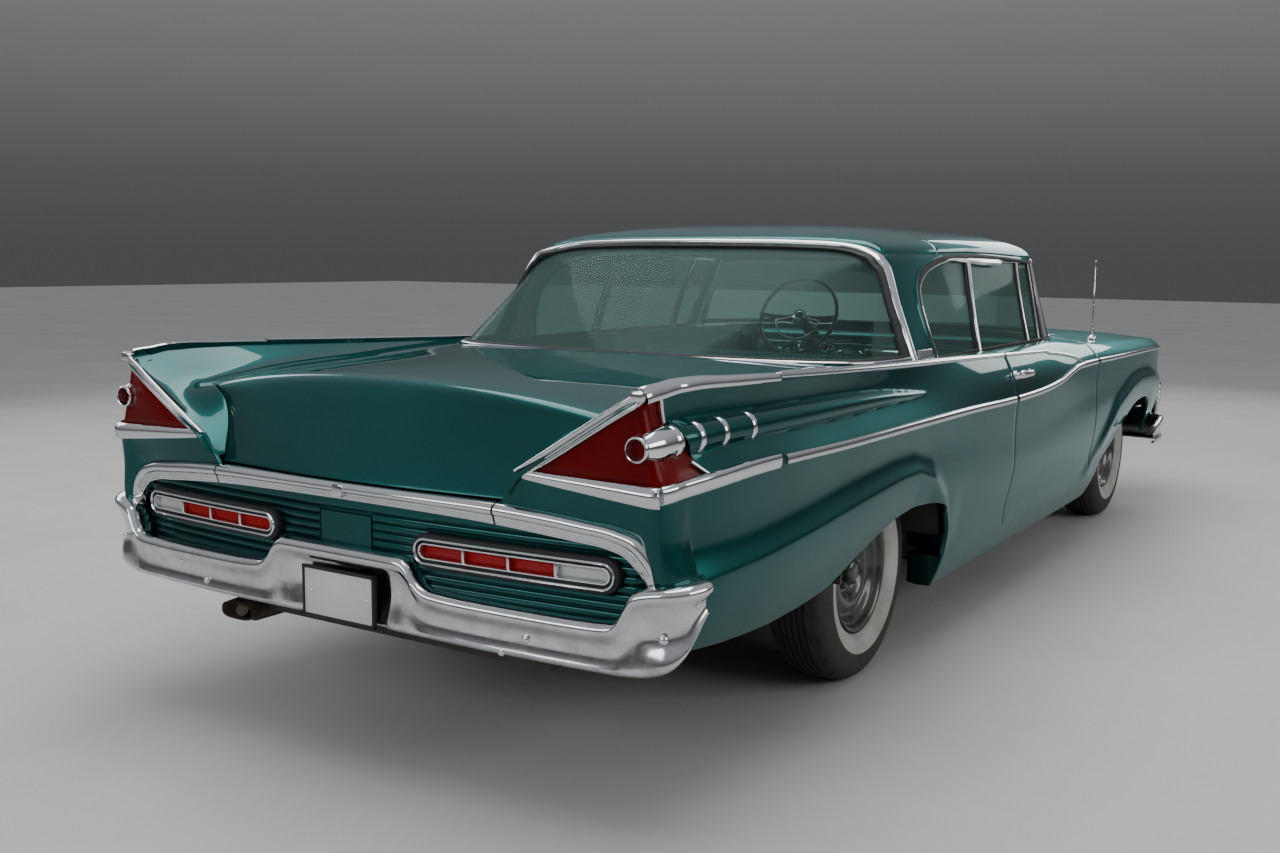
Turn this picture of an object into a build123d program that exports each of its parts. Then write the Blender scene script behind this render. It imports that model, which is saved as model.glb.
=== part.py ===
# A full-size two-door hardtop car of the late 1950s, built as separate body panels, glass, seats,
# frame, axle, suspension, engine block and wheels.
# Frame: millimetres, +Z up, the car faces -Y, +X is the car's left side. The origin is on the floor,
# under the centre of the car's overall box. Lengthwise places are given as stations: the distance
# behind the middle of the wheelbase. y() turns a station into a Y coordinate.
from build123d import *
from math import sin, cos, radians, hypot
import os

os.makedirs("parts", exist_ok=True)

# ---- driving sizes -----------------------------------------------------------------------------
WHEELBASE, TRACK = 3200.0, 1524.0
NOSE, TAIL = -2512.0, 3020.0        # stations of the two bumpers' faces
MID = (NOSE + TAIL) / 2
FRONT_AXLE, REAR_AXLE = -WHEELBASE / 2, WHEELBASE / 2
AXLE_Z = 346.0                      # wheel centres, and the tyre's radius
SKIN = 30.0                         # fender, quarter and deck walls
TRIM_X = 815.0                      # inner face of the doors and the cabin's side walls
GAP = 6.0                           # shut lines
DOOR_FRONT, DOOR_REAR = -670.0, 587.0
HOOD_FRONT, HOOD_REAR = -2434.0, -905.0
LID_FRONT = 1775.0
PANEL_END = 2960.0
SILL_Z = 330.0
BELT_Z = 985.0                      # foot of the glasshouse
ROOF_T = 34.0
PIN_R, PIN_PLAY = 22.0, 0.05        # wheel spindles in their hubs
KING_X = 634.0                      # steering axis
STEER_ARM = 150.0
WHEEL_X, WHEEL_AXIS_TILT = 380.0, 27.0
WHEEL_AT = (380.0, -440.0, 1035.0)  # steering wheel's centre: x, station, z

# ---- body sections -------------------------------------------------------------------------------
# station, then half-section points from the bottom up, each as x, z: rocker, sill, bulge, side
# moulding, belt, fin foot, hood or deck edge, and last the crown height on the centre line
BODY = [
    (-2440, 830, 480, 860, 520, 915, 660, 910, 835, 868, 878, 790, 882, 690, 892, 898),
    (-2150, 880, 360, 925, 430, 975, 690, 958, 850, 902, 898, 830, 904, 700, 918, 932),
    (-1600, 905, 240, 960, 340, 1004, 706, 985, 862, 922, 918, 850, 926, 712, 944, 965),
    (-1000, 920, 225, 965, 335, 1003, 640, 994, 868, 936, 934, 880, 944, 728, 966, 982),
    (-670, 926, 222, 968, 331, 1003, 600, 996, 872, 942, 944, 905, 955, 742, 976, 985),
    (-350, 929, 222, 970, 330, 1005, 580, 1000, 876, 948, 950, 925, 966, 862, 984, 985),
    (0, 930, 222, 970, 330, 1008, 570, 1006, 828, 952, 952, 920, 974, 866, 985, 985),
    (587, 930, 226, 970, 330, 1010, 565, 1010, 812, 952, 972, 915, 980, 866, 985, 985),
    (1100, 930, 245, 974, 345, 1014, 610, 1010, 820, 950, 988, 910, 986, 864, 990, 990),
    (1600, 925, 300, 985, 400, 1025, 676, 1010, 823, 948, 1002, 900, 985, 850, 988, 1002),
    (2100, 905, 395, 985, 415, 1018, 642, 1008, 824, 946, 1018, 860, 975, 722, 972, 1004),
    (2600, 890, 398, 965, 405, 1005, 602, 995, 828, 926, 1036, 815, 955, 720, 952, 1000),
    (2800, 885, 405, 950, 415, 990, 592, 972, 816, 903, 1040, 790, 930, 712, 936, 994),
    (2900, 880, 412, 942, 424, 972, 588, 952, 808, 890, 1032, 640, 862, 565, 868, 878),
    (2960, 875, 425, 930, 435, 955, 586, 936, 802, 882, 1021, 554, 818, 492, 745, 742),
]

# ---- glasshouse outlines, one per height -------------------------------------------------------------
# height, then (x, station) from the windscreen's centre round the left side to the rear window's centre
HOUSE = [
    (BELT_Z, (0, -850), (480, -800), (740, -610), (842, -400), (864, -245), (868, 600), (866, 1100),
     (856, 1320), (790, 1600), (480, 1715), (0, 1745)),
    (1325, (0, -545), (420, -520), (640, -455), (735, -370), (768, -300), (778, 380), (770, 900),
     (722, 1205), (640, 1228), (400, 1242), (0, 1248)),
    (1385, (0, -470), (380, -450), (560, -400), (660, -330), (700, -240), (712, 380), (702, 850),
     (650, 1070), (560, 1120), (300, 1145), (0, 1155)),
    (1447, (0, -150), (250, -140), (400, -60), (450, 40), (465, 200), (470, 350), (455, 520),
     (430, 620), (380, 700), (200, 750), (0, 760)),
]


def y(station):
    return station - MID


def inset(points, by):
    """Closed outline moved inward by a distance, corner by corner."""
    area = sum(points[i - 1][0] * points[i][1] - points[i][0] * points[i - 1][1] for i in range(len(points)))
    side = 1.0 if area > 0 else -1.0
    moved = []
    for i, (px, py) in enumerate(points):
        ax, ay = points[i - 1]
        bx, by_ = points[(i + 1) % len(points)]
        l1, l2 = hypot(px - ax, py - ay), hypot(bx - px, by_ - py)
        n1 = (-(py - ay) / l1 * side, (px - ax) / l1 * side)
        n2 = (-(by_ - py) / l2 * side, (bx - px) / l2 * side)
        nx, ny = n1[0] + n2[0], n1[1] + n2[1]
        k = min(by * 2.0 / max(nx * nx + ny * ny, 0.5), by * 1.6)
        moved.append((px + nx * k, py + ny * k))
    return moved


def both_sides(half):
    """Closed outline from half points that end on the centre line."""
    return half + [(-a, b) for a, b in reversed(half) if abs(a) > 1e-6]


def body_loft(thick, drop, overrun):
    with BuildPart() as made:
        for k, row in enumerate(BODY):
            pts = both_sides([(row[i], row[i + 1]) for i in range(1, 15, 2)] + [(0.0, row[15])])
            if thick:
                pts = inset(pts, thick)
                pts[0] = (pts[0][0], pts[0][1] - drop)
                pts[-1] = (pts[-1][0], pts[-1][1] - drop)
            shift = -overrun if k == 0 else overrun if k == len(BODY) - 1 else 0.0
            with BuildSketch(Plane.XZ.offset(-y(row[0] + shift))):
                with BuildLine():
                    Polyline(*pts, close=True)
                make_face()
        loft(ruled=True)
    return made.part


def house_loft(thick, foot, top_thick):
    with BuildPart() as made:
        for k, (z, *half) in enumerate(HOUSE):
            pts = both_sides([(a, y(s)) for a, s in half])
            if thick:
                pts = inset(pts, thick)
            level = z - top_thick * (0.0, 0.35, 0.8, 1.0)[k]
            for h in (foot, level) if k == 0 and foot < level - 1 else (level,):
                with BuildSketch(Plane.XY.offset(h)):
                    with BuildLine():
                        Polyline(*pts, close=True)
                    make_face()
        loft(ruled=True)
    return made.part


def prism_x(x0, x1, pts):
    """Outline in station, z, drawn out from x0 to x1."""
    with BuildPart() as made:
        with BuildSketch(Plane.YZ.offset(x0)):
            with BuildLine():
                Polyline(*[(y(s), z) for s, z in pts], close=True)
            make_face()
        extrude(amount=x1 - x0)
    return made.part


def prism_y(s0, s1, pts):
    """Outline in x, z, drawn back from station s0 to s1."""
    with BuildPart() as made:
        with BuildSketch(Plane.XZ.offset(-y(s0))):
            with BuildLine():
                Polyline(*pts, close=True)
            make_face()
        extrude(amount=-(s1 - s0))
    return made.part


def prism_z(z0, z1, pts):
    """Outline in x, station, drawn up from z0 to z1."""
    with BuildPart() as made:
        with BuildSketch(Plane.XY.offset(z0)):
            with BuildLine():
                Polyline(*[(a, y(s)) for a, s in pts], close=True)
            make_face()
        extrude(amount=z1 - z0)
    return made.part


def block(x0, x1, s0, s1, z0, z1):
    return prism_z(z0, z1, [(x0, s0), (x1, s0), (x1, s1), (x0, s1)])


def rod(a, b, r):
    """Round bar between two points, each x, station, z."""
    p, q = Vector(a[0], y(a[1]), a[2]), Vector(b[0], y(b[1]), b[2])
    with BuildPart() as made:
        with BuildSketch(Plane(origin=p, z_dir=q - p)):
            Circle(r)
        extrude(amount=(q - p).length)
    return made.part


def turned_x(at, profile):
    """Solid turned about a line along X through a station and height, from (x, radius) points."""
    s, z = at
    with BuildPart() as made:
        with BuildSketch(Plane(origin=(0, y(s), z), x_dir=(1, 0, 0), z_dir=(0, -1, 0))):
            with BuildLine():
                Polyline(*profile, close=True)
            make_face()
        revolve(axis=Axis((0, y(s), z), (1, 0, 0)))
    return made.part


def pair(part):
    """The part and its mirror image, as separate solids."""
    return Compound(children=[*part.solids(), *flip(part).solids()])


def flip(part):
    with BuildPart() as made:
        add(part)
        mirror(about=Plane.YZ, mode=Mode.REPLACE)
    return made.part


SAVED = {}


def save(label, part):
    keep = [s for s in part.solids() if s.volume > 3000]
    out = keep[0] if len(keep) == 1 else Compound(children=keep)
    out.label = label
    export_step(out, f"parts/{label}.step")
    SAVED[label] = len(keep)


outer = body_loft(0.0, 0.0, 0.0)
inner = body_loft(SKIN, 90.0, 60.0)
skin = outer - inner
left_half = block(0, 1200, -2600, 3100, 100, 1200)
left_outer = outer & left_half
left_skin = skin & left_half
house = house_loft(0.0, BELT_Z, 0.0)
house_in = house_loft(ROOF_T, BELT_Z - 60, ROOF_T)
house_cut = house_loft(-4.0, 880.0, 0.0)
glass_out = house_loft(9.0, BELT_Z - 20, 9.0)
glass_in = house_loft(15.0, BELT_Z - 60, 15.0)

# ---- openings in the body -----------------------------------------------------------------------
# wheel arches, station and z
FRONT_ARCH = [(-2075, 100), (-2075, 400), (-2040, 500), (-1960, 575), (-1850, 612), (-1600, 624), (-1450, 600),
              (-1300, 545), (-1170, 470), (-1085, 400), (-1070, 100)]
REAR_ARCH = [(1218, 100), (1218, 400), (1282, 510), (1390, 560), (1560, 570), (1720, 552), (1960, 472),
             (2130, 418), (2220, 380), (2220, 100)]
front_arch = prism_x(600, 1100, FRONT_ARCH)
rear_arch = prism_x(600, 1100, REAR_ARCH)

# hood and lid edges seen from above, x and station
HOOD_EDGE = [(690, HOOD_FRONT), (700, -2150), (712, -1600), (728, -1000), (730, HOOD_REAR)]
LID_EDGE = [(700, LID_FRONT), (722, 2100), (720, 2600), (712, 2800), (565, 2900), (494, 2975)]
HOOD_HOLE = [(696, HOOD_FRONT - 80), (706, -2150), (718, -1600), (734, -1000), (736, HOOD_REAR + GAP)]
LID_HOLE = [(706, LID_FRONT - GAP), (728, 2100), (726, 2600), (721, 2800), (581, 2900), (506, 2975), (506, 3060)]
hood_zone = prism_z(800, 1100, both_sides(HOOD_EDGE))
hood_hole = prism_z(760, 1100, both_sides(HOOD_HOLE))
lid_zone = prism_z(700, 1100, both_sides(LID_EDGE))
lid_hole = prism_z(600, 1100, both_sides(LID_HOLE))

# door, seen from above: the rear edge is cut back inside so that it swings clear of its jamb
DOOR_PLAN = [(1100, DOOR_FRONT + 4), (1100, DOOR_REAR - 3), (992, DOOR_REAR - 3),
             (TRIM_X, DOOR_REAR - 40), (TRIM_X, DOOR_FRONT + 4)]
DOOR_HOLE = [(1100, DOOR_FRONT - 3), (1100, DOOR_REAR + 3), (992, DOOR_REAR + 3),
             (700, DOOR_REAR - 34), (700, DOOR_FRONT - 3)]
door_zone = prism_z(SILL_Z + 6, 1100, DOOR_PLAN)
door_hole = prism_z(SILL_Z, 1100, DOOR_HOLE)

# side window, station and z
SIDE_WINDOW = [(-239, 900), (-239, BELT_Z), (-318, 1318), (378, 1322), (760, 1321), (860, 1310), (965, 1284), (1038, 1246),
               (1077, 1206), (1094, 1160), (1093, 1109), (1084, 1045), (1066, BELT_Z), (1066, 900)]
side_cut = prism_x(600, 1000, SIDE_WINDOW)
side_cuts = side_cut + flip(side_cut)
# everything ahead of the front pillars, station and z
AHEAD = [(-1000, 900), (-1000, 1372), (-545, 1372), (-440, 1340), (-380, 1326), (-318, 1318), (-239, BELT_Z), (-239, 900)]
screen_hole = prism_x(-1000, 1000, [(-1000, BELT_Z + 14), (-1000, 1330), (-370, 1318), (-292, BELT_Z + 14)])
rear_hole = prism_x(-1000, 1000, [(1900, BELT_Z + 12), (1335, BELT_Z + 12), (1319, 1055), (1310, 1116), (1292, 1188), (1262, 1259),
                                  (1228, 1322), (1186, 1358), (1150, 1372), (1900, 1372)])

# tail cones' sockets
CONE = [(888.0, 2860, 905.0), (884.0, 2984, 902.0)]
cone = rod(CONE[0], CONE[1], 42.0)
cone_socket = rod((888.1, 2857, 905.1), (883.48, 3000, 901.61), 43.0)

# ---- hood and lid --------------------------------------------------------------------------------
with BuildPart() as hood:
    add(skin)
    add(hood_zone, mode=Mode.INTERSECT)
save("hood", hood.part)

lid_foot = block(-900, 900, 2800, 3100, 600, 748)
with BuildPart() as trunk_lid:
    add(skin)
    add(lid_zone, mode=Mode.INTERSECT)
    add(lid_foot, mode=Mode.SUBTRACT)
save("trunk_lid", trunk_lid.part)

# ---- doors, fenders, quarters ----------------------------------------------------------------------
under_screen = block(700, 1000, -700, -200, 979, 1100)
glass_slot = block(838, 874, -240, DOOR_REAR, 940, 1100)
door_top = block(700, 1000, -700, 700, BELT_Z - 1, 1100)
with BuildPart() as door:
    add(left_outer)
    add(door_zone, mode=Mode.INTERSECT)
    add(under_screen, mode=Mode.SUBTRACT)
    add(door_top, mode=Mode.SUBTRACT)
    add(glass_slot, mode=Mode.SUBTRACT)
save("left_door", door.part)
save("right_door", flip(door.part))

fender_zone = block(0, 1100, -2440, DOOR_FRONT - 3, 200, 1100)
cowl_zone = block(-741, 741, HOOD_REAR - 30, -500, 700, 1100)
rocker_zone = block(835, 1100, -1070, 1214, 200, SILL_Z)
with BuildPart() as fender:
    add(left_skin)
    add(fender_zone, mode=Mode.INTERSECT)
    add(hood_hole, mode=Mode.SUBTRACT)
    add(cowl_zone, mode=Mode.SUBTRACT)
    add(front_arch, mode=Mode.SUBTRACT)
    add(rocker_zone, mode=Mode.SUBTRACT)
save("front_fenders", pair(fender.part))

quarter_zone = block(0, 1100, DOOR_REAR + 3, PANEL_END, 200, 1100)
deck_zone = block(-722, 722, 500, LID_FRONT + 60, 700, 1100)
side_wall_zone = block(TRIM_X, 1100, DOOR_REAR - 60, 1175, SILL_Z, BELT_Z - 2)
tail_zone = (block(500, 1100, 2740, PANEL_END, 742, 1100) + block(612, 1100, 2480, PANEL_END, 790, 1100))
with BuildPart() as side_wall:
    add(left_outer)
    add(side_wall_zone, mode=Mode.INTERSECT)
with BuildPart() as tail_wall:
    add(left_outer)
    add(tail_zone, mode=Mode.INTERSECT)
with BuildPart() as quarter:
    add(left_skin)
    add(side_wall.part)
    add(quarter_zone, mode=Mode.INTERSECT)
    add(tail_wall.part)
    add(lid_hole, mode=Mode.SUBTRACT)
    add(house_cut, mode=Mode.SUBTRACT)
    add(deck_zone, mode=Mode.SUBTRACT)
    add(rear_arch, mode=Mode.SUBTRACT)
    add(door_hole, mode=Mode.SUBTRACT)
    add(rocker_zone, mode=Mode.SUBTRACT)
    add(cone_socket, mode=Mode.SUBTRACT)
save("quarter_panels", pair(quarter.part))

back_zone = block(-721, 721, 1400, LID_FRONT - GAP, 800, 1100)
with BuildPart() as upper_back:
    add(skin)
    add(back_zone, mode=Mode.INTERSECT)
    add(house_cut, mode=Mode.SUBTRACT)
save("upper_back_panel", upper_back.part)

with BuildPart() as rocker:
    add(left_outer)
    add(rocker_zone, mode=Mode.INTERSECT)
    add(front_arch, mode=Mode.SUBTRACT)
    add(rear_arch, mode=Mode.SUBTRACT)
rocker_hollow = block(845, 905, -1010, 1200, 245, 315)
rocker_part = rocker.part - rocker_hollow
save("rocker_panels", pair(rocker_part))

# ---- cowl, firewall and the panels beside the front footwells ------------------------------------------
cowl_top_zone = block(-739, 739, HOOD_REAR + GAP, -560, 800, 1100) + block(-811, 811, DOOR_FRONT - 1, -380, 800, 1100)
with BuildPart() as cowl_top:
    add(skin)
    add(cowl_top_zone, mode=Mode.INTERSECT)
    add(house_cut, mode=Mode.SUBTRACT)
firewall = block(-TRIM_X - 20, TRIM_X + 20, -890, -870, 420, 912)
kick_panel = block(TRIM_X, TRIM_X + 20, -872, DOOR_FRONT - 4, 331, 912)
cowl_web = block(-735, 735, -890, -870, 905, 958)
with BuildPart() as cowl:
    add(cowl_top.part)
    add(firewall)
    add(kick_panel)
    add(flip(kick_panel))
    add(cowl_web)
save("cowl", cowl.part)

# ---- glasshouse -----------------------------------------------------------------------------------
with BuildPart() as roof:
    add(house)
    add(house_in, mode=Mode.SUBTRACT)
    add(side_cuts, mode=Mode.SUBTRACT)
    add(screen_hole, mode=Mode.SUBTRACT)
    add(rear_hole, mode=Mode.SUBTRACT)
save("roof", roof.part)

screen_zone = prism_x(-1000, 1000, [(-1000, BELT_Z + 15), (-1000, 1329), (-371, 1317), (-293, BELT_Z + 15)])
rear_zone = prism_x(-1000, 1000, [(1900, BELT_Z + 13), (1336.5, BELT_Z + 13), (1320.5, 1055), (1311.5, 1116), (1293.5, 1188), (1263.5, 1259),
                                  (1229.5, 1322), (1187, 1357.5), (1151, 1371), (1900, 1371)])
door_glass_zone = prism_x(0, 1000, [(-232, BELT_Z - 60), (-232, BELT_Z), (-309, 1312), (518, 1316), (560, 1208), (583, 1095),
                                    (583, BELT_Z + 6), (545, BELT_Z + 6), (545, BELT_Z - 60)])
quarter_glass_zone = prism_x(0, 1000, [(597, BELT_Z + 1), (597, 1095), (574, 1208), (532, 1316), (758, 1315), (857, 1304), (961, 1278),
                                       (1033, 1241), (1071, 1203), (1087, 1159), (1086, 1109), (1077, 1046), (1059, BELT_Z + 1)])
with BuildPart() as windscreen:
    add(glass_out)
    add(glass_in, mode=Mode.SUBTRACT)
    add(screen_zone, mode=Mode.INTERSECT)
save("windscreen", windscreen.part)
with BuildPart() as rear_window:
    add(glass_out)
    add(glass_in, mode=Mode.SUBTRACT)
    add(rear_zone, mode=Mode.INTERSECT)
save("rear_window", rear_window.part)
with BuildPart() as door_glass:
    add(glass_out)
    add(glass_in, mode=Mode.SUBTRACT)
    add(door_glass_zone, mode=Mode.INTERSECT)
save("left_door_glass", door_glass.part)
save("right_door_glass", flip(door_glass.part))
with BuildPart() as quarter_glass:
    add(glass_out)
    add(glass_in, mode=Mode.SUBTRACT)
    add(quarter_glass_zone, mode=Mode.INTERSECT)
save("quarter_windows", pair(quarter_glass.part))

# ---- frame ------------------------------------------------------------------------------------------
# side view of the rails, station and z, and the left rail from above, x and station
RAIL_SIDE = [(-2400, 372), (-1000, 372), (-760, 297), (1230, 297), (1340, 475), (1880, 475), (2150, 402), (2860, 402),
             (2860, 312), (2150, 312), (1880, 400), (1360, 400), (1262, 205), (-770, 205), (-1010, 276), (-2400, 276)]
RAIL_PLAN = [(400, -2400), (460, -2400), (460, -1060), (680, -700), (680, 980), (565, 1200), (565, 2860),
             (505, 2860), (505, 1170), (600, 950), (600, -680), (400, -1000)]
# cross members: stations and z
CROSS = [(-2400, -2350, 290, 372), (-1660, -1540, 215, 300), (-190, -110, 205, 262), (1090, 1150, 205, 262),
         (2200, 2260, 330, 402), (2810, 2860, 312, 402)]
with BuildPart() as frame_rails:
    add(prism_x(0, 1000, RAIL_SIDE))
    add(prism_z(100, 600, RAIL_PLAN), mode=Mode.INTERSECT)
rail_pair = pair(frame_rails.part)
cross_parts = [block(-610 if -800 < s0 < 1200 else -520 if s0 > 1200 else -430, 610 if -800 < s0 < 1200 else 520 if s0 > 1200 else 430,
                     s0, s1, z0, z1) for s0, s1, z0, z1 in CROSS]
shaft_gap = rod((0, -300, 345), (0, 1300, 346), 62)
pipe_gap = rod((255, -1000, 236), (255, 1200, 236), 33)
with BuildPart() as chassis:
    add(rail_pair)
    for piece in cross_parts:
        add(piece)
    add(shaft_gap, mode=Mode.SUBTRACT)
    add(pipe_gap, mode=Mode.SUBTRACT)
    with Locations(Location((0, y(2835), 357), (90, 0, 0))):
        with Locations((-100, 0), (100, 0)):
            Cylinder(8.5, 80, mode=Mode.SUBTRACT)
save("chassis_frame", chassis.part)

# ---- floor: toe board, cabin floor with its tunnel, and the raised trunk floor ---------------------------
FLOOR_TOP = [(-866, 560), (-700, 340), (-640, 312), (1222, 312), (1236, 512), (2900, 512)]
FLOOR_LOW = [(2900, 500), (1248, 500), (1234, 300), (-645, 300), (-712, 330), (-866, 545)]
tunnel_out = prism_y(-860, 1225, [(-160, 290), (-125, 430), (125, 430), (160, 290)])
tunnel_in = prism_y(-900, 1260, [(-147, 270), (-147, 290), (-115, 418), (115, 418), (147, 290), (147, 270)])
toe_part = prism_x(-811, 811, [(-866, 560), (-700, 340), (-640, 312), (-645, 300), (-712, 330), (-866, 545)])
cabin_floor = prism_x(-832, 832, [(-650, 312), (1222, 312), (1222, 300), (-650, 300)])
heel_board = prism_x(-632, 632, [(1218, 312), (1236, 512), (2040, 512), (2040, 500), (1248, 500), (1232, 300), (1218, 300)])
trunk_floor = prism_x(-830, 830, [(2030, 512), (2890, 512), (2890, 500), (2030, 500)])
with BuildPart() as floor_pan:
    add(toe_part)
    add(cabin_floor)
    add(tunnel_out)
    add(heel_board)
    add(trunk_floor)
    add(tunnel_in, mode=Mode.SUBTRACT)
save("floor_pan", floor_pan.part)

# ---- wheelhouses ---------------------------------------------------------------------------------------
TUB_R, TUB_T = 400.0, 12.0
tub_outer = rod((640, REAR_AXLE, AXLE_Z), (948, REAR_AXLE, AXLE_Z), TUB_R + TUB_T)
tub_inner = rod((652, REAR_AXLE, AXLE_Z), (990, REAR_AXLE, AXLE_Z), TUB_R)
tub_low = block(500, 1100, 1000, 2300, -200, 405)
apron = block(474, 486, -2340, -895, 376, 752)
apron_top = block(474, 925, -2090, -1010, 740, 752)
apron_rear = block(484, 900, -1022, -1010, 420, 745)
arm_notch = block(440, 500, -1790, -1410, 370, 570)
tub_back = block(652, 845, 2012, 2024, 430, 498)
with BuildPart() as tub:
    add(tub_outer)
    add(tub_inner, mode=Mode.SUBTRACT)
    add(tub_low, mode=Mode.SUBTRACT)
with BuildPart() as front_apron:
    add(apron)
    add(apron_top)
    add(apron_rear)
    add(arm_notch, mode=Mode.SUBTRACT)
save("inner_fenders", Compound(children=[*pair(tub.part).solids(), *pair(front_apron.part).solids()]))

# ---- front end ------------------------------------------------------------------------------------------
LAMP_XZ = [(600.0, 735.0), (765.0, 735.0)]
LAMP_R = 72.0
grille_plate = prism_y(-2468, -2446, [(-880, 520), (-895, 660), (-885, 830), (-850, 862), (850, 862), (885, 830), (895, 660), (880, 520),
                                      (840, 478), (-840, 478)])
with BuildPart() as grille:
    add(grille_plate)
    for lx, lz in LAMP_XZ:
        for sx in (-1, 1):
            add(rod((sx * lx, -2500, lz), (sx * lx, -2400, lz), LAMP_R + 2), mode=Mode.SUBTRACT)
save("grille", grille.part)
with BuildPart() as headlamps:
    for lx, lz in LAMP_XZ:
        for sx in (-1, 1):
            add(rod((sx * lx, -2474, lz), (sx * lx, -2390, lz), LAMP_R))
save("headlamps", headlamps.part)

# bumpers, from above: x and station, outer face then inner face
FRONT_BUMPER = [(0, NOSE), (600, -2508), (850, -2494), (928, -2466), (968, -2390), (985, -2110),
                (962, -2110), (944, -2385), (912, -2440), (845, -2466), (600, -2480), (0, -2484)]
REAR_HIGH = [(0, TAIL), (300, 3018), (600, 3008), (880, 2993), (975, 2974), (1010, 2930), (1023, 2866),
             (1003, 2862), (992, 2910), (972, 2962), (880, 2966), (600, 2984), (300, 2992), (0, 2993)]
REAR_LOW = [(0, 3003), (300, 3001), (600, 2994), (880, 2981), (966, 2969), (1000, 2925), (1014, 2870),
            (1002, 2866), (990, 2905), (961, 2961.5), (880, 2965), (600, 2980), (300, 2990), (0, 2991)]


def full_ring(half):
    """Closed bumper outline from its left half: outer points, then as many inner points."""
    n = len(half) // 2
    outside, inside = half[:n], half[n:]
    return ([(-a, b) for a, b in reversed(outside[1:])] + outside + inside[:-1]
            + [(0.0, inside[-1][1])] + [(-a, b) for a, b in reversed(inside[:-1])])


front_bar = prism_z(305, 455, full_ring(FRONT_BUMPER))
pod = block(870, 928, -2500, -2471, 545, 655) + block(882, 914, -2486, -2471, 440, 560)
front_arm = block(405, 455, -2482, -2400, 306, 366)
with BuildPart() as front_bumper:
    add(front_bar)
    add(pod)
    add(flip(pod))
    add(front_arm)
    add(flip(front_arm))
save("front_bumper", front_bumper.part)

# the rear bumper's lower face stands back from its upper roll, which rises in the middle and at the ends
RIDGE = [(-1100, 596), (-872, 596), (-842, 506), (-290, 506), (-215, 576), (215, 576), (290, 506), (842, 506), (872, 596), (1100, 596)]
ridge_zone = prism_y(2600, 3100, RIDGE + [(1100, 455), (-1100, 455)])
rear_arm = block(512, 558, 2860, 2984, 382, 398)
plate_recess = block(-134, 134, 3002, 3100, 440, 516)
with BuildPart() as rear_roll:
    add(prism_z(455, 600, full_ring(REAR_HIGH)))
    add(ridge_zone, mode=Mode.INTERSECT)
    add(plate_recess, mode=Mode.SUBTRACT)
with BuildPart() as rear_bumper:
    add(prism_z(378, 457, full_ring(REAR_LOW)))
    add(rear_roll.part)
    add(rear_arm)
    add(flip(rear_arm))
save("rear_bumper", rear_bumper.part)

# ---- tail ------------------------------------------------------------------------------------------------
with BuildPart() as rear_panel:
    add(prism_z(432, 738, both_sides([(838, 2928), (836, 2938), (530, 2968), (230, 2985), (0, 2988)])))
save("rear_panel", rear_panel.part)
pod_half = prism_z(557, 643, [(237, 2986), (530, 2969.5), (824, 2941), (824, 2955), (530, 2987), (237, 3004)])
save("rear_lamp_pods", pair(pod_half))
TAIL_LAMP = [(874, 1004), (590, 828), (924, 812)]
with BuildPart() as tail_lamp:
    add(prism_y(PANEL_END + 0.5, PANEL_END + 14, TAIL_LAMP))
    add(cone_socket, mode=Mode.SUBTRACT)
save("tail_lamps", pair(tail_lamp.part))
save("tail_cones", pair(cone))
save("number_plate", block(-122, 122, 3003.5, 3008, 388, 510))

# ---- cabin ------------------------------------------------------------------------------------------------
TILT = radians(WHEEL_AXIS_TILT)
AXIS_DIR = (0.0, cos(TILT), sin(TILT))


def along(d):
    """Point on the steering column's line, d behind the wheel's centre."""
    return (WHEEL_AT[0], WHEEL_AT[1] + d * cos(TILT), WHEEL_AT[2] + d * sin(TILT))


column_hole = rod(along(-520), along(10), 40)
dash = prism_x(-790, 790, [(-862, 760), (-862, 925), (-800, 946), (-640, 962), (-590, 940), (-585, 800), (-640, 720), (-700, 720)])
dash_zone = prism_z(600, 1000, [(a, b + MID) for a, b in inset(both_sides([(a, y(s)) for a, s in HOUSE[0][1:]]), 42)])
with BuildPart() as dashboard:
    add(dash)
    add(dash_zone, mode=Mode.INTERSECT)
    add(column_hole, mode=Mode.SUBTRACT)
save("dashboard", dashboard.part)
save("steering_column", rod(along(-452), along(-52), 30))

with BuildPart() as steering_wheel:
    with BuildSketch(Plane(origin=(WHEEL_AT[0], y(WHEEL_AT[1]), WHEEL_AT[2]), x_dir=(1, 0, 0), z_dir=AXIS_DIR)) as rim_plane:
        Circle(30)
        Rectangle(388, 26)
    extrude(amount=14, both=True)
    with BuildSketch(Plane(origin=(WHEEL_AT[0], y(WHEEL_AT[1]), WHEEL_AT[2]), x_dir=(1, 0, 0), z_dir=AXIS_DIR)):
        Circle(212)
        Circle(188, mode=Mode.SUBTRACT)
    extrude(amount=12, both=True)
    with BuildSketch(Plane(origin=(WHEEL_AT[0], y(WHEEL_AT[1]), WHEEL_AT[2]), x_dir=(1, 0, 0), z_dir=AXIS_DIR)):
        Circle(24)
    extrude(amount=-44)
save("steering_wheel", steering_wheel.part)

tunnel_room = prism_y(-200, 1300, [(-172, 300), (-135, 440), (135, 440), (172, 300)])
front_bench = prism_x(-690, 690, [(-60, 345), (-72, 470), (-40, 530), (360, 505), (455, 940), (500, 965), (560, 955), (580, 900),
                                  (545, 420), (500, 345)])
rear_bench = prism_x(-628, 628, [(765, 330), (752, 480), (780, 545), (1085, 520), (1165, 905), (1200, 932), (1256, 930), (1210, 470),
                                 (1195, 330)])
with BuildPart() as front_seat:
    add(front_bench)
    add(tunnel_room, mode=Mode.SUBTRACT)
save("front_seat", front_seat.part)
with BuildPart() as rear_seat:
    add(rear_bench)
    add(tunnel_room, mode=Mode.SUBTRACT)
save("rear_seat", rear_seat.part)
save("parcel_shelf", prism_z(938, 952, both_sides([(770, 1272), (768, 1330), (712, 1560), (430, 1660), (0, 1690)])))

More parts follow.
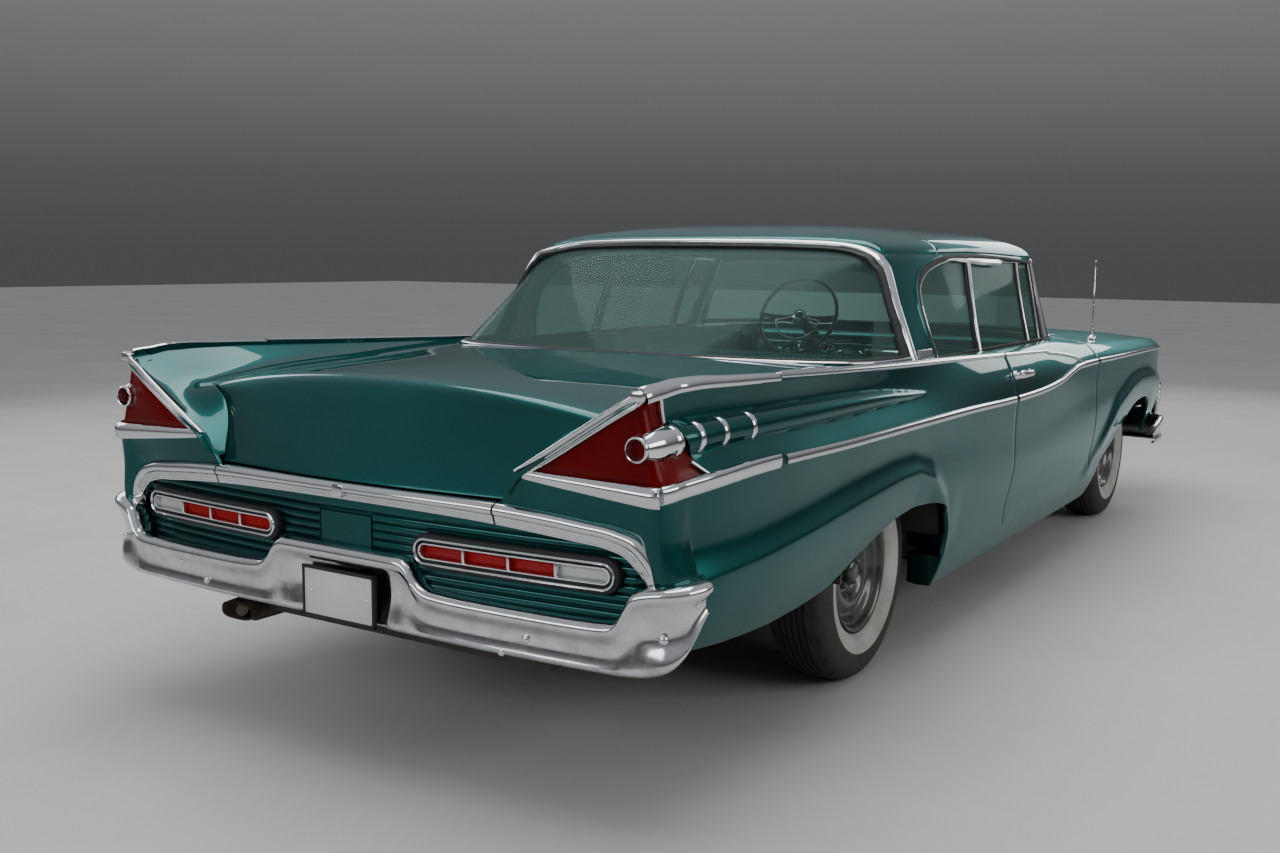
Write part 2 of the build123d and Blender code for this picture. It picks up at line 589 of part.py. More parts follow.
# ---- engine and gearbox, radiator ---------------------------------------------------------------------------
engine_block = prism_y(-1760, -1060, [(-210, 320), (-330, 640), (-250, 800), (-90, 850), (90, 850), (250, 800), (330, 640), (210, 320)])
oil_pan = block(-140, 140, -1390, -1080, 235, 330)
gearbox = prism_y(-1062, -500, [(-95, 270), (-105, 380), (-70, 410), (70, 410), (105, 380), (95, 270)])
with BuildPart() as engine:
    add(engine_block)
    add(oil_pan)
    add(gearbox)
save("engine", engine.part)
save("radiator", block(-340, 340, -2130, -2070, 390, 850))

# ---- running gear ---------------------------------------------------------------------------------------------
SPRING_X = 603.0
axle_tube = rod((-640, REAR_AXLE, AXLE_Z), (640, REAR_AXLE, AXLE_Z), 40)
DIFF = [(-165, 0), (-160, 70), (-110, 130), (-40, 142), (40, 142), (110, 130), (160, 70), (165, 0)]
diff = turned_x((REAR_AXLE, AXLE_Z), DIFF)
pinion = rod((0, 1420, AXLE_Z), (0, REAR_AXLE - 60, AXLE_Z), 60)
back_plate = rod((628, REAR_AXLE, AXLE_Z), (640, REAR_AXLE, AXLE_Z), 150)
stub = rod((630, REAR_AXLE, AXLE_Z), (755, REAR_AXLE, AXLE_Z), PIN_R)
spring_pad = block(SPRING_X - 28, SPRING_X + 18, 1560, 1640, 298, 320)
with BuildPart() as rear_axle:
    add(axle_tube)
    add(diff)
    add(pinion)
    add(back_plate)
    add(flip(back_plate))
    add(stub)
    add(flip(stub))
save("rear_axle", rear_axle.part)

LEAF = [(1275, 322), (1285, 300), (1450, 284), (1600, 278), (1750, 284), (1950, 300), (2240, 352), (2252, 372),
        (2246, 390), (2228, 388), (2232, 366), (1945, 316), (1760, 304), (1600, 300), (1440, 304), (1296, 320), (1290, 340)]
leaf = prism_x(SPRING_X - 32, SPRING_X + 24, LEAF)
save("leaf_springs", pair(leaf))
save("driveshaft", rod((0, -495, 345), (0, 1418, 346), 38))
save("fuel_tank", prism_x(-452, 452, [(2330, 268), (2300, 296), (2300, 326), (2780, 326), (2780, 296), (2750, 268)]))
# exhaust: pipe from the engine, silencer, tail pipe over the axle to the left rear, as x, station, z
PIPE = [(255, -1040, 236), (255, 1160, 236), (330, 1300, 260), (395, 1440, 430), (410, 1760, 432), (482, 2080, 290),
        (482, 2866, 290), (462, 2930, 322)]
with BuildPart() as exhaust:
    for a, b in zip(PIPE, PIPE[1:]):
        add(rod(a, b, 19))
    for a in PIPE[1:-1]:
        with Locations((a[0], y(a[1]), a[2])):
            Sphere(19)
    add(rod((255, 60, 236), (255, 640, 236), 52))
save("exhaust", exhaust.part)

# front suspension: lower arm, spring, tower and upper arm in one piece each side
low_arm = prism_z(186, 208, [(405, -1760), (600, -1655), (655, -1635), (655, -1565), (600, -1545), (405, -1440), (405, -1500),
                             (560, -1580), (560, -1620), (405, -1700)])
up_arm = prism_z(493, 513, [(462, -1750), (600, -1655), (655, -1635), (655, -1565), (600, -1545), (462, -1450)])
spring = rod((520, FRONT_AXLE, 206), (520, FRONT_AXLE, 495), 46)
tower = block(461, 540, -1680, -1520, 372, 495)
king_hole = rod((KING_X, FRONT_AXLE, 150), (KING_X, FRONT_AXLE, 550), 17.5)
low_web = block(430, 600, -1640, -1560, 186, 208)
with BuildPart() as suspension:
    add(low_arm)
    add(low_web)
    add(up_arm)
    add(spring)
    add(tower)
    add(king_hole, mode=Mode.SUBTRACT)
save("front_suspension", pair(suspension.part))

upright = block(KING_X - 22, KING_X + 21, FRONT_AXLE - 34, FRONT_AXLE + 34, 216, 485)
king_pin = rod((KING_X, FRONT_AXLE, 180), (KING_X, FRONT_AXLE, 520), 12)
spindle = rod((KING_X + 10, FRONT_AXLE, AXLE_Z), (755, FRONT_AXLE, AXLE_Z), PIN_R)
steer_arm = block(KING_X - 14, KING_X + 14, FRONT_AXLE + 30, FRONT_AXLE + STEER_ARM + 16, 216, 236)
with BuildPart() as knuckle:
    add(upright)
    add(king_pin)
    add(spindle)
    add(steer_arm)
save("left_knuckle", knuckle.part)
save("right_knuckle", flip(knuckle.part))
LINK_S = FRONT_AXLE + STEER_ARM
link_bar = rod((-KING_X, LINK_S, 254), (KING_X, LINK_S, 254), 10)
link_end = rod((KING_X, LINK_S, 242), (KING_X, LINK_S, 266), 17)
with BuildPart() as link:
    add(link_bar)
    add(link_end)
    add(flip(link_end))
save("steering_link", link.part)

# ---- wheels: (x, radius) round each axle, left side ------------------------------------------------------------
BORE_R = PIN_R + PIN_PLAY
RIM = [(662, BORE_R), (662, 130), (738, 130), (738, 166), (690, 166), (684, 176), (684, 190), (692, 190), (692, 178), (832, 178),
       (832, 190), (840, 190), (840, 176), (834, 166), (752, 166), (752, 78), (775, 62), (786, 28), (786, 0), (760, 0),
       (760, BORE_R)]
TYRE = [(696, 178.3), (694, 198), (672, 215), (660, 262), (668, 312), (690, 338), (720, 346), (804, 346), (834, 338),
        (856, 312), (864, 262), (852, 215), (830, 198), (828, 178.3)]
for end, station in (("front", FRONT_AXLE), ("rear", REAR_AXLE)):
    rim = turned_x((station, AXLE_Z), RIM)
    tyre = turned_x((station, AXLE_Z), TYRE)
    save(f"{end}_left_wheel", rim)
    save(f"{end}_left_tyre", tyre)
    save(f"{end}_right_wheel", flip(rim))
    save(f"{end}_right_tyre", flip(tyre))

# ---- aerial on the right front fender ---------------------------------------------------------------------------
save("aerial", rod((-872, -1050, 949), (-872, -1050, 962), 16) + rod((-872, -1050, 958), (-872, -1050, 1320), 2.5))

print("nodes", len(SAVED), {k: v for k, v in SAVED.items() if v != 1})
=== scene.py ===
"""Looks of the 1950s classic car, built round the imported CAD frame. Lengths in the tables are millimetres: x to the car's
left, s the station from the nose end (front wheels at -1600, rear wheels at 1600), z up from the ground."""

import math
import bpy
import bmesh
import numpy as np
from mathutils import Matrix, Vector


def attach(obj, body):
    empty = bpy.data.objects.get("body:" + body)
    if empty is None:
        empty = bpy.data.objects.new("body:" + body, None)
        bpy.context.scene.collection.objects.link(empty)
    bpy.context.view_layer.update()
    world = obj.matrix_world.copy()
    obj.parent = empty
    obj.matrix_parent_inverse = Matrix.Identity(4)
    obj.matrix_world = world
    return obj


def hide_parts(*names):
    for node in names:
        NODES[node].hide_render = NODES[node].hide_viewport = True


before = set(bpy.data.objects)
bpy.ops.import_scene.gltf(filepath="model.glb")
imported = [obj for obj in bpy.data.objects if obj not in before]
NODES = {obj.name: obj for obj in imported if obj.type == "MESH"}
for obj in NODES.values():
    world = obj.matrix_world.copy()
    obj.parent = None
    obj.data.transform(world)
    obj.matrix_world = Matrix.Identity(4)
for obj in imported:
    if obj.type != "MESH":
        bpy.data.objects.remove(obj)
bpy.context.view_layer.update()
MID = 254.0
scene = bpy.context.scene


def A(*p):
    return np.array(p, float)


def unit(v):
    v = np.asarray(v, float)
    return v / np.maximum(np.linalg.norm(v, axis=-1, keepdims=True), 1e-9)


def spline(xs, ys, q, tight=False):
    """Smooth curve through table rows. Slopes are averages, held back where the table turns, so nothing overshoots much."""
    xs, ys = np.asarray(xs, float), np.asarray(ys, float)
    one = ys.ndim == 1
    if one:
        ys = ys[:, None]
    q = np.atleast_1d(np.asarray(q, float))
    h = np.diff(xs)[:, None]
    d = np.diff(ys, axis=0) / h
    m = np.empty_like(ys)
    m[0], m[-1] = d[0], d[-1]
    if len(xs) > 2:
        m[1:-1] = (d[:-1] * h[1:] + d[1:] * h[:-1]) / (h[1:] + h[:-1])
        low = np.minimum(np.abs(d[:-1]), np.abs(d[1:])) * (2.0 if tight else 3.0)
        if tight:
            m[1:-1] = np.where(d[:-1] * d[1:] <= 0, 0.0, m[1:-1])
        m[1:-1] = np.where(np.abs(m[1:-1]) > low, np.sign(m[1:-1]) * np.maximum(low, 0 if tight else np.abs(m[1:-1]) * 0.35), m[1:-1])
    i = np.clip(np.searchsorted(xs, q, side="right") - 1, 0, len(xs) - 2)
    t = ((q - xs[i]) / (xs[i + 1] - xs[i]))[:, None]
    hh = h[i]
    t = np.clip(t, -0.6, 1.6)
    out = ((1 + 2 * t) * (1 - t) ** 2 * ys[i] + t * (1 - t) ** 2 * hh * m[i]
           + t * t * (3 - 2 * t) * ys[i + 1] + t * t * (t - 1) * hh * m[i + 1])
    return out[:, 0] if one else out


def track(points, n, tight=False, power=1.0):
    """n points along a smooth curve through 3-D points, evenly by length."""
    p = np.asarray(points, float)
    u = np.concatenate([[0], np.cumsum(np.linalg.norm(np.diff(p, axis=0), axis=1) ** power)])
    fine = spline(u, p, np.linspace(0, u[-1], max(12 * len(p), 4 * n)), tight)
    L = np.concatenate([[0], np.cumsum(np.linalg.norm(np.diff(fine, axis=0), axis=1))])
    want = np.linspace(0, L[-1], n)
    return np.stack([np.interp(want, L, fine[:, k]) for k in range(p.shape[1])], 1)


def smoothstep(a, b, x):
    t = np.clip((np.asarray(x, float) - a) / (b - a), 0, 1)
    return t * t * (3 - 2 * t)


class Shape:
    """A mesh under construction: patches, shells, swept bars and turned rings, then one object."""

    def __init__(self):
        self.v, self.f, self.m, self.n = [], [], [], 0
        self.hidden = []

    def add(self, verts, faces, mat=0):
        verts = np.asarray(verts, float).reshape(-1, 3)
        base = self.n
        self.v.append(verts)
        self.f += [tuple(int(i) + base for i in f) for f in faces]
        self.m += [mat] * len(faces)
        self.n += len(verts)
        return self

    def include(self, other, mat=None):
        verts = np.concatenate(other.v)
        base = self.n
        self.v.append(verts)
        self.f += [tuple(i + base for i in f) for f in other.f]
        self.m += list(other.m) if mat is None else [mat] * len(other.f)
        self.hidden += [(a + base, b + base) for a, b in other.hidden]
        self.n += len(verts)
        return self

    def flipped(self):
        o = Shape()
        o.v = [v * A(-1, 1, 1) for v in self.v]
        o.f = [tuple(reversed(f)) for f in self.f]
        o.m, o.n, o.hidden = list(self.m), self.n, list(self.hidden)
        return o

    def both(self):
        return self.include(self.flipped())

    def shifted(self, dx=0.0, ds=0.0, dz=0.0):
        o = Shape()
        o.v = [v + A(dx, ds, dz) for v in self.v]
        o.f, o.m, o.n, o.hidden = list(self.f), list(self.m), self.n, list(self.hidden)
        return o

    def grid(self, g, mat=0, wrap_r=False, wrap_c=False):
        g = np.asarray(g, float)
        R, C = g.shape[:2]
        faces = []
        for i in range(R if wrap_r else R - 1):
            for j in range(C if wrap_c else C - 1):
                a, b = i * C + j, i * C + (j + 1) % C
                c, d = ((i + 1) % R) * C + (j + 1) % C, ((i + 1) % R) * C + j
                faces.append((a, b, c, d))
        return self.add(g, faces, mat)

    def shell(self, g, thick=14.0, edge=2.2, ref=None, mat=0, inner=None, inner_mat=None):
        """A closed panel from its outer face: rounded edges, then an inner face."""
        g = np.asarray(g, float)
        R, C = g.shape[:2]
        n = grid_normals(g, ref)
        t = np.zeros_like(g)
        t[0] += unit(g[0] - g[1])
        t[-1] += unit(g[-1] - g[-2])
        t[:, 0] += unit(g[:, 0] - g[:, 1])
        t[:, -1] += unit(g[:, -1] - g[:, -2])
        t -= n * np.sum(t * n, -1, keepdims=True)
        size = np.linalg.norm(t, axis=-1, keepdims=True)
        t = np.where(size > 1e-6, t / np.maximum(size, 1e-9) * np.minimum(size, 1.35), 0)
        inside = g - n * thick if inner is None else np.asarray(inner, float)
        loop = ([(0, j) for j in range(C)] + [(i, C - 1) for i in range(1, R)]
                + [(R - 1, j) for j in range(C - 2, -1, -1)] + [(i, 0) for i in range(R - 2, 0, -1)])
        li, lj = np.array([a for a, _ in loop]), np.array([b for _, b in loop])
        G, T, N, I = g[li, lj], t[li, lj], n[li, lj], inside[li, lj]
        rings = [G + T * edge * 0.62 - N * edge * 0.2, G + T * edge - N * edge * 0.75, G + T * edge * 1.0 + (I - G) * 0.6]
        K = len(loop)
        base_in = R * C
        base_ring = 2 * R * C
        verts = np.concatenate([g.reshape(-1, 3), inside.reshape(-1, 3)] + rings)
        faces, mats = [], []
        for i in range(R - 1):
            for j in range(C - 1):
                a, b, c, d = i * C + j, i * C + j + 1, (i + 1) * C + j + 1, (i + 1) * C + j
                faces.append((a, b, c, d))
                mats.append(mat)
                faces.append((base_in + d, base_in + c, base_in + b, base_in + a))
                mats.append(mat if inner_mat is None else inner_mat)
        ids = [[i * C + j for i, j in loop]] + [[base_ring + k * K + q for q in range(K)] for k in range(3)] + [
            [base_in + i * C + j for i, j in loop]]
        for k in range(4):
            a, b = ids[k], ids[k + 1]
            for q in range(K):
                r = (q + 1) % K
                faces.append((a[q], b[q], b[r], a[r]))
                mats.append(mat)
        start_ = self.n
        self.add(verts, faces, mat)
        self.m[-len(faces):] = mats
        self.hidden.append((start_ + R * C, start_ + 2 * R * C))
        return self

    def bar(self, path, across, up, profile, scale=None, closed=False, caps=True, mat=0, lift=None):
        """A profile, (across, up) points in order, carried along a path. scale is (n, 2) or (n,). across and up are one vector or one per point."""
        path = np.asarray(path, float)
        n = len(path)
        across = np.broadcast_to(np.asarray(across, float), (n, 3))
        up = np.broadcast_to(np.asarray(up, float), (n, 3))
        prof = np.asarray(profile, float)
        if prof.ndim == 2:
            prof = np.broadcast_to(prof, (n,) + prof.shape)
        if scale is not None:
            scale = np.asarray(scale, float)
            if scale.ndim == 1:
                scale = np.stack([scale, scale], 1)
            prof = prof * scale[:, None, :]
        if lift is not None:
            path = path + up * np.asarray(lift, float)[:, None]
        g = path[:, None, :] + across[:, None, :] * prof[..., :1] + up[:, None, :] * prof[..., 1:2]
        C = g.shape[1]
        self.grid(g, mat, wrap_r=closed, wrap_c=True)
        if caps and not closed:
            base = self.n - n * C
            self.f.append(tuple(base + j for j in range(C)))
            self.f.append(tuple(base + (n - 1) * C + j for j in reversed(range(C))))
            self.m += [mat, mat]
        return self

    def turned(self, centre, axis, profile, seg=64, mat=0, closed=False, start=None, squash=None):
        """Profile of (along, radius) points turned about an axis. Ends on the axis close themselves; a closed profile makes a ring."""
        axis = unit(axis)
        ref = A(0, 0, 1) if abs(axis[2]) < 0.9 else A(1, 0, 0)
        e1 = unit(np.cross(axis, ref)) if start is None else unit(start)
        e2 = np.cross(axis, e1)
        prof = np.asarray(profile, float)
        ang = np.arange(seg) * 2 * math.pi / seg
        g = (np.asarray(centre, float) + axis * prof[:, None, :1]
             + prof[:, None, 1:2] * (np.cos(ang)[None, :, None] * e1 + np.sin(ang)[None, :, None] * e2 * (squash or 1.0)))
        R, C = g.shape[:2]
        self.grid(g, mat, wrap_r=closed, wrap_c=True)
        if not closed:
            base = self.n - R * C
            for r, rev in ((0, True), (R - 1, False)):
                ids = [base + r * C + j for j in range(C)]
                self.f.append(tuple(reversed(ids)) if rev else tuple(ids))
                self.m.append(mat)
        return self

    def box(self, lo, hi, edge=1.5, mat=0):
        """A block with bevelled edges."""
        lo, hi = np.minimum(lo, hi).astype(float), np.maximum(lo, hi).astype(float)
        e = min(edge, *(0.45 * (hi - lo)))
        bm = bmesh.new()
        bmesh.ops.create_cube(bm, size=1.0)
        for v in bm.verts:
            v.co = Vector([lo[k] if v.co[k] < 0 else hi[k] for k in range(3)])
        bmesh.ops.bevel(bm, geom=list(bm.edges), offset=e, segments=2, profile=0.5, affect="EDGES")
        bm.verts.index_update()
        self.add([tuple(v.co) for v in bm.verts], [[v.index for v in f.verts] for f in bm.faces], mat)
        bm.free()
        return self

    def make(self, name, body, mats, slot=None, angle=34.0, clean=True, weld=0.0):
        me = bpy.data.meshes.new(name)
        v = np.concatenate(self.v)
        v = np.stack([v[:, 0], v[:, 1] - MID, v[:, 2]], 1) / 1000.0
        me.from_pydata(v.tolist(), [], self.f)
        mats = mats if isinstance(mats, (list, tuple)) else [mats]
        for m in mats:
            me.materials.append(m)
        me.polygons.foreach_set("material_index", self.m)
        o = bpy.data.objects.new(name, me)
        scene.collection.objects.link(o)
        inner_n = sum(b - a for a, b in self.hidden)
        if inner_n > 500:
            # panels' inner faces are thinned out, their outer faces stay as they are
            vg = o.vertex_groups.new(name="inner")
            vg.add([i for a, b in self.hidden for i in range(a, b)], 1.0, "REPLACE")
        bm = bmesh.new()
        bm.from_mesh(me)
        if weld:
            bmesh.ops.remove_doubles(bm, verts=bm.verts, dist=weld / 1000.0)
        bmesh.ops.dissolve_degenerate(bm, edges=bm.edges, dist=1e-6)
        big = [f for f in bm.faces if len(f.verts) > 8]
        if big:
            bmesh.ops.triangulate(bm, faces=big)
        if clean:
            bmesh.ops.recalc_face_normals(bm, faces=bm.faces)
        bm.to_mesh(me)
        bm.free()
        if inner_n > 500:
            share = inner_n / self.n
            d = o.modifiers.new("thin", "DECIMATE")
            d.ratio = 1.0 - 0.90 * share
            d.vertex_group = "inner"
            d.vertex_group_factor = 10.0
            me = bpy.data.meshes.new_from_object(o.evaluated_get(bpy.context.evaluated_depsgraph_get()))
            o.modifiers.clear()
            o.data = me
            o.vertex_groups.clear()
        me.polygons.foreach_set("use_smooth", [True] * len(me.polygons))
        me.set_sharp_from_angle(angle=math.radians(angle))
        me.update()
        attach(o, body)
        return o


def grid_normals(g, ref=None):
    du, dv = np.gradient(g, axis=0), np.gradient(g, axis=1)
    n = np.cross(du, dv)
    size = np.linalg.norm(n, axis=-1, keepdims=True)
    bad = size[..., 0] < 1e-6 * (size.max() + 1e-9)
    n = n / np.maximum(size, 1e-12)
    if bad.any():
        good = n[~bad].mean(0) if (~bad).any() else A(0, 0, 1)
        n[bad] = unit(good)
    if ref is None:
        c = g.reshape(-1, 3).mean(0)
        ref = A(0, c[1] * 0.9, 500)
    if np.sum(n * (g - np.asarray(ref, float))) < 0:
        n = -n
    return n


def ellipse(a, b, n=16, power=2.0):
    t = np.arange(n) * 2 * math.pi / n
    c, s_ = np.cos(t), np.sin(t)
    return np.stack([a * np.sign(c) * np.abs(c) ** (2 / power), b * np.sign(s_) * np.abs(s_) ** (2 / power)], 1)


def half_round(w, h, n=9, sink=3.0, flat=2.0):
    """A moulding's profile: width w, height h over the panel, and a foot that goes a little into it."""
    t = np.linspace(0, math.pi, n)
    top = np.stack([-0.5 * w * np.sign(np.cos(t)) * np.abs(np.cos(t)) ** (2 / flat), h * np.abs(np.sin(t)) ** (2 / flat)], 1)
    return np.concatenate([[(-0.5 * w, -sink)], top, [(0.5 * w, -sink)]])


# ---- materials ------------------------------------------------------------------------------------
class Mat:
    """A Principled material with small helpers for procedural inputs."""

    def __init__(self, name, **plain):
        self.m = bpy.data.materials.new(name)
        self.m.use_nodes = True
        self.t = self.m.node_tree
        self.p = self.t.nodes["Principled BSDF"]
        self.co = self.new("ShaderNodeTexCoord").outputs["Object"]
        for k, v in plain.items():
            self.set(k.replace("_", " "), v)

    def new(self, kind, **props):
        n = self.t.nodes.new(kind)
        for k, v in props.items():
            setattr(n, k, v)
        return n

    def set(self, socket, v):
        s = self.p.inputs[socket]
        s.default_value = (*v, 1.0) if isinstance(v, tuple) and len(v) == 3 else v

    def link(self, a, b):
        self.t.links.new(a, b)
        return self

    def scaled(self, sx=1.0, sy=1.0, sz=1.0):
        n = self.new("ShaderNodeMapping")
        n.inputs["Scale"].default_value = (sx, sy, sz)
        self.link(self.co, n.inputs["Vector"])
        return n.outputs["Vector"]

    def noise(self, scale, detail=4.0, rough=0.55, vector=None, distort=0.0):
        n = self.new("ShaderNodeTexNoise")
        n.inputs["Scale"].default_value = scale
        n.inputs["Detail"].default_value = detail
        n.inputs["Roughness"].default_value = rough
        n.inputs["Distortion"].default_value = distort
        self.link(vector or self.co, n.inputs["Vector"])
        return n.outputs["Fac"]

    def cells(self, scale, feature="F1", vector=None, out="Distance"):
        n = self.new("ShaderNodeTexVoronoi", feature=feature)
        n.inputs["Scale"].default_value = scale
        self.link(vector or self.co, n.inputs["Vector"])
        return n.outputs[out]

    def wave(self, scale, direction="X", vector=None, profile="SIN", distort=0.0, detail=1.0):
        n = self.new("ShaderNodeTexWave", wave_type="BANDS", bands_direction=direction, wave_profile=profile)
        n.inputs["Scale"].default_value = scale
        n.inputs["Distortion"].default_value = distort
        n.inputs["Detail"].default_value = detail
        self.link(vector or self.co, n.inputs["Vector"])
        return n.outputs["Fac"]

    def ramp(self, fac, *stops):
        """stops: (position, colour or grey)."""
        n = self.new("ShaderNodeValToRGB")
        e = n.color_ramp.elements
        while len(e) < len(stops):
            e.new(0.5)
        for k, (at, c) in enumerate(stops):
            e[k].position = at
            e[k].color = (*c, 1.0) if isinstance(c, tuple) else (c, c, c, 1.0)
        self.link(fac, n.inputs["Fac"])
        return n.outputs["Color"]

    def mix(self, fac, a, b, kind="MIX"):
        n = self.new("ShaderNodeMix", data_type="RGBA", blend_type=kind)
        for sock, v in ((n.inputs["Factor"], fac), (n.inputs[6], a), (n.inputs[7], b)):
            if isinstance(v, bpy.types.NodeSocket):
                self.link(v, sock)
            else:
                sock.default_value = (*v, 1.0) if isinstance(v, tuple) else v
        return n.outputs[2]

    def math(self, op, a, b=0.0, clamp=False):
        n = self.new("ShaderNodeMath", operation=op, use_clamp=clamp)
        for sock, v in ((n.inputs[0], a), (n.inputs[1], b)):
            if isinstance(v, bpy.types.NodeSocket):
                self.link(v, sock)
            else:
                sock.default_value = v
        return n.outputs[0]

    def height(self):
        """Height over the ground in metres."""
        n = self.new("ShaderNodeSeparateXYZ")
        self.link(self.co, n.inputs["Vector"])
        return n.outputs["Z"]

    def axis(self, k):
        n = self.new("ShaderNodeSeparateXYZ")
        self.link(self.co, n.inputs["Vector"])
        return n.outputs[k]

    def low(self, full, none):
        """1 below the height full, 0 above none."""
        n = self.new("ShaderNodeMapRange", interpolation_type="SMOOTHSTEP")
        n.inputs["From Min"].default_value = full
        n.inputs["From Max"].default_value = none
        n.inputs["To Min"].default_value = 1.0
        n.inputs["To Max"].default_value = 0.0
        self.link(self.height(), n.inputs["Value"])
        return n.outputs["Result"]

    def color(self, out):
        return self.link(out, self.p.inputs["Base Color"])

    def rough(self, fac, lo, hi):
        n = self.new("ShaderNodeMapRange")
        n.inputs["To Min"].default_value = lo
        n.inputs["To Max"].default_value = hi
        self.link(fac, n.inputs["Value"])
        return self.link(n.outputs["Result"], self.p.inputs["Roughness"])

    def bump(self, fac, strength, distance=0.001, coat=False):
        n = self.new("ShaderNodeBump")
        n.inputs["Strength"].default_value = strength
        n.inputs["Distance"].default_value = distance
        self.link(fac, n.inputs["Height"])
        self.link(n.outputs["Normal"], self.p.inputs["Normal"])
        if coat:
            self.link(n.outputs["Normal"], self.p.inputs["Coat Normal"])
        return self


def paint_material(name, deep, light, dust=0.5):
    k = Mat(name, Metallic=0.88, Coat_Weight=0.85, Coat_Roughness=0.03, Coat_IOR=1.36, Specular_IOR_Level=0.4)
    k.set("Specular Tint", (0.10, 0.62, 0.62))
    flake = k.cells(2600.0, out="Color")
    grey = k.new("ShaderNodeRGBToBW")
    k.link(flake, grey.inputs["Color"])
    sparkle = k.ramp(grey.outputs["Val"], (0.0, 0.62), (0.75, 1.0), (1.0, 1.5))
    body = k.mix(k.ramp(k.noise(1.3, 3.0), (0.35, 0.0), (0.7, 1.0)), deep, light)
    body = k.mix(0.55, body, sparkle, "MULTIPLY")
    film = k.math("MULTIPLY", k.low(0.30, 0.62), k.ramp(k.noise(9.0, 8.0, 0.7), (0.38, 0.15), (0.72, 1.0)))
    film = k.math("MULTIPLY", film, dust)
    k.color(k.mix(film, body, (0.105, 0.098, 0.085)))
    r = k.math("ADD", k.math("MULTIPLY", k.noise(6.0, 6.0, 0.6), 0.12), k.math("MULTIPLY", film, 0.45))
    k.rough(r, 0.27, 0.75)
    k.bump(k.math("ADD", k.math("MULTIPLY", grey.outputs["Val"], 0.06), k.noise(420.0, 2.0)), 0.035, 0.0006)
    return k.m


def chrome_material(name, tint=(0.80, 0.81, 0.83), rough=(0.035, 0.13), wear=0.5):
    k = Mat(name, Metallic=1.0)
    smear = k.noise(7.0, 8.0, 0.62, distort=0.6)
    dull = k.ramp(k.noise(38.0, 6.0, 0.7), (0.52, 0.0), (0.78, 1.0))
    dirt = k.math("MULTIPLY", k.low(0.25, 0.75), k.ramp(k.noise(16.0, 8.0, 0.72), (0.4, 0.0), (0.75, 1.0)))
    dirt = k.math("MULTIPLY", dirt, wear)
    c = k.mix(k.ramp(smear, (0.35, 0.0), (0.75, 0.55)), tint, (0.62, 0.63, 0.65))
    c = k.mix(dirt, c, (0.20, 0.185, 0.165))
    k.color(c)
    f = k.math("ADD", k.math("MULTIPLY", smear, 0.35), k.math("ADD", k.math("MULTIPLY", dull, 0.35), dirt), clamp=True)
    k.rough(f, rough[0], rough[1] + 0.22)
    k.bump(k.noise(55.0, 3.0, 0.5), 0.02, 0.001)
    return k.m


def plain_material(name, dark, light, rough=(0.35, 0.6), scale=14.0, bump=0.15, depth=0.0006, metallic=0.0, grain=240.0, coat=0.0,
                   dirt=0.0, dirt_range=(0.15, 0.6), dirt_color=(0.13, 0.12, 0.10), spec=0.5, coat_rough=0.1):
    k = Mat(name, Metallic=metallic, Specular_IOR_Level=spec)
    if coat:
        k.set("Coat Weight", coat)
        k.set("Coat Roughness", coat_rough)
    n = k.noise(scale, 7.0, 0.62)
    c = k.mix(k.ramp(n, (0.32, 0.0), (0.70, 1.0)), dark, light)
    f = k.noise(scale * 2.6, 6.0, 0.6)
    if dirt:
        film = k.math("MULTIPLY", k.low(*dirt_range), k.ramp(k.noise(scale * 0.8, 8.0, 0.7), (0.3, 0.2), (0.7, 1.0)))
        film = k.math("MULTIPLY", film, dirt)
        c = k.mix(film, c, dirt_color)
        f = k.math("ADD", f, film, clamp=True)
    k.color(c)
    k.rough(f, *rough)
    if bump:
        k.bump(k.math("ADD", k.noise(grain, 3.0), k.math("MULTIPLY", n, 0.6)), bump, depth)
    return k.m


PAINT = paint_material("paint_teal", (0.0008, 0.060, 0.058), (0.0016, 0.098, 0.094), 0.35)
PAINT_IN = plain_material("paint_teal_inner", (0.003, 0.034, 0.035), (0.004, 0.052, 0.053), (0.4, 0.6), 6.0, 0.1, coat=0.3, dirt=0.4)
CHROME = chrome_material("chrome_plate", (0.74, 0.75, 0.77), (0.03, 0.12), 0.75)
CHROME_SMOOTH = chrome_material("chrome_trim", (0.82, 0.83, 0.85), (0.03, 0.10), 0.25)
# a darkened copy of the chrome for the parts deep in the grille: painted shade of the opening's depth
CHROME_SHADED = chrome_material("chrome_painted_shade", (0.16, 0.165, 0.175), (0.10, 0.25), 0.6)
RUBBER = plain_material("rubber_seal", (0.010, 0.010, 0.011), (0.020, 0.020, 0.021), (0.55, 0.8), 22.0, 0.25, 0.0005)
# plain black, both for real black trim such as the plate's frame and for sheets that are painted shade behind the
# grille, inside the lamps and round the pods
BLACK_TRIM_AND_SHADE = plain_material("black_trim_and_painted_shade", (0.006, 0.006, 0.007), (0.014, 0.014, 0.015), (0.45, 0.75), 18.0, 0.2)
FRAME_BLACK = plain_material("frame_black", (0.014, 0.014, 0.014), (0.03, 0.029, 0.028), (0.5, 0.85), 9.0, 0.3, 0.001, dirt=0.65, dirt_range=(0.2, 0.7))
UNDERCOAT = plain_material("undercoat", (0.012, 0.012, 0.012), (0.030, 0.029, 0.028), (0.7, 0.95), 12.0, 0.55, 0.002, dirt=0.5, dirt_range=(0.2, 0.9), grain=90.0)
IRON = plain_material("cast_iron", (0.035, 0.033, 0.031), (0.075, 0.066, 0.058), (0.5, 0.85), 16.0, 0.45, 0.001, metallic=0.55, dirt=0.55, dirt_range=(0.15, 0.8), dirt_color=(0.10, 0.075, 0.05))
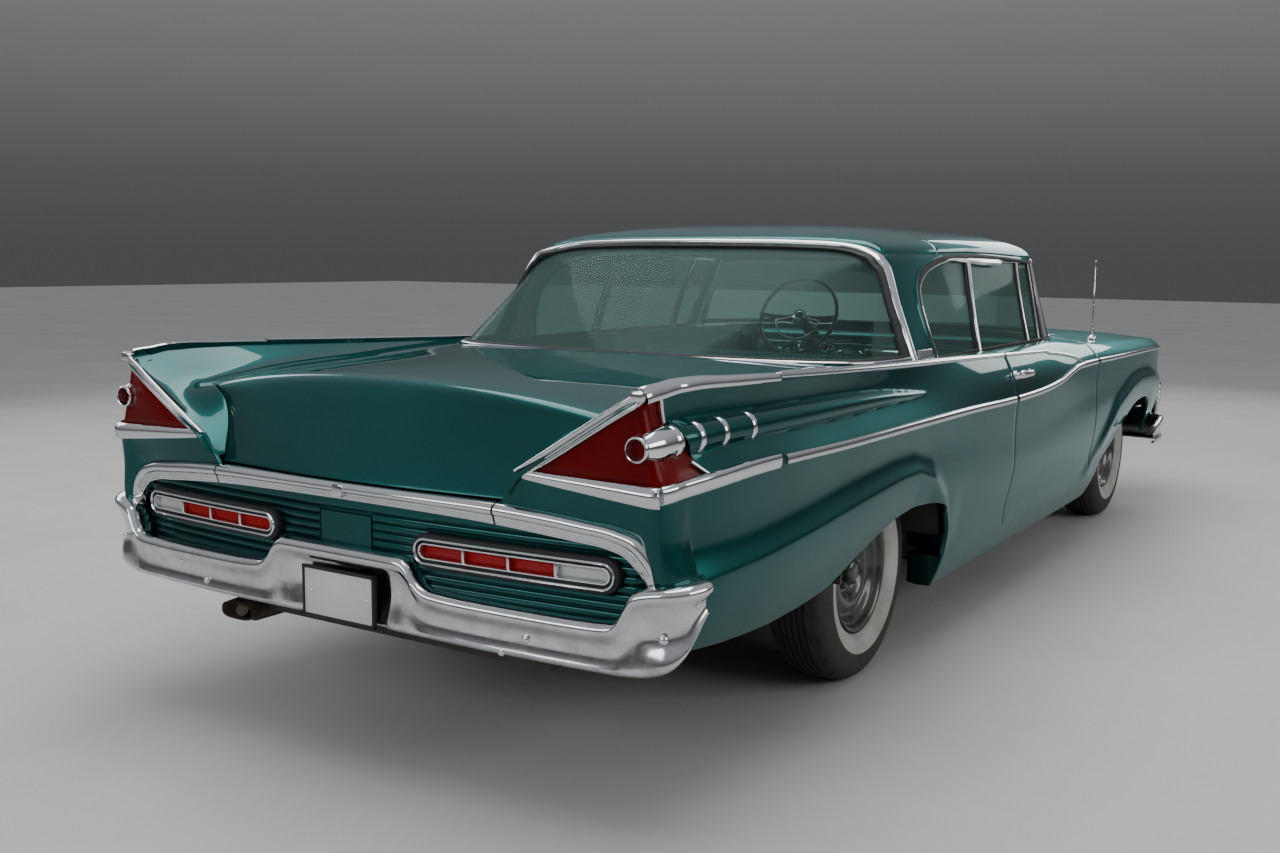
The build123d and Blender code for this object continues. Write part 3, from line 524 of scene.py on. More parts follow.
STEEL = plain_material("weathered_steel", (0.12, 0.10, 0.085), (0.26, 0.235, 0.21), (0.35, 0.7), 12.0, 0.3, 0.0008, metallic=0.85, dirt=0.4)
EXHAUST = plain_material("exhaust_steel", (0.07, 0.05, 0.038), (0.20, 0.165, 0.135), (0.45, 0.85), 10.0, 0.4, 0.001, metallic=0.75, dirt=0.4)


def lens_material(name, dark, light, rough=(0.08, 0.22), see=0.0, gloss=0.5):
    k = Mat(name, IOR=1.45, Specular_IOR_Level=gloss)
    if see:
        k.set("Transmission Weight", see)
    n = k.noise(5.0, 4.0, 0.5)
    c = k.mix(k.ramp(n, (0.3, 0.0), (0.75, 1.0)), dark, light)
    k.color(k.mix(k.ramp(k.cells(900.0), (0.0, 0.0), (0.6, 0.35)), c, tuple(min(1.0, v * 1.35) for v in light)))
    k.rough(k.noise(24.0, 6.0, 0.6), *rough)
    k.bump(k.noise(60.0, 3.0, 0.5), 0.03, 0.0008)
    return k.m


RED = lens_material("lens_red", (0.075, 0.0004, 0.0010), (0.150, 0.0008, 0.0016), (0.16, 0.32), gloss=0.16)
RED_BRIGHT = lens_material("lens_red_small", (0.22, 0.0010, 0.0020), (0.34, 0.0018, 0.0030), (0.18, 0.36), gloss=0.16)
CLEAR_LENS = lens_material("lens_clear", (0.36, 0.37, 0.37), (0.55, 0.56, 0.55), (0.08, 0.25))
AMBER = lens_material("lens_amber", (0.30, 0.10, 0.012), (0.42, 0.16, 0.02), (0.08, 0.22))


def glass_material(name, tint, opacity, rough=0.015):
    """Thin glazing: sight passes straight through, with a gloss that grows at a grazing angle."""
    m = bpy.data.materials.new(name)
    m.use_nodes = True
    t = m.node_tree
    p = t.nodes["Principled BSDF"]
    out = t.nodes["Material Output"]
    p.inputs["Base Color"].default_value = (*tint, 1.0)
    p.inputs["Specular IOR Level"].default_value = 0.08
    co = t.nodes.new("ShaderNodeTexCoord").outputs["Object"]
    smear = t.nodes.new("ShaderNodeTexNoise")
    smear.inputs["Scale"].default_value = 3.5
    smear.inputs["Detail"].default_value = 7.0
    t.links.new(co, smear.inputs["Vector"])
    r = t.nodes.new("ShaderNodeMapRange")
    r.inputs["To Min"].default_value = rough
    r.inputs["To Max"].default_value = rough + 0.06
    t.links.new(smear.outputs["Fac"], r.inputs["Value"])
    t.links.new(r.outputs["Result"], p.inputs["Roughness"])
    clear = t.nodes.new("ShaderNodeBsdfTransparent")
    clear.inputs["Color"].default_value = (0.80, 0.93, 0.90, 1.0)
    lay = t.nodes.new("ShaderNodeLayerWeight")
    lay.inputs["Blend"].default_value = 0.18
    ramp = t.nodes.new("ShaderNodeMapRange")
    ramp.inputs["To Min"].default_value = opacity
    ramp.inputs["To Max"].default_value = min(1.0, opacity + 0.40)
    t.links.new(lay.outputs["Fresnel"], ramp.inputs["Value"])
    add = t.nodes.new("ShaderNodeMath")
    add.operation = "MULTIPLY_ADD"
    t.links.new(smear.outputs["Fac"], add.inputs[0])
    add.inputs[1].default_value = 0.02
    t.links.new(ramp.outputs["Result"], add.inputs[2])
    mix = t.nodes.new("ShaderNodeMixShader")
    t.links.new(add.outputs[0], mix.inputs[0])
    t.links.new(clear.outputs[0], mix.inputs[1])
    t.links.new(p.outputs[0], mix.inputs[2])
    t.links.new(mix.outputs[0], out.inputs["Surface"])
    return m


GLASS = glass_material("glazing", (0.11, 0.15, 0.145), 0.05)
TRIM_TEAL = plain_material("trim_vinyl", (0.012, 0.115, 0.112), (0.02, 0.16, 0.155), (0.4, 0.65), 18.0, 0.3, 0.0006, grain=520.0)


# ---- body surface ---------------------------------------------------------------------------------
# left half. Columns: station, then x, z of sill, bulge, side moulding, belt or fin top, foot of the fin, hood or deck edge,
# and the height on the centre line
SIDE = np.array([
    (-2440, 862, 510, 893, 655, 906, 835, 868, 878, 790, 884, 690, 893, 898),
    (-2300, 905, 440, 938, 672, 940, 843, 890, 890, 815, 897, 698, 908, 917),
    (-2150, 925, 420, 956, 690, 958, 850, 902, 898, 830, 905, 704, 919, 932),
    (-1600, 952, 345, 984, 690, 986, 862, 922, 918, 850, 928, 715, 946, 965),
    (-1000, 962, 335, 994, 640, 995, 868, 936, 934, 880, 946, 731, 967, 982),
    (-670, 967, 332, 1000, 600, 997, 872, 942, 944, 905, 956, 742, 976, 985),
    (-350, 969, 331, 1003, 580, 1001, 872, 948, 950, 925, 966, 862, 984, 985),
    (0, 970, 331, 1006, 570, 1006, 828, 952, 952, 920, 974, 866, 985, 985),
    (294, 970, 331, 1007, 567, 1009, 814, 952, 962, 917, 978, 866, 985, 985),
    (587, 970, 331, 1008, 565, 1010, 812, 952, 972, 915, 981, 866, 985, 985),
    (1100, 972, 340, 1004, 600, 1010, 820, 950, 988, 912, 986, 866, 989, 990),
    (1600, 975, 396, 998, 640, 1010, 823, 948, 1002, 900, 986, 850, 989, 1002),
    (2100, 972, 410, 995, 625, 1008, 824, 946, 1018, 862, 976, 722, 973, 1004),
    (2600, 958, 404, 985, 602, 995, 828, 926, 1036, 817, 956, 720, 953, 1000),
    (2800, 946, 412, 970, 592, 972, 816, 903, 1040, 792, 931, 712, 937, 994),
    (2900, 938, 422, 955, 588, 953, 808, 890, 1032, 775, 915, 700, 925, 985)], float)
# inward depth of the hollow between the side moulding and the belt, negative where it bulges out
HOLLOW = [(-2440, -8), (-1600, -12), (-670, -9), (-300, -5), (300, -9), (800, -6), (1250, 2), (1600, 12), (2000, 22), (2500, 30), (2900, 30)]
# flare lines over the wheels: station, z, height of the ridge, width of its slope above and below
REAR_FLARE = [(1232, 330, 5, 40, 30), (1262, 430, 13, 50, 50), (1341, 551, 20, 62, 70), (1451, 638, 22, 68, 100), (1585, 676, 23, 72, 115),
              (1747, 674, 24, 74, 120), (2005, 654, 23, 75, 140), (2266, 628, 22, 75, 160), (2604, 600, 20, 75, 175), (2900, 588, 18, 72, 165), (3000, 584, 16, 60, 160)]
FRONT_FLARE = [(-540, 332, 3, 40, 40), (-640, 368, 8, 45, 40), (-837, 494, 14, 55, 70), (-1100, 633, 18, 62, 110), (-1401, 706, 19, 66, 130),
               (-1600, 724, 19, 66, 130), (-1869, 716, 19, 66, 130), (-2084, 690, 18, 64, 170), (-2300, 664, 17, 60, 200), (-2480, 645, 15, 60, 200)]
# lower edge of the front fender and of the quarter panel: station, z
FENDER_LOW = [(-668, 337), (-884, 337), (-1000, 398), (-1170, 452), (-1300, 508), (-1400, 560), (-1500, 598), (-1600, 615), (-1750, 619), (-1866, 610),
              (-1930, 586), (-1990, 545), (-2035, 490), (-2062, 430), (-2074, 396), (-2110, 388), (-2200, 410), (-2440, 482)]
QUARTER_LOW = [(585, 337), (1216, 337), (1220, 400), (1240, 452), (1282, 508), (1340, 540), (1420, 558), (1560, 566), (1700, 552), (1830, 515),
               (1961, 471), (2123, 420), (2300, 403), (2456, 400), (2700, 412), (2860, 428)]


def ridge(points, side, s, z):
    """Outward height of a flare at points of the side. side is the sign of its upper side."""
    p = np.asarray(points, float)
    s, z = np.broadcast_arrays(np.asarray(s, float), np.asarray(z, float))
    best = np.full(s.shape, 1e9)
    out = np.zeros(s.shape)
    for a, b in zip(p, p[1:]):
        ds, dz = b[0] - a[0], b[1] - a[1]
        L = math.hypot(ds, dz)
        t = np.clip(((s - a[0]) * ds + (z - a[1]) * dz) / L ** 2, 0, 1)
        ex, ez = s - (a[0] + t * ds), z - (a[1] + t * dz)
        d = np.hypot(ex, ez)
        sign = np.where((ds * ez - dz * ex) * side >= 0, 1.0, -1.0)
        amp, up, down = (a[k] + t * (b[k] - a[k]) for k in (2, 3, 4))
        dd = np.sqrt(d * d + 49.0) - 7.0
        above = amp * np.clip(1 - dd / up, 0, 1) ** 2
        below = amp * (1 - 1.15 * np.clip(dd / down, 0, 1.3) ** 1.5)
        val = np.where(sign > 0, above, below)
        take = d < best
        best = np.where(take, d, best)
        out = np.where(take, val, out)
    return out


def flare(s, z):
    s, z = np.asarray(s, float), np.asarray(z, float)
    rear = ridge(REAR_FLARE, 1, s, z) * smoothstep(1000, 1200, s)
    front = ridge(FRONT_FLARE, -1, s, z) * smoothstep(-380, -620, s)
    return (rear + front) * smoothstep(325, 360, z)


def keys(s):
    """The section's points at a station: rows of x, z."""
    k = spline(SIDE[:, 0], SIDE[:, 1:], [s])[0]
    return dict(sill=k[0:2], bulge=k[2:4], side=k[4:6], belt=k[6:8], foot=k[8:10], edge=k[10:12], crown=k[12])


def low_x(s, z, k=None):
    """x of the outer face below the side moulding."""
    k = k or keys(s)
    z = np.asarray(z, float)
    (xs, zs), (xb, zb), (xm, zm) = k["sill"], k["bulge"], k["side"]
    skirt = smoothstep(-900, -760, s) * (1 - smoothstep(1100, 1230, s))
    zc = zs + 66.0
    xc = xs + 0.42 * (xb - xs) - 8
    xa = xs + 2 * skirt - 2
    mid = 0.5 * (xb + xm) - (3 + 5 * smoothstep(900, 1500, s))
    low = xs + (xc - xs) * (z - zs) / (zc - zs) + 3 * skirt * np.clip((zc - z) / 66.0, 0, 1)
    high = spline([zc, zb, 0.5 * (zb + zm), zm], [xc, xb, mid, xm], z)
    plain = spline([zs, 0.6 * zs + 0.4 * zb, zb, 0.5 * (zb + zm), zm], [xs, xs + 0.62 * (xb - xs), xb, mid, xm], z)
    stepped = np.where(z < zc, low, high)
    return (stepped * skirt + plain * (1 - skirt)) + flare(s, z)


def corner(points, radius, m=4):
    """Polyline in the plane with its inner corners rounded, each by m + 1 points."""
    out = [points[0]]
    for a, k, b, r in zip(points, points[1:], points[2:], radius):
        la, lb = np.linalg.norm(k - a), np.linalg.norm(b - k)
        r = min(r, 0.45 * la, 0.45 * lb)
        pa, pb = k + (a - k) / la * r, k + (b - k) / lb * r
        for t in np.linspace(0, 1, m + 1):
            out.append((1 - t) ** 2 * pa + 2 * t * (1 - t) * k + t * t * pb)
    out.append(points[-1])
    return np.array(out)


def hollow(s):
    h = np.asarray(HOLLOW, float)
    return float(spline(h[:, 0], h[:, 1], [s])[0])


def wall(s, n=16, k=None):
    """Points x, z from the side moulding up to the belt or fin top."""
    k = k or keys(s)
    t = np.linspace(0, 1, n)[:, None]
    d = hollow(s)
    p = k["side"] * (1 - t) + k["belt"] * t
    deep = smoothstep(1100, 1700, s)
    shape = 4 * t[:, 0] * (1 - t[:, 0])
    tilt = shape * (1 - deep) + deep * (0.75 * np.sin(math.pi * t[:, 0] ** 1.15) + 0.35 * np.sin(math.pi * t[:, 0]) ** 2)
    p[:, 0] -= d * tilt
    return p


def shelf(s, x_end, z_end=None, k=None, n=(7, 6), r=(12, 22)):
    """Points x, z from the belt over its foot to the inner edge."""
    k = k or keys(s)
    end = A(x_end, top_z(s, x_end, k) if z_end is None else z_end)
    foot = k["foot"].copy()
    if x_end > foot[0] - 12:
        foot = 0.5 * (k["belt"] + end)
    pts = corner([k["belt"], foot, end], [r[1]], 4)
    a = pts[0] + (pts[1] - pts[0]) * np.linspace(0, 1, n[0])[:-1, None]
    b = pts[-2] + (pts[-1] - pts[-2]) * np.linspace(0, 1, n[1])[1:, None]
    return np.concatenate([a, pts[1:-1], b])


def top_z(s, x, k=None):
    """Height of the upper face: shelf, then a crowned hood or deck."""
    k = k or keys(s)
    x = np.abs(np.asarray(x, float))
    (xb, zb), (xf, zf), (xe, ze), zc = k["belt"], k["foot"], k["edge"], k["crown"]
    inner = zc - (zc - ze) * np.clip(x / xe, 0, 1) ** 2.2
    shelf_z = np.interp(x, [xe, xf, xb], [ze, zf, zb])
    return np.where(x <= xe, inner, shelf_z)


def side_x(s, z):
    """x of the outer face at any height from sill to belt, one point."""
    k = keys(s)
    if z <= k["side"][1]:
        return float(low_x(s, np.array([z]), k)[0])
    w = wall(s, 24, k)
    return float(np.interp(z, w[:, 1], w[:, 0]))


def stations(s0, s1, low=None, step=17.0, rise=11.0):
    """Stations from s0 to s1, closer together where the lower edge is steep."""
    out = [s0]
    d = 1.0 if s1 > s0 else -1.0
    while (s1 - out[-1]) * d > 1e-6:
        h = step
        if low is not None:
            lo = np.asarray(low, float)
            lo = lo[np.argsort(lo[:, 0])]
            for _ in range(7):
                a, b = np.interp([out[-1], out[-1] + d * h], lo[:, 0], lo[:, 1])
                if abs(b - a) <= rise:
                    break
                h *= 0.6
        nxt = out[-1] + d * h
        out.append(s1 if (s1 - nxt) * d < 0.35 * h else nxt)
    return np.array(out)


def edge_z(low, s):
    lo = np.asarray(low, float)
    lo = lo[np.argsort(lo[:, 0])]
    # smoothed corners
    q = s + np.array([-16, -8, 0, 8, 16.0])
    return float(np.mean(np.interp(np.clip(q, lo[0, 0], lo[-1, 0]), lo[:, 0], lo[:, 1]))) if 1235 < s < 2200 or s < -900 else float(np.interp(s, lo[:, 0], lo[:, 1]))


def low_part(s, zb, k, n=44):
    """Points x, z from the lower edge up to the side moulding, with a line kept on the crease over the sill."""
    zm = k["side"][1]
    zc = min(max(zb + 8.0, k["sill"][1] + 66.0), zb + 0.3 * (zm - zb))
    z = np.concatenate([np.linspace(zb, zc, 6)[:-1], np.linspace(zc, zm, n - 5)])
    return np.stack([low_x(s, z, k), z], 1)


def row3(s, pts):
    return np.stack([pts[:, 0], np.full(len(pts), s), pts[:, 1]], 1)


# ---- front fenders -----------------------------------------------------------------------------------
HOOD_EDGE = [(-2440, 690), (-2434, 690), (-2150, 700), (-1600, 712), (-1000, 728), (-905, 730)]


def hood_x(s):
    h = np.asarray(HOOD_EDGE, float)
    return float(np.interp(s, h[:, 0], h[:, 1]))


rows = []
for s in stations(-674, -2440, FENDER_LOW):
    k = keys(s)
    x_in = hood_x(s) + 6 if s < -899 else 744.0
    lower = low_part(s, edge_z(FENDER_LOW, s), k)
    upper = wall(s, 10, k)[1:]
    over = shelf(s, x_in, None, k)[1:]
    line = np.concatenate([lower, upper, over])
    rows.append(row3(s, line))
fender_grid = np.array(rows)
# the nose of the fender turns in over its last 60 mm
turn = smoothstep(-2385, -2440, fender_grid[..., 1])
fender_grid[..., 0] -= turn ** 2 * 16 * smoothstep(600, 760, fender_grid[..., 0])
fender_grid[..., 2] -= turn ** 2 * 12 * smoothstep(840, 880, fender_grid[..., 2])
fender = Shape().shell(fender_grid, 14, 2.4)
# hinge post behind the door's front edge
z_post = np.linspace(338, 938, 34)
post = np.array([[(x, -677.0, z) for x in np.linspace(818, side_x(-677, z) - 14, 8)] for z in z_post])
fender.shell(post, 10, 1.5, ref=(900, -2000, 600))
fender_l = fender.make("front_fender_left", "body", PAINT, "body_paint")
fender_r = fender.flipped().make("front_fender_right", "body", PAINT, "body_paint")
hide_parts("front_fenders")

# ---- rockers ----------------------------------------------------------------------------------------------
rows = []
for s in stations(-888, 1212, None, 22):
    k = keys(s)
    x = k["sill"][0] - 5
    cut = 331 - 98 * smoothstep(-888, -800, s) ** 0.8
    cut = max(cut, 331 - 98 * 1.0)
    zt = np.linspace(331, cut, 9)
    xx = x - 38 * ((331 - zt) / 100.0) ** 1.25
    rows.append(np.stack([xx, np.full(9, s), zt], 1))
rocker_grid = np.array(rows)
rocker = Shape().shell(rocker_grid, 40, 5.0, inner=rocker_grid * A(0, 1, 1) + A(845, 0, 0))
rocker_l = rocker.make("rocker_left", "body", PAINT, "body_paint")
rocker_r = rocker.flipped().make("rocker_right", "body", PAINT, "body_paint")
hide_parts("rocker_panels")

# ---- doors ---------------------------------------------------------------------------------------------------
rows, inner_rows = [], []
for s in stations(-665, 583, None, 18):
    k = keys(s)
    lower = low_part(s, 338.0, k)
    upper = wall(s, 12, k)[1:]
    x_end = 874.0 if s > -240 else 874.0 + 14 * smoothstep(-240, -380, s)
    z_top = min(983.0, top_z(s, x_end, k) - 1)
    over = shelf(s, x_end, z_top, k)[1:]
    if s < -235:
        over[:, 1] = np.minimum(over[:, 1], 977.0)
    line = np.concatenate([lower, upper, over])
    rows.append(row3(s, line))
    si = s if s < 380 else 380 + (s - 380) * (165.0 / 203.0)
    zi = np.clip(line[:, 1], 345, 968)
    zi[len(lower) + len(upper):] = np.linspace(966, 973, len(over))
    xi = np.full(len(line), 818.0)
    inner_rows.append(np.stack([xi, np.full(len(line), si), zi], 1))
door_grid, door_in = np.array(rows), np.array(inner_rows)
door = Shape().shell(door_grid, 14, 2.4, inner=door_in, inner_mat=1)
door_l = door.make("door_left", "left_door", [PAINT, TRIM_TEAL], "body_paint")
door_r = door.flipped().make("door_right", "right_door", [PAINT, TRIM_TEAL], "body_paint")
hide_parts("left_door")
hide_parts("right_door")


# ---- trunk lid ----------------------------------------------------------------------------------------------
# profile on the centre line: station, z, share of the tail's roundness in plan, share of the side's drop, half width
LID = np.array([
    (1776, 1003.0, 0.00, 1.00, 700), (1900, 1004.0, 0.0, 1.0, 709), (2100, 1004.5, 0.0, 1.0, 721), (2350, 1003.5, 0.0, 1.0, 721), (2600, 1001.0, 0.0, 1.0, 719),
    (2720, 998.5, 0.02, 1.02, 716), (2775, 996.0, 0.05, 1.02, 713), (2806, 990.5, 0.12, 0.98, 702), (2828, 978.0, 0.22, 0.92, 676), (2846, 957.0, 0.34, 0.83, 642),
    (2864, 930.0, 0.46, 0.72, 608), (2886, 895.0, 0.58, 0.58, 574), (2910, 858.0, 0.70, 0.44, 546), (2936, 818.0, 0.82, 0.28, 522), (2962, 778.0, 0.93, 0.12, 502),
    (2981, 749.0, 1.00, 0.00, 491)], float)
LID_LEN = np.concatenate([[0], np.cumsum(np.hypot(np.diff(LID[:, 0]), np.diff(LID[:, 1])))])


def lid_at(t, x):
    """Point on the lid's outer face: t is the length along the centre line, x may lie a little past the edge."""
    c = spline(LID_LEN, LID, [t])[0]
    s0, z0, bow, drop, half = c
    k = keys(min(s0, 2790.0))
    xe, ze, zc = k["edge"][0], k["edge"][1], k["crown"]
    x = np.asarray(x, float)
    a = np.abs(x)
    fall = (zc - ze) * np.clip(a / xe, 0, 1.2) ** 2.4
    return np.stack([x, s0 - 29.0 * (a / 487.0) ** 2 * bow, z0 - fall * drop], -1)


def lid_half(t):
    return float(spline(LID_LEN, LID[:, 4], [t])[0])


lid_ts = np.concatenate([np.linspace(0, LID_LEN[5], 34)[:-1], np.linspace(LID_LEN[5], LID_LEN[-1], 42)])
cols = np.sin(np.linspace(-1, 1, 61) * math.pi / 2 * 0.82) / math.sin(math.pi / 2 * 0.82)
lid_grid = np.array([lid_at(t, cols * lid_half(t)) for t in lid_ts])
lid = Shape().shell(lid_grid, 16, 2.6, ref=(0, 2300, 500))
# inner frame of the lid
inner_lid = np.array([lid_at(t, np.linspace(-1, 1, 25) * (lid_half(t) - 46)) for t in np.linspace(60, LID_LEN[-1] - 60, 30)])
inner_lid = inner_lid - grid_normals(inner_lid, (0, 2300, 500)) * 18
lid.shell(inner_lid, 12, 2.0, ref=(0, 2300, 500))
lid_o = lid.make("trunk_lid_panel", "trunk_lid", PAINT, "body_paint")
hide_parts("trunk_lid")

# ---- hood --------------------------------------------------------------------------------------------------------
rows = []
for s in np.concatenate([np.linspace(-907, -2300, 62), np.linspace(-2312, -2433, 14)]):
    k = keys(s)
    xe = hood_x(s)
    x = cols * xe
    z = top_z(s, x, k)
    a = np.abs(x) / xe
    # a raised centre with soft shoulders, and the leading edge rolled down
    z = z + 5.0 * np.exp(-(x / 62.0) ** 2) * smoothstep(-905, -1150, s) + 4.5 * smoothstep(0.62, 0.50, a) * smoothstep(-905, -1300, s)
    z = z - 34.0 * smoothstep(-2352, -2440, s) ** 1.6
    s_row = s + 30.0 * (np.abs(x) / 690.0) ** 2 * smoothstep(-2100, -2433, s)
    rows.append(np.stack([x, s_row, z], -1))
hood_grid = np.array(rows)
hood = Shape().shell(hood_grid, 15, 2.6, ref=(0, -1600, 400))
inner_hood = hood_grid[4:-4, 4:-4] - grid_normals(hood_grid, (0, -1600, 400))[4:-4, 4:-4] * 17
hood.shell(inner_hood[::3, ::3], 10, 2.0, ref=(0, -1600, 400))
hood_o = hood.make("hood_panel", "hood", PAINT, "body_paint")
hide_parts("hood")

# ---- glasshouse surface ----------------------------------------------------------------------------------------------
HOUSE = [
    (985, (0, -850), (480, -800), (740, -610), (842, -400), (864, -245), (868, 600), (866, 1100), (856, 1320), (790, 1600), (480, 1715), (0, 1745)),
    (1325, (0, -545), (420, -520), (640, -455), (735, -370), (768, -300), (778, 380), (770, 900), (722, 1205), (640, 1228), (400, 1242), (0, 1248)),
    (1385, (0, -470), (380, -450), (560, -400), (660, -330), (700, -240), (712, 380), (702, 850), (650, 1070), (560, 1120), (300, 1145), (0, 1155))]
RING = [np.array([p for p in row[1:]], float) for row in HOUSE]
ROOF_TOP = 1446.0
# by position round the house, w from 0 at the windscreen's centre to 10 at the rear window's: where the roof's dome begins,
# the station of its middle, and the roundness of its shoulder
BROW = np.array([(0, 1339), (2, 1337), (3.2, 1330), (3.8, 1324), (4.3, 1328), (4.7, 1338), (5.15, 1343), (5.6, 1340), (6.0, 1335), (6.9, 1335), (7.07, 1337),
                 (7.3, 1346), (7.6, 1357), (8.0, 1369), (8.3, 1377), (8.7, 1382), (9.2, 1385), (10, 1386)], float)
MIDDLE = np.array([(0, 150), (1, 152), (2, 162), (3, 182), (4, 232), (5, 330), (6, 418), (7, 440), (8, 447), (9, 450), (10, 450)], float)
ROUND = np.array([(0, 2.6, 1.75), (3, 2.6, 1.85), (4, 2.5, 2.2), (5, 2.5, 2.3), (6, 2.5, 2.25), (7, 2.4, 1.75), (8, 2.4, 1.6), (10, 2.4, 1.55)], float)


def ring_point(level, w):
    """x, station on one level's outline."""
    w = np.atleast_1d(np.asarray(w, float))
    p = RING[level]
    # mirrored ends keep the outline square to the centre line
    ext = np.concatenate([[p[1] * (-1, 1)], p, [p[-2] * (-1, 1)]])
    return spline(np.arange(-1, 12), ext, w)


def house(w, v):
    """Point on the glasshouse: v 0 at the belt, 1 where the dome begins, 4 on the roof's centre line."""
    w, v = np.broadcast_arrays(np.asarray(w, float), np.asarray(v, float))
    shape = w.shape
    w, v = w.ravel(), v.ravel()
    ws_, back = np.unique(w, return_inverse=True)
    a, b, c = (ring_point(i, ws_)[back] for i in range(3))
    zb = np.interp(w, BROW[:, 0], BROW[:, 1])
    z = 985.0 + (zb - 985.0) * np.minimum(v, 1.0)
    t, u = ((z - 985.0) / 340.0)[:, None], ((z - 1325.0) / 60.0)[:, None]
    p = np.where(t <= 1, a + (b - a) * t, b + (c - b) * u)
    low = np.concatenate([p, z[:, None]], 1)
    tt = np.clip(t, 0, 1)
    low = low + unit(np.stack([a[:, 0], 0.4 * (a[:, 1] - 300), 0 * w], 1)) * (14.0 * tt * (1 - tt)) * (w > 4.4)[:, None]
    mid = spline(MIDDLE[:, 0], MIDDLE[:, 1], w)
    n_ = np.interp(w, ROUND[:, 0], ROUND[:, 1])
    m_ = np.interp(w, ROUND[:, 0], ROUND[:, 2])
    phi = np.clip((v - 1.0) / 3.0, 0, 1) * math.pi / 2
    rho = np.maximum(np.cos(phi), 0) ** (2 / n_)
    zeta = np.maximum(np.sin(phi), 0) ** (2 / m_)
    S = np.stack([0 * w, mid], 1)
    dome = np.concatenate([S + (low[:, :2] - S) * rho[:, None], (zb + (ROOF_TOP - zb) * zeta)[:, None]], 1)
    return np.where((v > 1.0)[:, None], dome, low).reshape(shape + (3,))


def house_normal(w, v):
    e = 1e-3
    w, v = np.broadcast_arrays(np.asarray(w, float), np.asarray(v, float))
    n = unit(np.cross(house(w + e, v) - house(w - e, v), house(w, np.minimum(v + e, 3.999)) - house(w, v - e)))
    c = house(w, v) - A(0, 350, 900)
    return np.where(np.sum(n * c, -1, keepdims=True) < 0, -n, n)


def v_of(w, z):
    """v of a height at a place round the house, below the dome."""
    return (np.asarray(z, float) - 985.0) / (np.interp(w, BROW[:, 0], BROW[:, 1]) - 985.0)


# the roof's lower edge: over the windscreen and the side windows to the widest place of the quarter window,
TOP_EDGE = np.array([(0, 1334), (1.0, 1333), (2.2, 1330), (3.2, 1322), (3.8, 1315), (4.09, 1314), (4.347, 1321), (4.708, 1331), (5.144, 1336), (5.555, 1332),
                     (5.75, 1325), (5.869, 1317), (6.0, 1304), (6.109, 1290), (6.19, 1273), (6.26, 1252), (6.30, 1234), (6.318, 1216)], float)
# down the pillar's front edge and its rear edge (z, w), and up over the rear window
PILLAR_F = np.array([(988, 5.925), (1001, 5.945), (1045, 6.062), (1109, 6.202), (1163, 6.291), (1195, 6.313), (1216, 6.318)], float)
PILLAR_R = np.array([(988, 6.60), (1032, 6.70), (1083, 6.775), (1135, 6.837), (1187, 6.88), (1216, 6.885)], float)
REAR_EDGE = np.array([(6.885, 1216), (6.887, 1245), (6.895, 1272), (6.925, 1296), (6.99, 1313), (7.08, 1325), (7.3, 1338), (7.572, 1349), (7.99, 1362), (8.3, 1370), (8.72, 1375),
                      (9.13, 1378), (10, 1379)], float)
EDGE = np.concatenate([TOP_EDGE, REAR_EDGE])


def along(table, n):
    """n rows of a two-column table, evenly by length on the car."""
    t = np.asarray(table, float)
    P3 = house(t[:, 0], v_of(t[:, 0], t[:, 1]))
    L0 = np.concatenate([[0], np.cumsum(np.linalg.norm(np.diff(P3, axis=0), axis=1))])
    q = np.linspace(0, L0[-1], n)
    return spline(L0, t, q, tight=True)


NR = 46
NECK = 1216.0
v_neck = lambda w: float(v_of(w, NECK))


def rising(w, v0):
    """Heights v of one row from its start over the roof."""
    stops = np.concatenate([np.linspace(v0, 1.0, 18)[:-1], np.linspace(1.0, 2.5, 20)[:-1], np.linspace(2.5, 4.0, 9)]) if v0 < 0.955 else np.concatenate(
        [[v0], np.linspace(1.0, 2.5, 33)[:-1], np.linspace(2.5, 4.0, 13)])
    return np.interp(np.linspace(0, 1, NR), np.linspace(0, 1, len(stops)), stops)


rows_wv = []
for w, z in np.concatenate([along(TOP_EDGE[:10], 70)[:-1], along(TOP_EDGE[9:], 26)]):
    rows_wv.append((np.full(NR, w), rising(w, float(v_of(w, z)))))
wl, wr = 6.318, 6.885
pl = along(PILLAR_F[::-1, ::-1], 22)[1:]
pr_ = along(PILLAR_R[:, ::-1], 24)[:-1]
bottom = [(w, 988.0) for w in np.linspace(5.925, 6.60, 16)[1:-1]]
starts = [(w, z, "front") for w, z in pl] + [(w, z, "foot") for w, z in bottom] + [(w, z, "rear") for w, z in pr_]
for i, (w0, z0, where) in enumerate(starts):
    share_n = (i + 1) / (len(starts) + 1)
    v0 = float(v_of(w0, z0))
    vv = rising(w0, v0)
    vn = v_neck(6.5)
    zz = 985.0 + vv * (1335.0 - 985.0)
    front_w = np.interp(zz, PILLAR_F[:, 0], PILLAR_F[:, 1])
    rear_w = np.interp(zz, PILLAR_R[:, 0], PILLAR_R[:, 1])
    h_ = np.clip((vv - v0) / (vn - v0), 0, 1)
    h_ = 1 - (1 - h_) ** 1.6
    if where == "front":
        frac = share_n * h_
    elif where == "rear":
        frac = 1 - (1 - share_n) * h_
    else:
        b0 = (w0 - 5.925) / (6.60 - 5.925)
        frac = b0 + (share_n - b0) * h_
    rows_wv.append((front_w + (rear_w - front_w) * frac, vv))
for w, z in np.concatenate([along(REAR_EDGE[:7], 26), along(REAR_EDGE[6:], 40)[1:]]):
    rows_wv.append((np.full(NR, w), rising(w, float(v_of(w, z)))))
half_roof = np.array([house(w, v) for w, v in rows_wv])
half_n = np.array([house_normal(np.clip(w, 0.004, 9.996), np.minimum(v, 3.95)) for w, v in rows_wv])
half_roof[0, :, 0] = half_roof[-1, :, 0] = half_roof[:, -1, 0] = 0.0
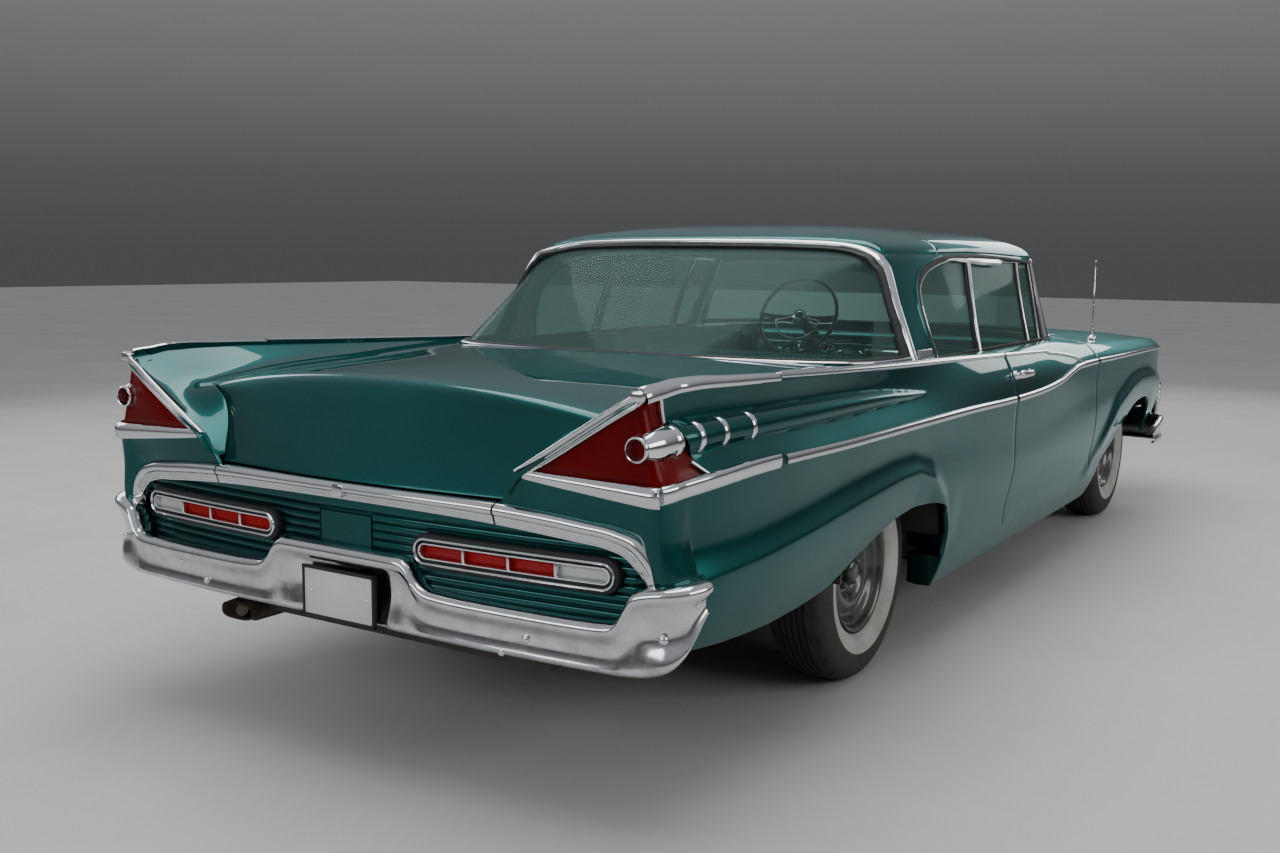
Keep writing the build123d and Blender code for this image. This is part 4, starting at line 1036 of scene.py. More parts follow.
half_n[0, :, 0] = half_n[-1, :, 0] = 0.0
half_n[:, -1] = A(0, 0, 1)
M_ = A(-1, 1, 1)
ring_g = np.concatenate([half_roof, half_roof[1:-1][::-1] * M_])
ring_n = unit(np.concatenate([half_n, half_n[1:-1][::-1] * M_]))
ring_in = ring_g - ring_n * 20.0
out_d = ring_g[:, 0] - ring_g[:, 1]
out_d = unit(out_d - ring_n[:, 0] * np.sum(out_d * ring_n[:, 0], -1, keepdims=True))
e_, G0, N0, I0 = 2.6, ring_g[:, 0], ring_n[:, 0], ring_in[:, 0]
lips = [G0 + out_d * e_ + (I0 - G0) * 0.6, G0 + out_d * e_ - N0 * e_ * 0.75, G0 + out_d * e_ * 0.62 - N0 * e_ * 0.2]
whole = np.concatenate([ring_in[:, ::-1], np.stack(lips, 1), ring_g], 1)
HEADLINER = plain_material("headliner_cloth", (0.20, 0.24, 0.235), (0.27, 0.31, 0.30), (0.75, 0.95), 30.0, 0.35, 0.0008, grain=700.0)
roof = Shape().grid(whole, 0, wrap_r=True)
per_row = [1] * (NR - 1) + [0] * 4 + [0] * (NR - 1)
roof.m = per_row * len(whole)
roof.hidden = [(i * whole.shape[1], i * whole.shape[1] + NR - 1) for i in range(len(whole))]
roof_o = roof.make("roof_panel", "body", [PAINT, HEADLINER], "body_paint", weld=0.02)
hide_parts("roof")

# ---- cowl and the panel behind the rear window -------------------------------------------------------------------------
w_front = np.linspace(0, 3.6, 40)
base_front = ring_point(0, w_front)
w_back = np.linspace(7.0, 10, 50)
base_back = ring_point(0, w_back)
rows = []
for x in np.linspace(-737, 737, 75):
    s1 = float(np.interp(abs(x), base_front[:, 0], base_front[:, 1])) + 4
    ss = np.linspace(-898, s1, 16)
    z = np.array([float(top_z(s, x)) for s in ss])
    z += 2.5 * smoothstep(s1 - 70, s1, ss)
    rows.append(np.stack([np.full(16, x), ss, z], 1))
cowl_top = Shape().shell(np.array(rows), 14, 2.2, ref=(0, -700, 500))
for sign in (-1, 1):
    rows = []
    for x in np.linspace(745, 868, 12):
        s1 = float(np.interp(x, base_front[:, 0], base_front[:, 1])) + 3 if x < 846 else -404.0 + (x - 846) * 2.0
        s0 = -668.0
        ss = np.linspace(s0, max(s1, s0 + 30), 18)
        z = np.array([min(983.0, float(top_z(s, x))) for s in ss])
        rows.append(np.stack([np.full(18, x * sign), ss, z], 1))
    # this side piece stays inboard of the door
    g = np.array(rows)
    g = g[: int(np.searchsorted(np.linspace(745, 868, 12), 812))]
    cowl_top.shell(g, 14, 2.0, ref=(0, -700, 500))
cowl_o = cowl_top.make("cowl_top", "body", PAINT, "body_paint")

rows = []
for x in np.linspace(-719, 719, 73):
    order = np.argsort(base_back[:, 0])
    s0 = float(np.interp(abs(x), base_back[order, 0], base_back[order, 1])) - 4
    ss = np.linspace(s0, 1769, 12)
    z = np.array([float(top_z(s, x)) for s in ss])
    rows.append(np.stack([np.full(12, x), ss, z], 1))
back_o = Shape().shell(np.array(rows), 14, 2.2, ref=(0, 1600, 500)).make("deck_front_panel", "body", PAINT, "body_paint")
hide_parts("upper_back_panel")

# ---- quarter panels: the side up to its moulding, carried round the tail ------------------------------------------------
TAIL_ROWS = [
    # bottom, low, ridge, middle, top: x, station, z each
    [(934, 2893, 430), (949, 2896, 505), (973, 2897, 588), (955, 2899, 700), (953, 2900, 808)],
    [(922, 2915, 432), (938, 2920, 506), (962, 2927, 589), (948, 2930, 702), (949, 2933, 805.5)],
    [(914, 2925, 450), (928, 2936, 520), (944, 2947, 598), (936, 2951, 708), (940, 2956, 803)],
    [(907, 2930, 520), (914, 2940, 572), (922, 2951, 628), (919, 2956, 716), (923, 2968, 802.5)],
    [(893, 2934, 603), (897, 2942, 634), (900, 2950, 668), (899, 2956, 730), (902, 2972, 803.5)],
    [(868, 2938, 688), (871, 2944, 701), (873, 2950, 717), (874, 2956, 752), (877, 2974, 805)],
    [(822, 2943, 711), (824, 2946, 720), (826, 2951, 734), (829, 2958, 762), (834, 2975, 807)],
    [(740, 2952, 722), (741, 2954, 731), (742, 2957, 743), (745, 2963, 768), (750, 2976, 811)],
    [(640, 2960, 731), (640, 2961, 740), (641, 2963, 751), (645, 2967, 774), (652, 2976, 815)],
    [(560, 2965, 737), (562, 2965, 745), (566, 2966, 755), (572, 2969, 778), (592, 2976, 818)],
    [(497, 2967, 742), (504, 2967, 750), (512, 2968, 759), (526, 2970, 779), (553, 2975, 819)]]
NB = 52
rows = []
for s in stations(590, 2852, QUARTER_LOW):
    k = keys(s)
    rows.append(row3(s, low_part(s, edge_z(QUARTER_LOW, s), k, NB)))
side_rows = np.array(rows)
k = keys(2852)
z_first = [edge_z(QUARTER_LOW, 2852), 505, 588, 700, k["side"][1]]
first = [(float(low_x(2852, np.array([z]), k)[0]), 2852, z) for z in z_first]
table = np.array([first] + TAIL_ROWS, float)
u = np.concatenate([[0], np.cumsum(np.linalg.norm(np.diff(table[:, 2], axis=0), axis=1) + 0.25 * np.linalg.norm(np.diff(table[:, 4], axis=0), axis=1))])
uq = np.linspace(0, u[-1], 64)[1:]
dense = np.stack([spline(u, table[:, j], uq) for j in range(5)], 1)
zq_base = None
tail_rows = []
for row in dense:
    # the section: spline through the five points, with the crease of the flare at the third
    c = np.concatenate([[0], np.cumsum(np.linalg.norm(np.diff(row, axis=0), axis=1))])
    z0, z1 = row[0, 2], row[4, 2]
    zc = z0 + min(76.0, 0.3 * (z1 - z0))
    want = np.concatenate([np.linspace(z0, zc, 6)[:-1], np.linspace(zc, z1, NB - 5)])
    fine = spline(c, row, np.linspace(0, c[-1], 160))
    tail_rows.append(np.stack([np.interp(want, fine[:, 2], fine[:, i]) for i in (0, 1)] + [want], 1))
tail_rows = np.array(tail_rows)
# a soft crest on the flare round the corner, as on the side
quarter_low_grid = np.concatenate([side_rows, tail_rows])
inner_low = quarter_low_grid - grid_normals(quarter_low_grid, (0, 1900, 500)) * 15
for i, s in enumerate(quarter_low_grid[:, 0, 1]):
    if s <= 1172 and i < len(side_rows):
        w_in = 1 - smoothstep(1150, 1172, s)
        flat = np.stack([np.full(NB, 818.0), np.full(NB, 560.0 + (s - 590.0) * (612.0 / 582.0)), np.clip(side_rows[i, :, 2], 345, 9999)], 1)
        inner_low[i] = inner_low[i] * (1 - w_in) + flat * w_in
quarter = Shape().shell(quarter_low_grid, 15, 2.4, ref=(0, 1900, 500), inner=inner_low)

# ---- tube along the fin, raised out of the wall ---------------------------------------------------------------
TUBE = np.array([(2862, 888, 905, 42), (2788, 903, 908, 41), (2693, 913, 911, 40), (2573, 924, 913, 39), (2350, 939, 915, 36), (2050, 951, 915, 30),
                 (1750, 960, 912, 21), (1560, 966, 906, 12), (1445, 970, 903, 5)], float)[::-1]


def tube_at(s):
    return spline(TUBE[:, 0], TUBE[:, 1:], [s])[0]


# the wall between the side moulding and the belt, back to the lamp's side edge
NW = 46
rows = []
for s in np.concatenate([np.arange(590, 2780, 17.0), np.linspace(2782, 2893, 16)]):
    k = keys(s)
    w_ = wall(s, 64, k)
    z0 = w_[0, 1] if s < 2795 else 826 + (s - 2795) * 187.0 / 98.0
    z1 = w_[-1, 1]
    zz = np.linspace(max(z0, w_[0, 1]), z1, NW)
    xx = np.interp(zz, w_[:, 1], w_[:, 0])
    if s > 1446:
        cx, cz, r_ = tube_at(s)
        over = cx + np.sqrt(np.maximum(r_ ** 2 - (zz - cz) ** 2, 0.0)) - 6.0 * np.maximum(np.abs(zz - cz) - r_, 0) / 4.0
        over = np.where(np.abs(zz - cz) < r_ + 12, over, cx - 60)
        d_ = xx - over
        xx = 0.5 * (xx + over + np.sqrt(d_ * d_ + 9.0)) - 0.4
    rows.append(row3(s, np.stack([xx, zz], 1)))
wall_grid = np.array(rows)
inner_wall = wall_grid - grid_normals(wall_grid, (0, 1900, 500)) * 14
for i, s in enumerate(wall_grid[:, 0, 1]):
    if s <= 1172:
        w_in = 1 - smoothstep(1150, 1172, s)
        flat = np.stack([np.full(NW, 818.0), np.full(NW, 560.0 + (s - 590.0) * (612.0 / 582.0)), np.minimum(wall_grid[i, :, 2], 968)], 1)
        inner_wall[i] = inner_wall[i] * (1 - w_in) + flat * w_in
quarter.shell(wall_grid, 14, 2.0, ref=(0, 1900, 500), inner=inner_wall)

# the shelf inside the belt, the fin's inner slope, and the band between lamp and lid
base_all = np.concatenate([ring_point(0, np.linspace(5.5, 10, 90))])


def shelf_end(s):
    """Inner edge of the shelf: the glasshouse's foot, then the lid's opening."""
    if s < 1100:
        return 872.0
    order = np.argsort(base_all[:, 1])
    foot = float(np.interp(s, base_all[order, 1], base_all[order, 0])) + 5
    return max(foot, 726.0) if s < 1700 else lid_half(max(0.0, min(s, 2790) - 1776)) + 6.0


rows = []
for s in np.concatenate([np.arange(590, 2600, 17.0), np.linspace(2606, 2770, 14)]):
    k = keys(s)
    rows.append(row3(s, shelf(s, shelf_end(s), None, k, n=(9, 7), r=(12, 34))))
shelf_rows = np.array(rows)
NS = shelf_rows.shape[1]
TIP = [  # fin top or lamp edge, foot; the lid's edge comes from the lid itself, by its length along the centre line
    ((898, 2826, 1039), (786, 2826, 930), 1016), ((892, 2880, 1033), (768, 2868, 917), 1050), ((880, 2962, 1020), (728, 2908, 897), 1083),
    ((812, 2971, 978), (680, 2932, 876), 1110), ((738, 2974, 932), (632, 2949, 858), 1140), ((670, 2975, 890), (592, 2960, 838), 1172),
    ((606, 2975, 851), (556, 2967, 812), 1214), ((566, 2975, 827), (531, 2970, 785), 1262), ((553, 2975, 819), (514, 2968, 758), 1308)]
tip_table = []
k = keys(2770)
t_of = lambda s: np.interp(s, LID[:, 0], LID_LEN)
for f, foot, t in TIP:
    t = min(t, LID_LEN[-1])
    h = lid_half(t)
    e = lid_at(t, np.array([h + 6.5]))[0] + A(0, 0, -1.0)
    tip_table.append([f, foot, e])
first = [shelf_rows[-1, 0], A(k["foot"][0], 2770, k["foot"][1]), shelf_rows[-1, -1]]
tip_table = np.array([first] + tip_table, float)
u = np.concatenate([[0], np.cumsum(np.linalg.norm(np.diff(tip_table[:, 2], axis=0), axis=1) + np.linalg.norm(np.diff(tip_table[:, 0], axis=0), axis=1))])
uq = np.linspace(0, u[-1], 46)[1:]
dense = np.stack([spline(u, tip_table[:, j], uq) for j in range(3)], 1)
tip_rows = []
for f, foot, e in dense:
    r_ = min(60.0, 0.45 * np.linalg.norm(foot - f), 0.45 * np.linalg.norm(e - foot))
    pa, pb = foot + unit(f - foot) * r_, foot + unit(e - foot) * r_
    mid = np.array([(1 - t) ** 2 * pa + 2 * t * (1 - t) * foot + t * t * pb for t in np.linspace(0, 1, 5)])
    a = f + (mid[0] - f) * np.linspace(0, 1, 9)[:-1, None]
    b = mid[-1] + (e - mid[-1]) * np.linspace(0, 1, 7)[1:, None]
    tip_rows.append(np.concatenate([a, mid, b]))
shelf_grid = np.concatenate([shelf_rows, np.array(tip_rows)])
quarter.shell(shelf_grid, 12, 2.2, ref=(0, 1900, 500))
quarter_l = quarter.make("quarter_panel_left", "body", PAINT, "body_paint")
quarter_r = quarter.flipped().make("quarter_panel_right", "body", PAINT, "body_paint")
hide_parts("quarter_panels")


def moulding(shape, path, normals, width, height, n=9, flat=2.2, sink=4.0, mat=0, closed=False, profile=None, caps=True):
    """A strip laid along a path on a surface. width and height are one value or one per point."""
    path = np.asarray(path, float)
    t = np.gradient(path, axis=0)
    if closed:
        t = np.roll(path, -1, 0) - np.roll(path, 1, 0)
    t = unit(t)
    nn = np.broadcast_to(np.asarray(normals, float), path.shape)
    nn = unit(nn - t * np.sum(nn * t, -1, keepdims=True))
    across = np.cross(t, nn)
    w = np.broadcast_to(np.asarray(width, float), (len(path),))
    h = np.broadcast_to(np.asarray(height, float), (len(path),))
    base = half_round(1.0, 1.0, n, 0.0, flat) if profile is None else np.asarray(profile, float)
    prof = base[None] * np.stack([w, h], 1)[:, None, :]
    if profile is None:
        prof[:, 0, 1] = prof[:, -1, 1] = -sink
    return shape.bar(path, across, nn, prof, closed=closed, caps=caps, mat=mat)


def side_normal(s, z):
    x0, x1 = side_x(s, z - 4), side_x(s, z + 4)
    xa, xb = side_x(s - 12, z), side_x(s + 12, z)
    return unit(A(1.0, -(xb - xa) / 24.0, -(x1 - x0) / 8.0))


# ---- side mouldings ---------------------------------------------------------------------------------------------------
trim = Shape()
# belt and fin-top strip, leaving the belt over the door and meeting the lower one in a round nose
belt_pts = []
for s in np.arange(2400, 20, -24.0):
    k = keys(s)
    belt_pts.append((k["belt"][0], s, k["belt"][1]))
nose = [(0, 945), (-90, 938), (-180, 929), (-270, 918), (-340, 905), (-390, 891), (-418, 880)]
dense_nose = spline([-p[0] for p in nose], [p[1] for p in nose], np.arange(0, 419, 19.0))
for s, z in zip(-np.arange(0, 419, 19.0), dense_nose):
    belt_pts.append((side_x(s, z), s, z))
belt_pts = track(belt_pts, 150)
belt_n = []
for x, s, z in belt_pts:
    k = keys(s)
    wall_n = unit(A(1, 0, -(side_x(s, min(z, k["belt"][1]) - 2) - side_x(s, min(z, k["belt"][1]) - 10)) / 8.0))
    belt_n.append(unit(wall_n + A(0, 0, 0.75 * float(smoothstep(-60, 120, s)))))
wid = np.interp(belt_pts[:, 1], [-430, -380, -100, 100, 600, 1500, 2400], [15, 17, 15, 12, 19, 22, 23])


def piece(path, normals, width, height, s0, s1, **kw):
    """The part of a strip between two stations."""
    keep = (path[:, 1] >= s0) & (path[:, 1] <= s1)
    sh = Shape()
    moulding(sh, path[keep], np.asarray(normals)[keep], np.asarray(width)[keep], np.asarray(height)[keep], **kw)
    return sh


low_pts, low_n = [], []
for s in np.concatenate([np.arange(-2436, 2850, 24.0)]):
    k = keys(s)
    low_pts.append((k["side"][0], s, k["side"][1]))
low_pts = track(low_pts, 320)
low_n = np.array([side_normal(s, z) for x, s, z in low_pts])
low_w = np.interp(low_pts[:, 1], [-2440, -2000, -1000, -430, -380, 0, 700, 1500, 2490, 2500, 2850], [16, 19, 22, 26, 24, 23, 24, 26, 27, 38, 42])
low_h = np.interp(low_pts[:, 1], [-2440, -400, 0, 2490, 2500, 2850], [7.5, 9, 7, 8, 10, 12])
belt_h = np.full(len(belt_pts), 7.0)
fender_trim = piece(low_pts, low_n, low_w, low_h, -2436, -676)
door_trim = piece(low_pts, low_n, low_w, low_h, -663, 581)
door_trim.include(piece(belt_pts, belt_n, wid, belt_h, -440, 581))
quarter_trim = piece(low_pts, low_n, low_w, low_h, 592, 2496)
quarter_trim.include(piece(belt_pts, belt_n, wid, belt_h, 592, 2400))
# wide strip from the joint back to the tail's corner, along the top of the lower panel
wide_path = [tuple(p) for p in low_pts[low_pts[:, 1] > 2502]]
corner_rows = tail_rows[:, -1]
upto = int(np.argmax(corner_rows[:, 1] > 2962))
for p in corner_rows[:upto]:
    wide_path.append(tuple(p))
wide_path = track(wide_path, 46)
wide_n = np.array([unit(A(1.0, 0.0, -0.10)) if s < 2880 else unit(A(1.0, 0.9 * (s - 2880) / 80.0, -0.1)) for x, s, z in wide_path])
wide_w = np.interp(wide_path[:, 1], [2500, 2850, 2962], [38, 42, 43])
moulding(quarter_trim, wide_path, wide_n, wide_w, np.interp(wide_path[:, 1], [2500, 2850, 2962], [9, 12, 14]), n=11, flat=2.6)
# strip under the lamp, thick at the corner and pointed at the inner end, with a bright upper face over a darker lower one
under = [tuple(p) for p in corner_rows[upto - 1:]]
under = track(under, 56)
under[:, 1] = np.maximum(under[:, 1], 2962)
share = np.linspace(0, 1, 56)
under_n = np.array([unit(A(0.55 * (1 - smoothstep(0, 0.08, t)), 1.0, 0.12)) for t in share])
prof = np.array([(0.56, -0.5), (0.58, 0.15), (0.44, 0.62), (0.20, 0.92), (0.02, 1.0), (-0.12, 0.86), (-0.26, 0.60), (-0.44, 0.38), (-0.58, 0.12), (-0.60, -0.5)])
t_w = 41 - 25 * share ** 1.15
t_w[-4:] *= np.array([0.92, 0.8, 0.6, 0.35])
moulding(quarter_trim, under + A(0, 0, 1) * (-0.12 * t_w[:, None]), under_n, -t_w, 4 + 10 * (1 - share) ** 0.8, profile=prof)
# joint block between them
quarter_trim.box(tuple(under[1] + A(-3, -10, -24)), tuple(under[1] + A(6, 15, 14)), 4)

# wide cap over the fin, up to the lamp's upper corner
cap_pts = []
for s in np.linspace(2402, 2810, 30):
    k = keys(s)
    cap_pts.append((k["belt"][0], s, k["belt"][1]))
cap_pts += [tuple(p) for p in shelf_grid[len(shelf_rows):, 0] if p[0] > 884 and p[1] > 2815]
cap_pts = track(cap_pts, 44)
cap_n = np.array([unit(A(0.95, 0, 0.55)) for _ in cap_pts])
cap_prof = np.array([(0.60, -0.55), (0.60, 0.05), (0.50, 0.45), (0.30, 0.80), (0.10, 0.98), (-0.10, 1.0), (-0.34, 0.82), (-0.52, 0.48), (-0.62, 0.05), (-0.62, -0.6)])
cap_w = np.interp(cap_pts[:, 1], [2402, 2650, 2900, 2962], [21, 25, 33, 35])
moulding(quarter_trim, cap_pts + A(-1.5, 0, -7), cap_n, cap_w, np.interp(cap_pts[:, 1], [2402, 2962], [8, 10]), profile=cap_prof)
# joint block at the lamp's upper corner
tip = cap_pts[-1]
quarter_trim.box((tip[0] - 24, 2955, tip[2] - 20), (tip[0] + 9, 2977, tip[2] + 5), 6)

# two strips down the lamp's slanting edge, the inner one ribbed
slant = np.array([p for p in shelf_grid[len(shelf_rows):, 0] if p[0] < 880])
slant = np.concatenate([[cap_pts[-1] + A(-8, 6, -4)], slant])
slant = track(slant, 60)
slant[:, 1] = np.maximum(slant[:, 1], 2966)
dirs = unit(np.gradient(slant, axis=0))
in_plane = unit(np.cross(dirs, A(0, 1, 0)))
in_plane = np.where(in_plane[:, 2:3] > 0, in_plane, -in_plane)
moulding(quarter_trim, slant + in_plane * 2.0, unit(A(0, 1, 0) + 0.5 * in_plane), np.interp(np.arange(60), [0, 50, 59], [14, 12, 8]), 10.0, n=9)
rib_prof = np.array([(0.5, -0.6), (0.5, 0.5), (0.40, 0.8), (0.28, 0.85), (0.18, 0.35), (0.08, 0.7), (-0.04, 0.75), (-0.14, 0.3), (-0.24, 0.6), (-0.38, 0.62), (-0.5, 0.3), (-0.5, -0.6)])
moulding(quarter_trim, slant[1:-2] - in_plane[1:-2] * 12.5, (0, 1, 0), np.interp(np.arange(57), [0, 45, 56], [17, 15, 5]), 6.0, profile=rib_prof)

# dividers above and below the tube where the lamp meets the side
for (s0, z0), (s1, z1) in (((2891, 1010), (2873, 952)), ((2832, 862), (2795, 828))):
    n_ = 14
    line = []
    for t in np.linspace(0, 1, n_):
        s, z = s0 + (s1 - s0) * t, z0 + (z1 - z0) * t
        line.append((side_x(s, min(z, keys(s)["belt"][1] - 3)) + 0.5, s, z))
    moulding(quarter_trim, line, (1, 0.1, 0), 11, 7.5)

quarter_trim_l = quarter_trim.make("quarter_mouldings_left", "body", CHROME, "bright_metal")
quarter_trim_r = quarter_trim.flipped().make("quarter_mouldings_right", "body", CHROME, "bright_metal")
door_trim.make("door_mouldings_left", "left_door", CHROME, "bright_metal")
door_trim.flipped().make("door_mouldings_right", "right_door", CHROME, "bright_metal")
fender_trim.make("fender_mouldings_left", "body", CHROME, "bright_metal")
fender_trim.flipped().make("fender_mouldings_right", "body", CHROME, "bright_metal")

# ---- tube ends and bands ---------------------------------------------------------------------------------------------------
cone = Shape()
axis = unit(A(884, 2984, 902) - A(888, 2860, 905))
base = A(888, 2860, 905)
L = 124.0
cone.turned(base, axis, [(-14, 41.5), (2, 42.4), (10, 43.0), (46, 43.2), (62, 42.4), (76, 40.0), (88, 36.6), (98, 33.2), (106, 30.6), (110, 29.4), (112, 29.6),
                         (115, 30.4), (119, 30.6), (122, 29.2), (123.5, 27.0), (122.5, 25.0), (118, 24.0), (96, 23.2), (80, 22.4)], seg=72)
cone_in = Shape().turned(base, axis, [(78, 4), (79, 23.0), (86, 22.9), (86.5, 8), (92, 3)], seg=48)
bands = Shape()
for s_b, wide in ((2866, 19), (2788, 17), (2693, 17), (2573, 17)):
    ang = np.linspace(-78, 80, 33) * math.pi / 180.0
    rows = []
    for off, lift in ((-0.5, -5.0), (-0.5, 1.6), (-0.38, 3.4), (-0.15, 4.0), (0.15, 4.0), (0.38, 3.4), (0.5, 1.6), (0.5, -5.0)):
        s = s_b + off * wide
        cx, cz, r_ = tube_at(s)
        taper = 1.0 - 0.55 * np.abs(ang / (79 * math.pi / 180.0)) ** 10
        rr = r_ + lift * np.where(lift > 0, taper, 1.0)
        rows.append(np.stack([cx + rr * np.cos(ang), np.full(33, s), cz + rr * np.sin(ang)], 1))
    g = np.array(rows)
    bands.grid(g, 0, wrap_r=True)
    for j in (0, 32):
        base_i = bands.n - g.shape[0] * 33
        ids = [base_i + r * 33 + j for r in range(8)]
        bands.f.append(tuple(ids if j == 0 else reversed(ids)))
        bands.m.append(0)
cone.include(bands)
for side_name, sh, inn in (("left", cone, cone_in), ("right", cone.flipped(), cone_in.flipped())):
    c_o = sh.make("tail_tube_" + side_name, "body", CHROME_SMOOTH, "bright_metal")
    inn.make("tail_tube_lens_" + side_name, "body", RED, "red_lens")
    if side_name == "left":
        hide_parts("tail_cones")

# ---- three-cornered lamps --------------------------------------------------------------------------------------------------
lamp = Shape()
NV, NU = 34, 44
rows = []
for v in np.linspace(0, 1, NV):
    v_ = 0.015 + 0.96 * v
    I = A(562 + 318 * v_, 2971 - 5 * v_, 823 + 192 * v_)
    C = A(934 - 55 * v_, 2961 - 3 * v_, 806 + 209 * v_)
    sS, zS = 2797 + 94 * v_, 830 + 181 * v_
    S_ = A(side_x(sS, min(zS, keys(sS)["belt"][1] - 3)) - 2.0, sS, zS)
    r_ = min(20.0, 0.45 * np.linalg.norm(C - I))
    pa, pb = C + unit(I - C) * r_, C + unit(S_ - C) * r_
    left = I + (pa - I) * np.linspace(0, 1, 22)[:-1, None]
    bend = np.array([(1 - t) ** 2 * pa + 2 * t * (1 - t) * C + t * t * pb for t in np.linspace(0, 1, 8)])
    rest = pb + (S_ - pb) * np.linspace(0, 1, 16)[1:, None]
    line = np.concatenate([left, bend, rest])
    # crown of the rear face and of the side
    u_ = np.linspace(0, 1, len(left))
    line[: len(left), 1] += 7.0 * np.sin(math.pi * u_) * (1 - v_ ** 3) - 4.0
    line[len(left): len(left) + 8, 1] -= 3.0
    w_ = np.linspace(0, 1, 16)[1:]
    line[len(left) + 8:, 0] -= 9.0 * np.sin(math.pi * w_) - 0.0
    line[:, 1] -= 2.5 * (v_ < 0.075)
    rows.append(line)
lamp_grid = np.array(rows)
lamp.shell(lamp_grid, 7, 1.2, ref=(700, 2500, 900))
# black backing behind the lens: a dark sheet of painted shade inside the lamp
backing = lamp_grid - grid_normals(lamp_grid, (700, 2500, 900)) * 15
lamp_back = Shape().shell(backing[::2, ::2], 4, 1.0, ref=(700, 2500, 900))
lamp_l = lamp.make("tail_lamp_left", "body", RED, "red_lens", angle=40)
lamp.flipped().make("tail_lamp_right", "body", RED, "red_lens", angle=40)
lamp_back.both().make("tail_lamp_backings", "body", BLACK_TRIM_AND_SHADE)
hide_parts("tail_lamps")

# ---- bright strip over the rear panel, with its legs -----------------------------------------------------------------------------


def rear_s(x):
    return 2988.0 - 50.0 * (np.asarray(x, float) / 838.0) ** 2


OUT = [(0, 741), (240, 741), (487, 739.5), (600, 734.5), (720, 724.5), (820, 712), (868, 696), (899, 666), (917, 628), (925, 594), (928, 560)]
INN = [(0, 699), (240, 697), (487, 689), (600, 681), (700, 672), (792, 662), (834, 648), (862, 622), (879, 600), (889, 578), (894, 556)]
U = np.concatenate([[0], np.cumsum(np.hypot(*np.diff(np.array(OUT, float), axis=0).T))])


def strip_grid(u0, u1, n):
    rows = []
    for u in np.linspace(u0, u1, n):
        o = spline(U, np.array(OUT, float), [u])[0]
        i = spline(U, np.array(INN, float), [u])[0]
        leg = float(smoothstep(870, 1000, u))
        prof = [(-0.03, -9), (0.0, 2), (0.05, 9), (0.13, 14.5), (0.25, 18.0), (0.37, 18.5), (0.48, 16.5), (0.55, 13.0),
                (0.575, 10.2), (0.60, 11.8), (0.67, 11.2), (0.69, 8.6), (0.715, 10.2), (0.78, 9.4), (0.80, 6.8), (0.825, 8.4), (0.89, 7.6), (0.91, 5.0), (0.935, 6.2), (1.0, 5.0), (1.03, -9)]
        smooth_prof = [18.5 * math.sin(math.pi * min(1, max(0, 0.06 + 0.9 * v))) ** 0.6 if -0.01 < v < 1.01 else -9 for v, _ in prof]
        row = []
        turn_n = unit(A(0.75 * leg * (1 if u < 1090 else 1), 1.0, 0.0))
        for (v, h), h2 in zip(prof, smooth_prof):
            x, z = o + (i - o) * v
            hh = h * (1 - leg) + h2 * leg
            row.append(A(x, rear_s(x), z) + turn_n * hh - A(0, 4.0 * (1 - v) * leg, 0))
        rows.append(row)
    return np.array(rows)


def strip_solid(g):
    """Closes the strip's back."""
    sh = Shape()
    R, C = g.shape[:2]
    back_mid = 0.5 * (g[:, :1] + g[:, -1:]) - A(0, 6, 0)
    full = np.concatenate([g, back_mid], 1)
    sh.grid(full, 0, wrap_c=True)
    base_i = sh.n - R * (C + 1)
    sh.f.append(tuple(base_i + j for j in range(C + 1)))
    sh.f.append(tuple(base_i + (R - 1) * (C + 1) + j for j in reversed(range(C + 1))))
    sh.m += [0, 0]
    return sh


half = strip_grid(0.0, 484.5, 26)
whole = np.concatenate([half[::-1] * A(-1, 1, 1), half[1:]])
mid_strip = strip_solid(whole)
mid_strip.box((-17, 2998, 706), (17, 3009.5, 738), 3.0)
mid_strip.make("lid_edge_strip", "trunk_lid", CHROME, "bright_metal")
side_strip = strip_solid(strip_grid(490.0, U[-1], 74))
side_strip.both().make("rear_panel_strips", "body", CHROME, "bright_metal")

# ---- grooved rear panel ---------------------------------------------------------------------------------------------------------
GROOVES = (668, 646, 624, 602, 580, 558, 536, 514)
zs_ = np.arange(462, 737, 2.75)
xs_ = np.concatenate([np.linspace(-896, -100, 60), np.linspace(-97, -88, 5), np.linspace(-80, 80, 9), np.linspace(88, 97, 5), np.linspace(100, 896, 60)])
X, Z = np.meshgrid(xs_, zs_)
H = np.zeros_like(X)
for g_ in GROOVES:
    d = Z - g_
    step = np.where((d > -3.2) & (d <= 0), -6.0 * (1 + d / 3.2), 0) + np.where((d > 0) & (d < 9), -6.0 * (1 - d / 9.0) ** 1.0, 0)
    H += step
door_sq = (np.abs(X) < 90) & (Z > 566) & (Z < 662)
rim_sq = (np.abs(X) < 94) & (Z > 562) & (Z < 666) & ~door_sq
H = np.where(door_sq, 0.5, H)
H = np.where(rim_sq, -5.0, H)
H = H * smoothstep(890, 878, np.abs(X))
S_p = rear_s(X) - 9.0 + H - 26.0 * smoothstep(850, 900, np.abs(X))
panel_grid = np.stack([X, S_p, Z], -1)
panel = Shape().shell(panel_grid, 12, 1.5, ref=(0, 2000, 600))
panel_o = panel.make("rear_panel_face", "body", PAINT, "body_paint", angle=28)
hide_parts("rear_panel")

# ---- oval lamp pods -----------------------------------------------------------------------------------------------------------------
PX0, PX1, PZ0, PZ1 = 238.0, 823.0, 557.5, 642.5
pcx, pcz = 0.5 * (PX0 + PX1), 0.5 * (PZ0 + PZ1)
pa_, pb_ = 0.5 * (PX1 - PX0), 0.5 * (PZ1 - PZ0)


